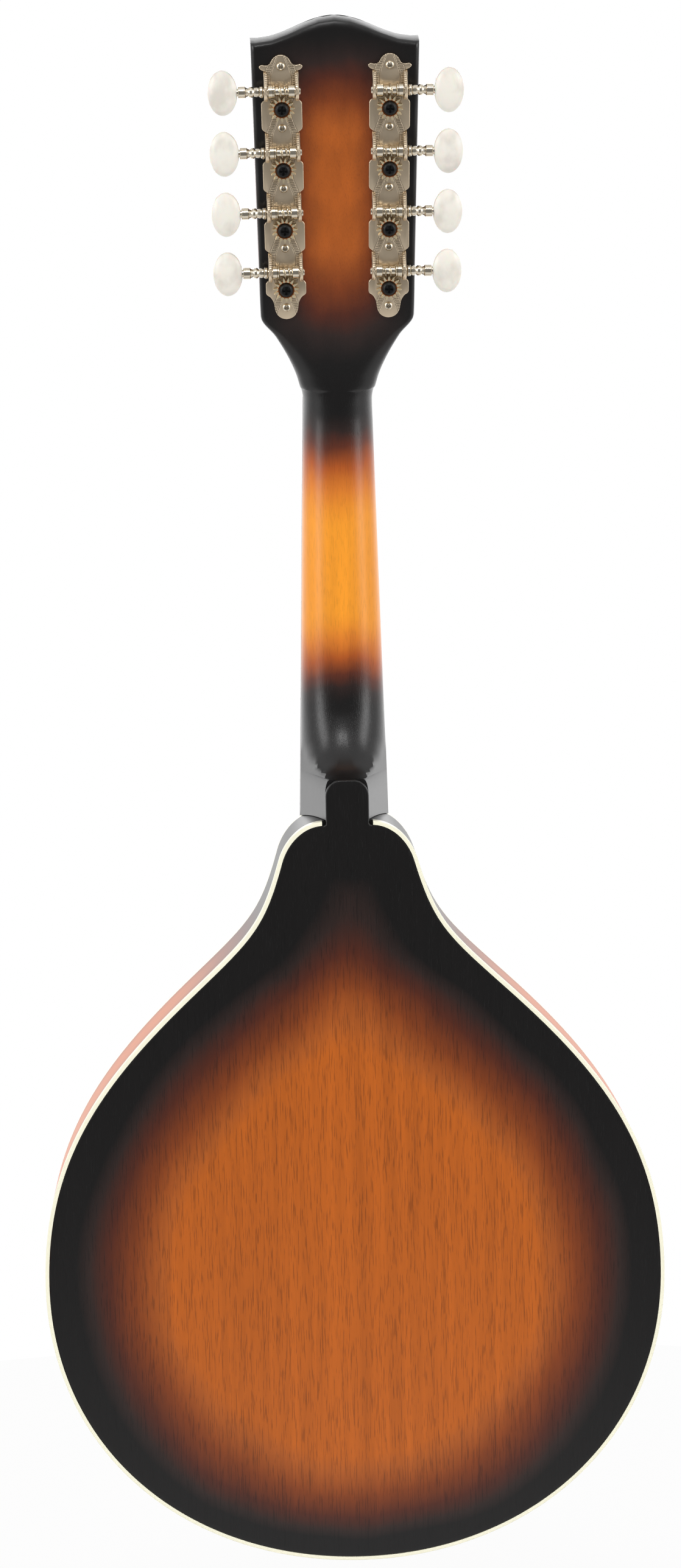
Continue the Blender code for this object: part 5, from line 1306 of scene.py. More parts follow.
def head_half_width(along):
    """Half the headstock's width at a distance along it from the nut."""
    if along <= 0:
        return NUT_WIDTH / 2
    if along < HEAD_FLARE_TOP:
        t = along / HEAD_FLARE_TOP
        flare = FLARE_START * t + (1 - FLARE_START) * t * t
        return NUT_WIDTH / 2 + (HEAD_LOW_HALF - NUT_WIDTH / 2) * flare
    t = (along - HEAD_FLARE_TOP) / (HEAD_CORNER - HEAD_FLARE_TOP)
    return HEAD_LOW_HALF + (HEAD_TOP_HALF - HEAD_LOW_HALF) * t


def crown(share):
    """How far the headstock's top edge rises above its corners, from -1 to 1 across it."""
    return HEAD_CROWN * (0.5 + 0.5 * math.cos(math.pi * min(1.0, abs(share) / 0.95)))


def along_head(height, depth):
    """The distance along the headstock that lies at a height above the nut, at a depth in the wood."""
    return (height + depth * math.sin(HEAD_ANGLE)) / math.cos(HEAD_ANGLE)


STEP_DOWN = along_head(NUT_THICKNESS + JOIN, WOOD_FRONT)


ROUND_STEPS = 12
FLAT_STEPS = 5


def section_shares():
    """Across a section: how far out on its flat part, then how far out and down on its round part."""
    right = []
    for step in range(1, ROUND_STEPS + 1):
        angle = math.pi / 2 * step / ROUND_STEPS
        out = math.sin(angle) ** (2 / NECK_SQUARENESS)
        right.append((1.0, out, max(0.0, math.cos(angle)) ** (2 / NECK_SQUARENESS)))
    middle = [(i / FLAT_STEPS, 0.0, 1.0) for i in range(-FLAT_STEPS, FLAT_STEPS + 1)]
    return [(-f, -out, fall) for f, out, fall in reversed(right)] + middle + right


SHARES = section_shares()


def section(half, start, away, deep, lip, flat):
    """One section of the neck: the points of its flat front and of its rounded back."""
    front = []
    back = []
    for flat_share, out, fall in SHARES:
        share = flat_share * flat + out * (1 - flat)
        front.append(start(share * half, share))
        back.append(front[-1] + away * (lip + (deep - lip) * fall))
    return front, back


def swept(z, start, end):
    """How far a quarter-round sweep has come at a height between its start and its end, from 0 to 1."""
    run = min(1.0, max(0.0, (start - z) / (start - end)))
    return 1 - math.sqrt(1 - run * run)


def body_drop(x):
    """How far the body's end falls away below the joint at a distance from the centre line."""
    return glide([(point.x, point.y) for point in OUTLINE[:16]], abs(x))


def heel_section(z):
    """A section of the heel. Toward its tip its flanks turn steep, those furthest out first."""
    heel_back = BACK_Y - BACK_THICKNESS - JOIN
    tip_z = JOINT_Z + HEEL_LENGTH
    start_z = tip_z + HEEL_SWEEP
    start_y = NECK_DEPTH_HEEL + start_z * SLOPE
    half = neck_half_width(z)
    lowered = max(0.0, (tip_z - z) / HEEL_LENGTH)
    above_corner = min(1.0, max(0.0, (z - tip_z) / BUTTON_CORNER + 1))
    button = BUTTON_HALF - BUTTON_CORNER * HEEL_CORNER_SHARE * (1 - math.sqrt(1 - above_corner**2))
    front = []
    back = []
    for flat_share, out, fall in SHARES:
        share = swept(z, start_z, tip_z + abs(out) * HEEL_LEAD)
        flat = share * button / half
        x = (flat_share * flat + out * (1 - flat)) * half
        lip = SIDE_LIP + (HEEL_LIP - SIDE_LIP) * share
        deep = start_y + (heel_back - start_y) * share - z * SLOPE
        straight = fall + (1 - abs(out) - fall) * share
        front.append(Vector((x, z * SLOPE, z)))
        back.append(front[-1] + Vector((0, lip + (deep - lip) * straight, -lowered * body_drop(x))))
    return front, back


def bend_fill(z):
    """How much the wood's back is filled out where the headstock leans away from the neck."""
    near = 1 - min(1.0, abs(z) / BEND_REACH)
    return BEND_REACH / 4 * math.tan(HEAD_ANGLE - NECK_ANGLE) * near * near


def neck_sections():
    """Sections of the heel and the neck, from the body joint to just below the nut."""
    tip_z = JOINT_Z + HEEL_LENGTH
    start_z = tip_z + HEEL_SWEEP
    straight = Vector((0, 1, 0))
    found = []
    for share in (0.0, 0.14, 0.28, 0.42, 0.56, 0.66, 0.74, 0.82, 0.88, 0.94, 0.98):
        found.append(heel_section(JOINT_Z + JOIN + (HEEL_LENGTH - JOIN) * share))
    for step in (90, 86, 80, 72, 62, 50, 38, 26, 14, 0):
        found.append(heel_section(start_z - HEEL_SWEEP * math.sin(math.radians(step))))
    for t in (0.2, 0.4, 0.6, 0.75, 0.84, 0.92):
        z = start_z * (1 - t)
        depth = NECK_DEPTH_HEEL + (NECK_DEPTH_NUT - NECK_DEPTH_HEEL) * t + bend_fill(z)

        def start(x, _, z=z):
            return Vector((x, z * SLOPE, z))

        found.append(section(neck_half_width(z), start, straight, depth, SIDE_LIP, 0.0))
    return found


def between_rows(rows, spacing):
    """More rows through the given ones, on smooth lines, about this far apart."""
    middle = len(rows[0]) // 2
    places = [0.0]
    for before, after in zip(rows, rows[1:]):
        places.append(places[-1] + max((after[middle] - before[middle]).length, 1e-6))
    wanted = []
    for before, after in zip(places, places[1:]):
        parts = max(1, math.ceil((after - before) / spacing))
        wanted += [before + (after - before) * k / parts for k in range(parts)]
    wanted.append(places[-1])
    dense = [[] for _ in wanted]
    for column in range(len(rows[0])):
        lines = [[(p, row[column][axis]) for p, row in zip(places, rows)] for axis in range(3)]
        for i, place in enumerate(wanted):
            dense[i].append(Vector([glide(line, place) for line in lines]))
    return dense


def head_section(along, lean, lip_share, flat, drop=0.0):
    """A section of the headstock's wood, leaning by a share of the headstock's angle."""
    seat = along < STEP_DOWN
    deep = (NECK_DEPTH_NUT + SEAT_GROWTH * along if seat else WOOD_THICKNESS) + bend_fill(along)
    tilt = HEAD_ANGLE * lean
    away = Vector((0, math.cos(tilt), -math.sin(tilt)))

    def start(x, share):
        if seat:
            return NECK_FRAME @ Vector((x, 0, along))
        rise = crown(share) * (min(along, HEAD_CORNER) / HEAD_CORNER) ** 12
        return HEAD_FRAME @ Vector((x, WOOD_FRONT, along + rise))

    half = head_half_width(along)
    return section(half, start, away, deep - drop, deep * lip_share - drop, flat)


def head_sections():
    """Sections from the nut to the headstock's top, then the three that round its top edge."""
    edge = sizes().head_edge
    lip = 1 - edge / WOOD_THICKNESS
    flat = 1 - edge / HEAD_LOW_HALF
    found = [
        head_section(0.0, 0.5, 0.16, 0.10),
        head_section(NUT_THICKNESS + JOIN, 0.7, 0.26, 0.20),
        head_section(STEP_DOWN, 0.8, 0.28, 0.24),
        head_section(0.31 * HEAD_FLARE_TOP, 0.9, 0.38, 0.40),
        head_section(0.515 * HEAD_FLARE_TOP, 1.0, 0.56, 0.60),
        head_section(0.773 * HEAD_FLARE_TOP, 1.0, 0.76, 0.82),
    ]
    for along in (HEAD_FLARE_TOP, 0.06, 0.09, 0.115, 0.13, 0.14, 0.146, HEAD_CORNER - edge):
        found.append(head_section(along, 1.0, lip, flat))
    rounded = []
    for turn in (30, 60, 90):
        angle = math.radians(turn)
        along = HEAD_CORNER - edge + edge * math.sin(angle)
        rounded.append(head_section(along, 1.0, lip, flat, edge * (1 - math.cos(angle))))
    return found, rounded


def tongue_sections():
    """The front and back points of the tongue under the fingerboard's end, clear of the top."""
    front = []
    back = []
    steps = 8
    end_z = TONGUE_STEP - fingerboard_end() * math.cos(NECK_ANGLE)
    for step in range(steps + 1):
        z = end_z + (JOINT_Z + JOIN / 2 - end_z) * step / steps
        places = [(f * 0.5 + out * 0.5) * neck_half_width(z) for f, out, _ in SHARES]
        front.append([Vector((x, z * SLOPE, z)) for x in places])
        row = []
        for x in places:
            clear = min(arch_y(x, z), arch_y(0, z)) - JOIN
            row.append(Vector((x, max(clear, z * SLOPE + 2 * JOIN), z)))
        back.append(row)
    return front, back


def build_neck():
    """The neck's wood, from its tongue over the body to the headstock's rounded top edge."""
    head, rounded = head_sections()
    rows = between_rows([front + back for front, back in neck_sections() + head], SECTION_SPACING)
    width = len(SHARES)
    front, back = tongue_sections()
    front += [row[:width] for row in rows] + [section_front for section_front, _ in rounded]
    back += [row[width:] for row in rows] + [section_back for _, section_back in rounded]
    points, faces = sheet(front, back)
    # Quads take the place of the single face over the headstock's curved end
    faces.pop()
    last = len(points) - 2 * width
    for i in range(width - 1):
        faces.append((last + i, last + i + 1, last + 2 * width - 2 - i, last + 2 * width - 1 - i))
    neck = meshed("neck", (points, faces), 40)
    neck = carved(neck, together(*post_bores(-2 * HEAD_THICKNESS, HEAD_THICKNESS)))
    dress("neck_wood", neck, "neck_mahogany", replaces=["neck"])


def fret_distance(number):
    return SCALE_LENGTH * (1 - 2 ** (-number / 12))


def fingerboard_end():
    return fret_distance(FRET_COUNT) + FINGERBOARD_TAIL


def build_fingerboard():
    """The rosewood board, with its long edges eased."""
    soft = 0.0004
    steps = 40
    rings = []
    for step in range(steps + 1):
        z = -fingerboard_end() * step / steps
        half = neck_half_width(z)
        right = [
            (half - soft, BOARD_FACE, z),
            (half - soft * 0.3, BOARD_FACE + soft * 0.3, z),
            (half, BOARD_FACE + soft, z),
            (half, -JOIN, z),
        ]
        rings.append([(-x, y, z) for x, y, _ in reversed(right)] + right)
    board = meshed("fingerboard", moved(NECK_FRAME, skin(rings)))
    dress("fingerboard_wood", board, "rosewood", replaces=["fingerboard"])


def build_frets():
    """A fret of unit width with a round crown, copied down the board."""
    wide = sizes().fret_width / 2
    profile = [(wide, 0.0)]
    for step in range(1, 12):
        angle = math.pi * step / 12
        profile.append((wide * math.cos(angle), FRET_HEIGHT * math.sin(angle) ** 0.8))
    profile.append((-wide, 0.0))
    rings = []
    for share, fall in ((-0.5, 0.35), (-0.475, 0.9), (-0.45, 1.0), (0.45, 1.0), (0.475, 0.9), (0.5, 0.35)):
        rings.append([(share, BOARD_FACE - up * fall + FRET_SUNK, z) for z, up in profile])
    frets = grown(fret_tree(), meshed("fret", skin(rings)), "nickel", Count=FRET_COUNT)
    frets.transform(NECK_FRAME)
    dress("frets", frets, "nickel")


def build_dots():
    """The fingerboard's position dots, a pair of them at the twelfth fret."""
    radius = sizes().dot_radius
    rise = 0.00008
    profile = [(0, rise), (radius * 0.9, rise), (radius, 0.0), (radius, -0.0004), (0, -0.0004)]
    dot = turned(profile, 24)
    middle = (0,)
    pair = (-0.0075, 0.0075)
    dots = []
    for number, places in ((3, middle), (5, middle), (7, middle), (10, middle), (12, pair), (15, middle)):
        z = -(fret_distance(number - 1) + fret_distance(number)) / 2
        for x in places:
            dots.append(moved(NECK_FRAME @ Matrix.Translation((x, BOARD_FACE, z)) @ UPRIGHT, dot))
    dress("position_dots", meshed("position_dots", together(*dots)), "pearloid")


def softened(name, node, width, sharp=25.0):
    """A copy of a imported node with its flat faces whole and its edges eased."""
    bm = bmesh.new()
    bm.from_mesh(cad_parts[node].data)
    bmesh.ops.remove_doubles(bm, verts=bm.verts, dist=1e-6)
    bmesh.ops.dissolve_limit(bm, angle_limit=math.radians(0.5), verts=bm.verts, edges=bm.edges)
    hard = [e for e in bm.edges if len(e.link_faces) == 2 and e.calc_face_angle() > math.radians(sharp)]
    bevel = {"offset": width, "segments": 2, "profile": 0.6, "affect": "EDGES", "clamp_overlap": True}
    bmesh.ops.bevel(bm, geom=hard, **bevel)
    mesh = bpy.data.meshes.new(name)
    bm.to_mesh(mesh)
    bm.free()
    mesh.shade_smooth()
    mesh.set_sharp_from_angle(angle=math.radians(30))
    return mesh


def build_nut():
    dress("nut_bone", softened("nut_bone", "nut", 0.00015), "bone", replaces=["nut"])


def post_bores(low, high):
    """Cutters for the eight post holes, between two heights along the posts."""
    radius = POST_RADIUS + POST_CLEARANCE
    bore = turned([(radius, high), (radius, low)], 24)
    return [moved(post_frame(side, post), bore) for side, post, _ in each_tuner()]


def build_veneer():
    """The black veneer on the headstock's face."""
    start = along_head(NUT_THICKNESS + 2 * JOIN, OVERLAY_THICKNESS)
    places = [start + (HEAD_FLARE_TOP - start) * step / 24 for step in range(25)]
    places += [HEAD_FLARE_TOP + (HEAD_CORNER - HEAD_FLARE_TOP) * step / 8 for step in range(1, 9)]
    half = [(head_half_width(along), along) for along in places]
    for step in range(1, 25):
        share = 1 - step / 24
        half.append((share * HEAD_TOP_HALF, HEAD_CORNER + crown(share)))
    blank = slab(mirrored(half), -OVERLAY_THICKNESS, 0.0, 0.0, 0.0004)
    plate = meshed("headstock_veneer", moved(HEAD_FRAME @ UPRIGHT, blank), 40)
    plate = carved(plate, together(*post_bores(-2 * HEAD_THICKNESS, 0)))
    dress("headstock_veneer", plate, "black_gloss", replaces=["headstock_overlay"])


def post_row(tree, mesh, start, count=POSTS_PER_SIDE):
    """Copies of a mesh up one side of the headstock, as far apart as the posts."""
    return grown(tree, mesh, "nickel", Count=count, Start=(0, 0, start), Step=(0, 0, POST_PITCH))


def build_ferrules():
    """The nickel rings that line the post holes, each with a rounded lip."""
    inside = POST_RADIUS + 2 * BEARING_GAP
    face = -HEAD_THICKNESS
    lip = face - BUSHING_RISE
    profile = [
        (inside, face + 0.001),
        (inside, lip),
        (inside + 0.0006, lip - 0.0001),
        (BUSHING_RADIUS * 0.86, lip),
        (BUSHING_RADIUS * 0.95, face - BUSHING_RISE * 0.55),
        (BUSHING_RADIUS, face - BUSHING_RISE * 0.2),
        (BUSHING_RADIUS, face),
        (BUSHING_RADIUS * 0.9, face + 0.001),
    ]
    ferrule = meshed("ferrule", moved(BACKWARD, turned(profile, 32, cyclic=True)))
    tree = row_tree()
    rows = []
    for side, _ in SIDES:
        row = post_row(tree, ferrule, FIRST_POST)
        row.transform(plate_frame(side))
        rows.append(row)
    dress("post_ferrules", joined("post_ferrules", *rows), "nickel")


def build_truss_rod_cover():
    """The black bell-shaped cover over the truss rod's nut, and its three screws."""
    low = along_head(NUT_THICKNESS + 2 * JOIN, 0)
    high = low + BELL_LENGTH
    shoulder = low + 0.0040
    steps = 16
    half = [(BELL_HALF, low), (BELL_HALF, shoulder)]
    for step in range(1, steps + 1):
        t = step / steps
        straight = BELL_HALF + (BELL_TIP - BELL_HALF) * t
        hollow = BELL_TIP / 2 * math.sin(math.pi * t)
        half.append((straight - hollow, shoulder + (high - BELL_TIP - shoulder) * t))
    half += arc((0, high - BELL_TIP), BELL_TIP, 11.25, 90, 7)
    half[-1] = (0.0, high)
    cover = slab(mirrored(half), JOIN, BELL_THICKNESS + JOIN, 0.0, 0.0005)
    screw = screw_head(0.0014, 0.0006)
    screws = []
    for x, z in ((0.0068, low + 0.0026), (-0.0068, low + 0.0026), (0.0, high - 0.0034)):
        screws.append(moved(Matrix.Translation((x, z, BELL_THICKNESS + JOIN)), screw))
    seat = HEAD_FRAME @ UPRIGHT
    bell = meshed("truss_rod_bell", moved(seat, cover))
    dress("truss_rod_bell", bell, "black_gloss", replaces=["truss_rod_cover"])
    heads = meshed("truss_rod_screws", moved(seat, together(*screws)))
    dress("truss_rod_screws", heads, "nickel")


def screw_head(radius, height, depth=0.7):
    """A domed screw head with a cross recess of a share of its height, its seat at z = 0."""
    angles = round_angles(48)
    rim = ((0.0, -0.6), (1.0, -0.6), (1.0, 0.0), (0.97, 0.35), (0.86, 0.66), (0.68, 0.88), (0.60, 0.93))
    rings = []
    for share, up in rim:
        reach = radius * share
        rings.append([(reach * math.cos(a), reach * math.sin(a), up * height) for a in angles])
    for share in (0.55, 0.38, 0.22, 0.0):
        ring = []
        for angle in angles:
            x = radius * share * math.cos(angle)
            y = radius * share * math.sin(angle)
            in_cross = min(abs(x), abs(y)) < radius * 0.13
            recess = depth * (1.6 - share) if in_cross else 0.0
            ring.append((x, y, height * (1.0 - 0.15 * share - recess)))
        rings.append(ring)
    return skin(rings)


# The tuners


def plate_frame(side):
    """One row of tuners: x outward to +X, y away from the headstock's back, z up along the posts."""
    lean = Matrix.Rotation(side * TUNER_LEAN, 4, "Y")
    return HEAD_FRAME @ Matrix.Translation((side * TUNER_LINE, HEAD_THICKNESS, 0)) @ lean


def post_height(post):
    return FIRST_POST + post * POST_PITCH


def post_frame(side, post):
    """A post's own frame, with z along it and away from the headstock's back."""
    return plate_frame(side) @ Matrix.Translation((0, 0, post_height(post))) @ BACKWARD


def worm_frame(side, post):
    """A worm's own frame, with z along its axis toward its button."""
    turn = SIDEWAYS if side > 0 else Matrix.Rotation(math.pi, 4, "Y") @ SIDEWAYS
    place = Matrix.Translation((0, MESH_HEIGHT, post_height(post) + CENTRE_DISTANCE))
    return plate_frame(side) @ place @ turn


def eased_corners(points, keep):
    """An outline with its corners turned into short curves, which start this far from each corner."""
    steps = 5
    result = []
    count = len(points)
    for i, point in enumerate(points):
        here = Vector(point)
        before = Vector(points[i - 1]) - here
        after = Vector(points[(i + 1) % count]) - here
        reach = min(keep, before.length * 0.45, after.length * 0.45)
        start = here + before.normalized() * reach
        end = here + after.normalized() * reach
        for k in range(steps + 1):
            t = k / steps
            spot = start * (1 - t) ** 2 + here * 2 * t * (1 - t) + end * t * t
            result.append((spot.x, spot.y))
    return result


def plate_outline():
    """A tuner plate, from the top of its horned crown down to its round tab."""
    top = post_height(POSTS_PER_SIDE - 1) - PLATE_DROP
    half = [(0.0014, top + 0.0225), (0.0032, top + 0.0212), (0.0045, top + 0.0188)]
    half += [(0.0060, top + 0.0183), (0.0079, top + 0.0187), (0.0089, top + 0.0178)]
    half += [(0.0080, top + 0.0166), (PLATE_WAIST, top + 0.0158)]
    for post in reversed(range(POSTS_PER_SIDE)):
        z = post_height(post) - PLATE_DROP
        half += [(PLATE_WAIST, z + 0.0047), (PLATE_HALF - 0.0008, z + 0.0042), (PLATE_HALF, z + 0.0032)]
        if post > 0:
            half += [(PLATE_HALF, z - 0.0074), (PLATE_WAIST, z - 0.0092)]
    half += [(PLATE_HALF, z - 0.0015), (0.0064, z - 0.0026), (0.0052, z - 0.0046), (0.0048, z - 0.0072)]
    half += arc((0, z - 0.0073), PLATE_TAB, -11, -88, 7)
    points = half + [(-x, z) for x, z in reversed(half)]
    return eased_corners(points, 0.0009)


def ear_shape(side_x):
    """A folded ear: a round head over the worm's end and a long tail that runs up to the plate's waist."""
    foot = JOIN + PLATE_THICKNESS * 0.3
    points = [(-0.0043, foot), (-0.0043, PLATE_THICKNESS + 0.0009)]
    points += arc((0, MESH_HEIGHT), EAR_RADIUS, 188, 32, 12, 0.85)
    points += [(0.0056, PLATE_THICKNESS + 0.0024), (0.0070, PLATE_THICKNESS + 0.0010), (0.0074, foot)]
    half = EAR_THICKNESS / 2
    blank = slab(points, -half, half, CHAMFER, CHAMFER, 2)
    # The outline's x runs up the plate and its y away from it
    turn = Matrix(((0, 0, 1, 0), (0, 1, 0, 0), (1, 0, 0, 0), (0, 0, 0, 1)))
    return moved(Matrix.Translation((side_x, 0, 0)) @ turn, blank)


def plate_mesh(side, name):
    """A plate with its post holes and its ears, in its own row's frame."""
    blank = slab(plate_outline(), -JOIN - PLATE_THICKNESS, -JOIN, tuner_sizes().plate_edge, 0.0, 3)
    plate = meshed("tuner_plate", moved(UPRIGHT, blank))
    bearing = JOURNAL_RADIUS + BEARING_GAP
    bore = turned([(bearing, 0.012), (bearing, -0.012)], 24)
    post_hole = POST_RADIUS + 2 * BEARING_GAP
    hole = turned([(post_hole, 0.004), (post_hole, -0.004)], 24)
    ears = []
    bearings = []
    holes = []
    for post in range(POSTS_PER_SIDE):
        up = Matrix.Translation((0, 0, post_height(post) + CENTRE_DISTANCE))
        for ear_side in (-1, 1):
            ears.append(moved(up, ear_shape(ear_side * EAR_OFFSET)))
        bearings.append(moved(plate_frame(side).inverted() @ worm_frame(side, post), bore))
        holes.append(moved(Matrix.Translation((0, 0, post_height(post))) @ BACKWARD, hole))
    plate = carved(plate, together(*holes))
    ear_mesh = carved(meshed("ears", together(*ears)), together(*bearings))
    return joined(name, plate, ear_mesh)


def build_tuner_plates():
    """The two engraved plates, their folded ears and their mounting screws."""
    tree = row_tree()
    seat = Matrix.Translation((0, JOIN + PLATE_THICKNESS, 0)) @ BACKWARD
    head = meshed("screw", moved(seat, screw_head(tuner_sizes().screw_radius, 0.0009)))
    low = post_height(0) - PLATE_DROP
    top = post_height(POSTS_PER_SIDE - 1) - PLATE_DROP
    for side, name in SIDES:
        stamped = f"tuner_plate_{name}_stamped"
        whole = plate_mesh(side, stamped)
        layer = whole.uv_layers.new(name="plate")
        for loop in whole.loops:
            spot = whole.vertices[loop.vertex_index].co
            layer.data[loop.index].uv = (spot.x, spot.z - low)
        whole.transform(plate_frame(side))
        dress(stamped, whole, "engraved_nickel", slot="nickel", replaces=[f"tuner_plate_{name}"])

        row = post_row(tree, head, low - SCREW_BELOW_POST)
        crown_screw = post_row(tree, head, top + SCREW_ABOVE_POST, count=1)
        screws = joined(f"plate_screws_{name}", row, crown_screw)
        screws.transform(plate_frame(side))
        dress(f"plate_screws_{name}", screws, "nickel")


def worm_profile():
    """The shaft's (radius, height) pairs, from its end in the button down to its far end."""
    inside = EAR_OFFSET - EAR_THICKNESS / 2 - BEARING_GAP
    outside = EAR_OFFSET + EAR_THICKNESS / 2 + BEARING_GAP
    thread_half = WORM_TURNS * AXIAL_PITCH / 2 + WORM_THREAD_HALF
    button_face = BUTTON_DISTANCE - 0.0060
    sleeve_top = button_face - JOIN
    sleeve_end = sleeve_top - SLEEVE_LENGTH
    profile = [
        (0, button_face + 0.0040),
        (JOURNAL_RADIUS, button_face + 0.0040),
        (JOURNAL_RADIUS, sleeve_top),
        (SLEEVE_RADIUS - CHAMFER, sleeve_top),
        (SLEEVE_RADIUS, sleeve_top - CHAMFER),
        (SLEEVE_RADIUS, sleeve_end + 0.0004),
        (SLEEVE_RADIUS - 0.0005, sleeve_end),
        (JOURNAL_RADIUS, sleeve_end - BEAD_PITCH / 3),
    ]
    bead_middle = sleeve_end - BEAD_PITCH * 5 / 6
    for step in range(9):
        angle = math.radians(80 - 20 * step)
        bulge = JOURNAL_RADIUS + (BEAD_RADIUS - JOURNAL_RADIUS) * max(0.0, math.cos(angle))
        profile.append((bulge, bead_middle + BEAD_PITCH * 0.42 * math.sin(angle)))
    low = outside + JOIN
    high = sleeve_end - BEAD_PITCH * 4 / 3
    profile.append((JOURNAL_RADIUS, high))
    for radius_share, fall in ((0.84, 0.30), (0.84, 0.52), (0.74, 0.58), (1.0, 0.72)):
        profile.append((SLEEVE_RADIUS * radius_share, high - (high - low) * fall))
    return profile + [
        (SLEEVE_RADIUS, low + CHAMFER),
        (SLEEVE_RADIUS - CHAMFER, low),
        (JOURNAL_RADIUS, outside),
        (JOURNAL_RADIUS, inside),
        (WORM_COLLAR_RADIUS - CHAMFER, inside),
        (WORM_COLLAR_RADIUS, inside - CHAMFER),
        (WORM_COLLAR_RADIUS, thread_half + 0.0009),
        (WORM_COLLAR_RADIUS - 0.0003, thread_half + 0.0008),
        (WORM_COLLAR_RADIUS, thread_half + 0.0006),
        (WORM_COLLAR_RADIUS, thread_half + CHAMFER),
        (WORM_ROOT, thread_half - JOIN),
        (WORM_ROOT, -thread_half + JOIN),
        (WORM_COLLAR_RADIUS, -thread_half - CHAMFER),
        (WORM_COLLAR_RADIUS, -inside + CHAMFER),
        (WORM_COLLAR_RADIUS - CHAMFER, -inside),
        (JOURNAL_RADIUS, -inside),
        (JOURNAL_RADIUS, -outside),
        (JOURNAL_RADIUS * 0.9, -outside - 0.0004),
        (JOURNAL_RADIUS * 0.55, -outside - JOURNAL_RADIUS / 2 + 0.0001),
        (0, -outside - JOURNAL_RADIUS / 2),
    ]


def worm_thread():
    """The right-handed thread about z, which runs out into the shaft at both ends."""
    steps_per_turn = 32
    steps = int(WORM_TURNS * steps_per_turn / 2) * 2
    run_out_steps = 14
    crest_half = 0.00007
    tip = WORM_PITCH_RADIUS + WORM_ADDENDUM - 0.00004
    sunk = WORM_ROOT - JOIN
    rings = []
    for i in range(steps + 1):
        turn = (i - steps / 2) / steps_per_turn
        angle = 2 * math.pi * turn
        rise = min(1.0, max(1, min(i, steps - i)) / run_out_steps)
        crest = WORM_ROOT + (tip - WORM_ROOT) * rise
        ring = []
        low_flank = ((sunk, -WORM_THREAD_HALF), (crest, -crest_half))
        high_flank = ((crest, crest_half), (sunk, WORM_THREAD_HALF))
        for radius, along in low_flank + high_flank:
            ring.append((radius * math.cos(angle), radius * math.sin(angle), turn * AXIAL_PITCH + along))
        rings.append(ring)
    return skin(rings)


def button_shape():
    """An oval button about z: two flat domes that meet at a narrow rim."""
    wide = tuner_sizes().button_width / 2
    tall = tuner_sizes().button_height / 2
    thick = tuner_sizes().button_thickness / 2
    dome = [(0.0, 1.0), (0.25, 0.985), (0.45, 0.94), (0.62, 0.86), (0.75, 0.755), (0.84, 0.65)]
    dome += [(0.90, 0.55), (0.925, 0.52), (0.96, 0.47), (0.985, 0.35), (1.0, 0.15)]
    rings = []
    for share, up in dome + [(share, -up) for share, up in reversed(dome)]:
        ring = []
        for angle in round_angles(48):
            z = BUTTON_DISTANCE + wide * share * math.sin(angle)
            ring.append((tall * share * math.cos(angle), thick * up, z))
        rings.append(ring)
    return skin(rings)


def gear_mesh(turn):
    """The toothed ring of a gear about z, its gaps cut deep."""
    tip = GEAR_PITCH_RADIUS + GEAR_ADDENDUM - 0.00003
    half = TOOTH_WIDTH / 2
    sunk = GEAR_ROOT - 0.0004
    faces = ((GEAR_LOW, 0.90), (GEAR_LOW + CHAMFER, 1.0), (GEAR_HIGH - CHAMFER, 1.0), (GEAR_HIGH, 0.90))
    rings = []
    for height, thin in faces:
        ring = []
        for radius, wide in ((sunk, 1.30), (GEAR_ROOT, 1.25), (GEAR_PITCH_RADIUS, 0.80), (tip, 0.20)):
            ring.append((sunk + (radius - sunk) * thin, -half * wide, height))
        ring += [(x, -y, z) for x, y, z in reversed(ring)]
        rings.append(ring)
    return grown(ring_tree(), meshed("tooth", skin(rings)), "gear", Count=GEAR_TEETH, Turn=turn)


def gear_disc():
    """The gear's round middle about z, dished under its screw."""
    high = GEAR_HIGH - CHAMFER
    dish = high - 0.0006
    profile = [
        (0, dish),
        (POST_RADIUS + CHAMFER, dish),
        (GEAR_SCREW_RADIUS + CHAMFER, high - CHAMFER),
        (GEAR_SCREW_RADIUS + 3 * CHAMFER, high),
        (GEAR_ROOT - CHAMFER, high),
        (GEAR_ROOT, high - CHAMFER),
        (GEAR_ROOT, GEAR_LOW + CHAMFER),
        (GEAR_ROOT - CHAMFER, GEAR_LOW),
        (0, GEAR_LOW),
    ]
    return turned(profile, 60)


def post_shape():
    """A string post about z, from the gear's seat down to its domed tip."""
    collar = PLATE_THICKNESS + 2 * JOIN
    ferrule = -HEAD_THICKNESS - BUSHING_RISE
    tip = -HEAD_THICKNESS - POST_RISE
    profile = [
        (0, MESH_HEIGHT),
        (POST_RADIUS + 0.0005, MESH_HEIGHT),
        (POST_RADIUS + 0.0005, collar),
        (POST_RADIUS, collar - JOIN),
        (POST_RADIUS, ferrule - 0.0008),
        (POST_WAIST_RADIUS, ferrule - 0.0014),
        (POST_WAIST_RADIUS, tip + 0.0022),
        (POST_RADIUS, tip + 0.0014),
        (POST_RADIUS, tip + 0.0009),
        (POST_RADIUS * 0.88, tip + 0.0003),
        (POST_RADIUS * 0.6, tip),
        (0, tip),
    ]
    return turned(profile, 32)


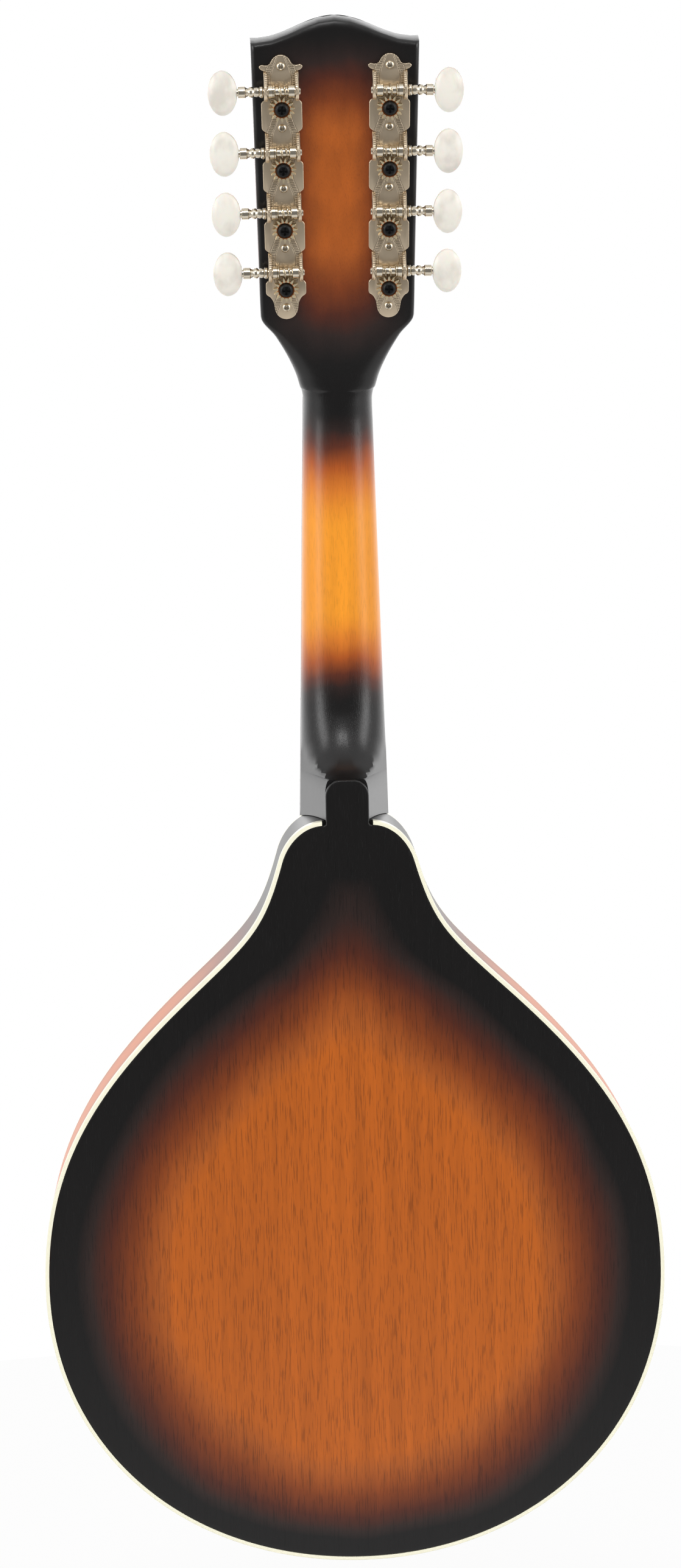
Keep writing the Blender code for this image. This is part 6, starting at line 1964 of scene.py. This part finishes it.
def winding_shape(side, course):
    """A string's loops round its post, both ends turned into it."""
    radius = STRING_RADII[course]
    around = POST_WAIST_RADIUS + radius + WINDING_SEAT
    pitch = 2 * radius + WINDING_GAP
    first = HEAD_THICKNESS + BUSHING_RISE + WINDING_START + radius + pitch
    points = []
    steps = 28
    for i in range(WINDING_TURNS * steps + 1):
        turn = i / steps
        angle = math.pi - 2 * math.pi * turn if side > 0 else 2 * math.pi * turn
        points.append(Vector((around * math.cos(angle), around * math.sin(angle), -first - pitch * turn)))
    ends = [Vector((p.x, p.y, 0)) * (1 - 0.6 * POST_WAIST_RADIUS / around) for p in (points[0], points[-1])]
    return tube([points[0] - ends[0]] + points + [points[-1] - ends[1]], radius, 8)


def tuner_number(side, post):
    """Tuners 1 to 4 are on the bass side from the nut up, 5 to 8 on the treble side."""
    return post + 1 + (POSTS_PER_SIDE if side > 0 else 0)


def string_of(side, post):
    """The string, 0 to 7 from the lowest, that winds on a post; the outer ones take the near posts."""
    return post if side < 0 else 7 - post


def each_tuner():
    for side, _ in SIDES:
        for post in range(POSTS_PER_SIDE):
            yield side, post, tuner_number(side, post)


def copied(name, mesh, matrix):
    """A copy of a mesh, moved to its place."""
    copy = mesh.copy()
    copy.name = name
    copy.transform(matrix)
    return copy


def build_keys():
    """The worm shafts and their buttons."""
    worm = meshed("worm", together(turned(worm_profile(), 32), worm_thread()), 28)
    button = meshed("button", button_shape(), 20)
    for side, post, number in each_tuner():
        place = worm_frame(side, post)
        shaft = f"worm_shaft_{number}"
        oval = f"button_{number}"
        pieces = ((shaft, f"{shaft}_cut", worm, "nickel"), (oval, f"{oval}_oval", button, "pearloid"))
        for node, name, mesh, finish_name in pieces:
            dress(name, copied(name, mesh, place), finish_name, f"key_{number}", replaces=[node])


def build_posts():
    """The string posts, their gears, the black gear screws and the strings' windings."""
    post_mesh = meshed("post", post_shape())
    upward = -math.pi / 2
    gears = {1: gear_mesh(upward + math.pi / GEAR_TEETH), -1: gear_mesh(upward)}
    disc = meshed("gear_disc", gear_disc())
    seat = Matrix.Translation((0, 0, GEAR_HIGH - 0.0003))
    screw = meshed("gear_screw", moved(seat, screw_head(GEAR_SCREW_RADIUS, 0.0016, 0.35)))
    for side, post, number in each_tuner():
        place = post_frame(side, post)
        body = f"post_{number}"
        pieces = (
            (f"tuner_post_{number}_turned", post_mesh, "nickel", "nickel", [f"tuner_post_{number}"]),
            (f"gear_{number}", gears[side], "gear", "nickel", ()),
            # The gear's middle takes the darker coppery finish, painted shade between the teeth
            (f"gear_disc_{number}", disc, "gear_root", "nickel", ()),
            (f"gear_screw_{number}", screw, "black_screw", "black_gloss", ()),
        )
        for name, mesh, finish_name, slot, nodes in pieces:
            dress(name, copied(name, mesh, place), finish_name, body, slot, nodes)
        course = string_of(side, post) // 2
        winding = meshed(f"winding_{number}", moved(place, winding_shape(side, course)))
        dress(f"winding_{number}", winding, wire_finish(course), body)


# Strings, bridge and tailpiece


def string_x(string, course_spacing, pair_spacing):
    course, side = divmod(string, 2)
    return (course - 1.5) * course_spacing + (side - 0.5) * pair_spacing


def saddle_contact(x):
    """The middle of a string where it crosses the saddle."""
    return NECK_FRAME @ Vector((x, -BRIDGE_STRING_RISE, -SCALE_LENGTH / math.cos(NECK_ANGLE)))


def tail_plate_y(z):
    return arch_y(0, max(z, TAIL_Z + PLATE_INSET + 0.001)) - 2 * JOIN


def foot_top():
    """The y of the bridge foot's raised middle."""
    return arch_y(0, -SCALE_LENGTH) - JOIN - BRIDGE_FOOT_HEIGHT


def saddle_under():
    """The y of the saddle's underside."""
    return saddle_contact(0).y + SADDLE_HEIGHT


def stud_frame(side, y):
    """A stud's own frame, with z along it and away from the top."""
    return Matrix.Translation((side * STUD_SPACING / 2, y, saddle_contact(0).z)) @ UPRIGHT


def hook_place(string):
    return string_x(string, BRIDGE_SPACING[0] * 0.82, BRIDGE_SPACING[1] * 1.35)


def wire_finish(course):
    """The two lower courses are wound, the others plain."""
    return "bronze" if course < 2 else "steel"


def build_strings():
    """Eight strings from their hooks over the saddle and the nut to their posts."""
    courses = ("g", "d", "a", "e")
    hook_z = TAIL_Z + HOOK_FROM_END
    hook_y = tail_plate_y(hook_z) - TAIL_PLATE_THICKNESS - HOOK_HEIGHT * 0.5
    over = -FINGERBOARD_THICKNESS - STRING_OVER_NUT
    half_saddle = Vector((0, 0, SADDLE_WIDTH / 2))
    for side, post, _ in each_tuner():
        string = string_of(side, post)
        course, pair = divmod(string, 2)
        radius = STRING_RADII[course]
        hook = Vector((hook_place(string), hook_y, hook_z + HOOK_RADIUS + radius + JOIN))
        bridge = saddle_contact(string_x(string, *BRIDGE_SPACING))
        nut_x = string_x(string, *NUT_SPACING)
        nut_ends = [NECK_FRAME @ Vector((nut_x, over, z)) for z in (JOIN + 0.0008, NUT_THICKNESS - 0.0008)]
        around = POST_WAIST_RADIUS + radius + JOIN
        start = HEAD_THICKNESS + BUSHING_RISE + WINDING_START + radius
        end = post_frame(side, post) @ Vector((-side * around, 0.0, -start))
        wire = tube([hook, bridge - half_saddle, bridge + half_saddle, *nut_ends, end], radius)
        name = f"string_{courses[course]}{pair + 1}"
        dress(f"{name}_wire", meshed(name, wire), wire_finish(course), replaces=[name])


def build_bridge_foot():
    """The foot, fitted to the arch, high between its studs and thin toward its ends."""
    z = saddle_contact(0).z
    high = foot_top()
    inner = STUD_SPACING / 2 + 0.010
    columns = (-1.0, -0.94, -0.8, -0.4, 0.0, 0.4, 0.8, 0.94, 1.0)
    front = []
    back = []
    for i in range(61):
        x = (i / 30 - 1) * BRIDGE_LENGTH / 2
        share = abs(x) / (BRIDGE_LENGTH / 2)
        half = BRIDGE_WIDTH / 2 * (1 - 0.35 * share**3)
        ends = [z + c * half for c in columns]
        seat = [arch_y(x, e) - JOIN for e in ends]
        wing = seat[4] - 0.0030
        blend = min(1.0, max(0.0, (abs(x) - inner) / 0.006))
        level = high + (wing - high) * blend * blend * (3 - 2 * blend)
        rim = [0.0006 * abs(c) ** 8 for c in columns]
        front.append([(x, min(level + r, s - 0.0012), e) for r, s, e in zip(rim, seat, ends)])
        back.append([(x, y, e) for y, e in zip(seat, ends)])
    foot = meshed("bridge_foot", sheet(front, back))
    dress("bridge_foot_fitted", foot, "ebony", replaces=["bridge_foot"])


def build_studs():
    """The two threaded studs between the foot and the saddle."""
    low = -foot_top() - 0.001
    high = -saddle_under() + STUD_REACH
    steps = 32
    profile = [(0, high)]
    for k in range(steps + 1):
        radius = STUD_RADIUS - (0.0002 if k % 2 else 0.0)
        profile.append((radius, high + (low - high) * k / steps))
    profile.append((0, low))
    stud = turned(profile, 20)
    studs = [moved(stud_frame(side, 0), stud) for side, _ in SIDES]
    dress("bridge_studs", meshed("bridge_studs", together(*studs)), "brass")


def build_wheels():
    """The knurled thumbwheels under the saddle."""
    bore = STUD_RADIUS + BEARING_GAP
    rim = WHEEL_RADIUS - 0.0003
    profile = [
        (bore, WHEEL_THICKNESS),
        (rim - 0.0004, WHEEL_THICKNESS),
        (rim, WHEEL_THICKNESS - 0.0003),
        (rim, 0.0003),
        (rim - 0.0004, 0),
        (bore, 0),
    ]
    disc = turned(profile, 48, cyclic=True)
    sunk = rim - 0.0002
    ridge = ((sunk, -0.00035), (WHEEL_RADIUS, -0.00008), (WHEEL_RADIUS, 0.00008), (sunk, 0.00035))
    rings = []
    low = ((0.0003, 0.0), (0.0005, 1.0))
    high = [(WHEEL_THICKNESS - level, share) for level, share in reversed(low)]
    for level, share in (*low, *high):
        rings.append([(sunk + (x - sunk) * share, y, level) for x, y in ridge])
    knurl = meshed("knurl", skin(rings))
    knurls = grown(ring_tree(), knurl, "brass", Count=tuner_sizes().knurls, Turn=0.0)
    wheel = joined("wheel", meshed("wheel_disc", disc), knurls)
    for side, name in SIDES:
        place = stud_frame(side, saddle_under() + JOIN + WHEEL_THICKNESS)
        made = copied(f"thumbwheel_{name}_knurled", wheel, place)
        dress(f"thumbwheel_{name}_knurled", made, "brass", f"wheel_{name}", replaces=[f"thumbwheel_{name}"])


def build_saddle():
    saddle = softened("bridge_saddle_fitted", "bridge_saddle", 0.00025, 40)
    dress("bridge_saddle_fitted", saddle, "ebony", "saddle", replaces=["bridge_saddle"])


def tail_plate():
    """The stamped plate: a strap that hangs over the body's end and widens to the plate proper."""
    end_z = TAIL_Z - JOIN
    strap = EDGE_FRONT_Y + TAIL_STRAP_DROP
    path = [
        (strap, end_z, TAIL_STRAP_HALF * 0.72),
        (strap - 0.0015, end_z, TAIL_STRAP_HALF * 0.90),
        (strap - 0.0040, end_z, TAIL_STRAP_HALF),
        (EDGE_FRONT_Y + 0.0008, end_z, TAIL_STRAP_HALF),
        (EDGE_FRONT_Y - JOIN, end_z, TAIL_STRAP_HALF),
    ]
    for step in range(1, 25):
        distance = TAIL_REACH * step / 24
        z = TAIL_Z + distance
        half = TAIL_STRAP_HALF + (TAIL_PLATE_HALF - TAIL_STRAP_HALF) * min(1.0, distance / 0.018)
        path.append((tail_plate_y(z), z, half))
    front = []
    back = []
    for i, (y, z, half) in enumerate(path):
        before = path[max(i - 1, 0)]
        after = path[min(i + 1, len(path) - 1)]
        run = Vector((after[0] - before[0], after[1] - before[1])).normalized()
        out = Vector((-run.y, run.x)) * TAIL_PLATE_THICKNESS
        back.append([(x, y, z) for x in (-half, 0, half)])
        front.append([(x, y + out.x, z + out.y) for x in (-half, 0, half)])
    return sheet(front, back)


def build_tail_plate():
    """The stamped plate with a hook for each string."""
    hook_z = TAIL_Z + HOOK_FROM_END
    foot = 0.0006 - tail_plate_y(hook_z)
    top = TAIL_PLATE_THICKNESS + HOOK_HEIGHT - tail_plate_y(hook_z)
    neck = HOOK_RADIUS * 0.8
    profile = [(0, top), (HOOK_RADIUS, top - 0.0002), (HOOK_RADIUS, top - 0.0006)]
    profile += [(neck, top - 0.001), (neck, foot), (0, foot)]
    hook = turned(profile, 16)
    hooks = []
    for string in range(2 * POSTS_PER_SIDE):
        hooks.append(moved(Matrix.Translation((hook_place(string), 0, hook_z)) @ UPRIGHT, hook))
    plate = meshed("tailpiece_plate", together(tail_plate(), *hooks))
    dress("tailpiece_plate_stamped", plate, "nickel", replaces=["tailpiece_plate"])


def build_tail_cover():
    """The domed cover over the strings' loops, open toward the bridge."""
    front = []
    back = []
    for i in range(33):
        t = i / 32
        z = TAIL_Z - 0.004 + (COVER_REACH + 0.004) * t
        low = tail_plate_y(max(z, TAIL_Z + 0.002)) - TAIL_PLATE_THICKNESS - 2 * JOIN
        rise = COVER_RISE * math.sin(math.radians(20 + 70 * min(1.0, t * 1.6)))
        half = COVER_HALF * (0.80 + 0.20 * math.sin(math.pi * min(1.0, t * 1.3 + 0.2) / 1.4))
        front_row = []
        back_row = []
        for j in range(33):
            share = math.sin((j / 16 - 1) * math.pi / 2)
            dome = rise * (1 - abs(share) ** 4)
            front_row.append((share * half, low - dome - COVER_THICKNESS, z))
            back_row.append((share * half, low - dome, z))
        front.append(front_row)
        back.append(back_row)
    cover = meshed("tailpiece_cover", sheet(front, back))
    dress("tailpiece_cover_domed", cover, "nickel", replaces=["tailpiece_cover"])


def dress_inside():
    """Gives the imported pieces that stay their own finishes."""
    blocks = ("neck_block", "tail_block")
    bars = ("tone_bar_bass", "tone_bar_treble", "back_brace_upper", "back_brace_lower")
    for node in blocks + bars:
        paint_node(node, "inside_spruce")
    paint_node("truss_rod", "steel")


def paint_node(node, finish_name):
    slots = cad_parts[node].material_slots
    if not slots:
        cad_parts[node].data.materials.append(finish_of(finish_name))
    for slot in slots:
        slot.material = finish_of(finish_name)


# The studio


def build_camera():
    """The photograph's camera: 1.5 m behind the back, toward its treble side, looking slightly down."""
    data = bpy.data.cameras.new("camera")
    data.lens = 83.85
    data.sensor_width = 36
    data.clip_start = 0.05
    data.clip_end = 50
    camera = linked("camera", data)
    right = Vector((-0.99937629, 0.03028063, -0.01816916))
    up = Vector((-0.02156339, -0.11582756, 0.99303524))
    back = Vector((0.02796525, 0.99280766, 0.11640827))
    place = Vector((0.04490, 1.53722, 0.01697))
    rows = [(right[i], up[i], back[i], place[i]) for i in range(3)]
    camera.matrix_world = Matrix((*rows, (0, 0, 0, 1)))
    bpy.context.scene.camera = camera


def build_world():
    """White behind everything. For reflections the room is dim round the camera and brightest behind."""
    world = bpy.data.worlds.new("studio")
    bpy.context.scene.world = world
    world.use_nodes = True
    tree = world.node_tree
    rays = add(tree, "ShaderNodeLightPath").outputs
    _, toward_camera, up = axes(tree, add(tree, "ShaderNodeTexCoord").outputs["Generated"])
    low = eased(tree, up, -0.64, -0.95)
    high = eased(tree, up, 0.25, 0.70)
    open_part = scaled(tree, low, 0.45, product(tree, high, 0.60))
    dimmed = product(tree, eased(tree, toward_camera, 0.35, 0.80), minus(tree, 1.0, open_part))
    behind = eased(tree, toward_camera, -0.20, -0.75)
    overhead = scaled(tree, eased(tree, up, 0.45, 0.20), 1.35, -0.75)
    brighter = scaled(tree, behind, overhead, 1.0)
    reflected = scaled(tree, dimmed, -0.76, brighter)
    seen = maths(tree, "MAXIMUM", rays["Is Camera Ray"], rays["Is Transmission Ray"])
    plain = add(tree, "ShaderNodeMix", {0: rays["Is Glossy Ray"], 2: 0.44, 3: reflected}).outputs[0]
    strength = add(tree, "ShaderNodeMix", {0: seen, 2: plain, 3: 1.0}).outputs[0]
    background = tree.nodes["Background"]
    background.inputs[0].default_value = (1, 1, 1, 1)
    tree.links.new(strength, background.inputs[1])


def build_floor():
    """A pale round floor below the hanging instrument, near white to the camera but for its shadow."""
    radius = 0.75
    z = TAIL_Z - 0.12
    ring = [(radius * math.cos(angle), radius * math.sin(angle), z) for angle in round_angles(64)]
    mesh = bpy.data.meshes.new("floor")
    mesh.from_pydata(ring, [], [list(range(len(ring)))])

    def pattern(tree):
        return {"Normal": bumped(tree, noise(tree, (0.002, 0.002, 0.002), 2.0), 0.00002)}

    values = {"Base_Color": hue("floor"), "Roughness": 0.9, "Specular_IOR_Level": 0.1}
    material = finish("matt white paper", tree_of=pattern, **values)
    tree = material.node_tree
    white = add(tree, "ShaderNodeEmission", {"Color": (1, 1, 1, 1), "Strength": 1.0}).outputs[0]
    rays = add(tree, "ShaderNodeLightPath").outputs
    seen = maths(tree, "MAXIMUM", rays["Is Camera Ray"], rays["Is Glossy Ray"])
    links = {0: product(tree, seen, 0.82), 1: tree.nodes["Principled BSDF"].outputs[0], 2: white}
    both = add(tree, "ShaderNodeMixShader", links).outputs[0]
    tree.links.new(both, tree.nodes["Material Output"].inputs[0])
    mesh.materials.append(material)
    linked("floor", mesh)


def build_lamp(name, place, aim, width, height, power):
    """A soft box that faces a point."""
    data = bpy.data.lights.new(name, "AREA")
    data.shape = "RECTANGLE"
    data.size = width
    data.size_y = height
    data.energy = power
    lamp = linked(name, data)
    lamp.location = place
    lamp.rotation_euler = (Vector(aim) - Vector(place)).to_track_quat("-Z", "Y").to_euler()


def build_lamps():
    """Soft boxes on both sides of the camera, one above it, and one on the strings' side."""
    aim = (0, 0, -0.15)
    build_lamp("lamp_left", (1.25, 0.80, 0.30), aim, 0.6, 1.2, 10.5)
    build_lamp("lamp_right", (-1.25, 0.80, 0.30), aim, 0.6, 1.2, 10.5)
    build_lamp("lamp_above", (0.10, 1.35, 1.15), aim, 0.4, 0.4, 6.0)
    build_lamp("lamp_front", (0.0, -1.6, 0.7), aim, 1.2, 1.2, 12.0)


# Operators


class MandolinStep:
    """What every step's operator does: it runs the step's functions in order."""

    bl_options = {"REGISTER", "UNDO"}

    def execute(self, context):
        for build in self.steps:
            build()
        return {"FINISHED"}


class MANDOLIN_OT_finishes(MandolinStep, bpy.types.Operator):
    """Makes every wood, metal and plastic finish"""

    bl_idname = "mandolin.finishes"
    bl_label = "Make Finishes"
    steps = (make_finishes,)


class MANDOLIN_OT_body(MandolinStep, bpy.types.Operator):
    """Builds the back, ribs, bindings and arched top"""

    bl_idname = "mandolin.body"
    bl_label = "Build Body"
    steps = (build_back_plate, build_ribs, build_bindings, build_top_plate, dress_inside)


class MANDOLIN_OT_neck(MandolinStep, bpy.types.Operator):
    """Builds the neck with its headstock, the fingerboard, its frets and the nut"""

    bl_idname = "mandolin.neck"
    bl_label = "Build Neck"
    steps = (build_neck, build_fingerboard, build_frets, build_dots, build_nut)


class MANDOLIN_OT_headstock_face(MandolinStep, bpy.types.Operator):
    """Builds the veneer, the ferrules and the truss-rod cover"""

    bl_idname = "mandolin.headstock_face"
    bl_label = "Build Headstock Face"
    steps = (build_veneer, build_ferrules, build_truss_rod_cover)


class MANDOLIN_OT_tuners(MandolinStep, bpy.types.Operator):
    """Builds the plates, worm shafts, buttons, posts, gears and windings"""

    bl_idname = "mandolin.tuners"
    bl_label = "Build Tuners"
    steps = (build_tuner_plates, build_keys, build_posts)


class MANDOLIN_OT_strings(MandolinStep, bpy.types.Operator):
    """Builds the eight strings"""

    bl_idname = "mandolin.strings"
    bl_label = "Build Strings"
    steps = (build_strings,)


class MANDOLIN_OT_bridge(MandolinStep, bpy.types.Operator):
    """Builds the bridge, its thumbwheels and the tailpiece"""

    bl_idname = "mandolin.bridge"
    bl_label = "Build Bridge and Tailpiece"
    steps = (
        build_bridge_foot,
        build_studs,
        build_wheels,
        build_saddle,
        build_tail_plate,
        build_tail_cover,
    )


class MANDOLIN_OT_stage(MandolinStep, bpy.types.Operator):
    """Sets the camera, the white world, the floor and the lamps"""

    bl_idname = "mandolin.stage"
    bl_label = "Build Studio"
    steps = (build_camera, build_world, build_floor, build_lamps)


OPERATORS = (
    MANDOLIN_OT_finishes,
    MANDOLIN_OT_body,
    MANDOLIN_OT_neck,
    MANDOLIN_OT_headstock_face,
    MANDOLIN_OT_tuners,
    MANDOLIN_OT_strings,
    MANDOLIN_OT_bridge,
    MANDOLIN_OT_stage,
)


class MANDOLIN_PT_build(bpy.types.Panel):
    """Lists the steps that build the mandolin."""

    bl_idname = "MANDOLIN_PT_build"
    bl_label = "A-Style Mandolin"
    bl_space_type = "VIEW_3D"
    bl_region_type = "UI"
    bl_category = "Mandolin"

    def draw(self, context):
        for item in OPERATORS:
            self.layout.operator(item.bl_idname)
        for group in (context.scene.mandolin_sizes, context.scene.mandolin_tuner_sizes):
            box = self.layout.box()
            for name in group.__annotations__:
                box.prop(group, name)
        box = self.layout.box()
        for name in MandolinColours.__annotations__:
            box.prop(context.scene.mandolin_colours, name)


GROUPS = (MandolinSizes, MandolinTunerSizes, MandolinColours)


def register():
    for item in GROUPS + OPERATORS + (MANDOLIN_PT_build,):
        bpy.utils.register_class(item)
    bpy.types.Scene.mandolin_sizes = PointerProperty(type=MandolinSizes)
    bpy.types.Scene.mandolin_tuner_sizes = PointerProperty(type=MandolinTunerSizes)
    bpy.types.Scene.mandolin_colours = PointerProperty(type=MandolinColours)


def unregister():
    del bpy.types.Scene.mandolin_colours
    del bpy.types.Scene.mandolin_tuner_sizes
    del bpy.types.Scene.mandolin_sizes
    for item in reversed(GROUPS + OPERATORS + (MANDOLIN_PT_build,)):
        bpy.utils.unregister_class(item)


def main():
    register()
    bpy.context.scene.view_settings.view_transform = "Standard"
    for step in ("finishes", "body", "neck", "headstock_face", "tuners", "strings", "bridge", "stage"):
        getattr(bpy.ops.mandolin, step)()


if __name__ == "__main__":
    main()
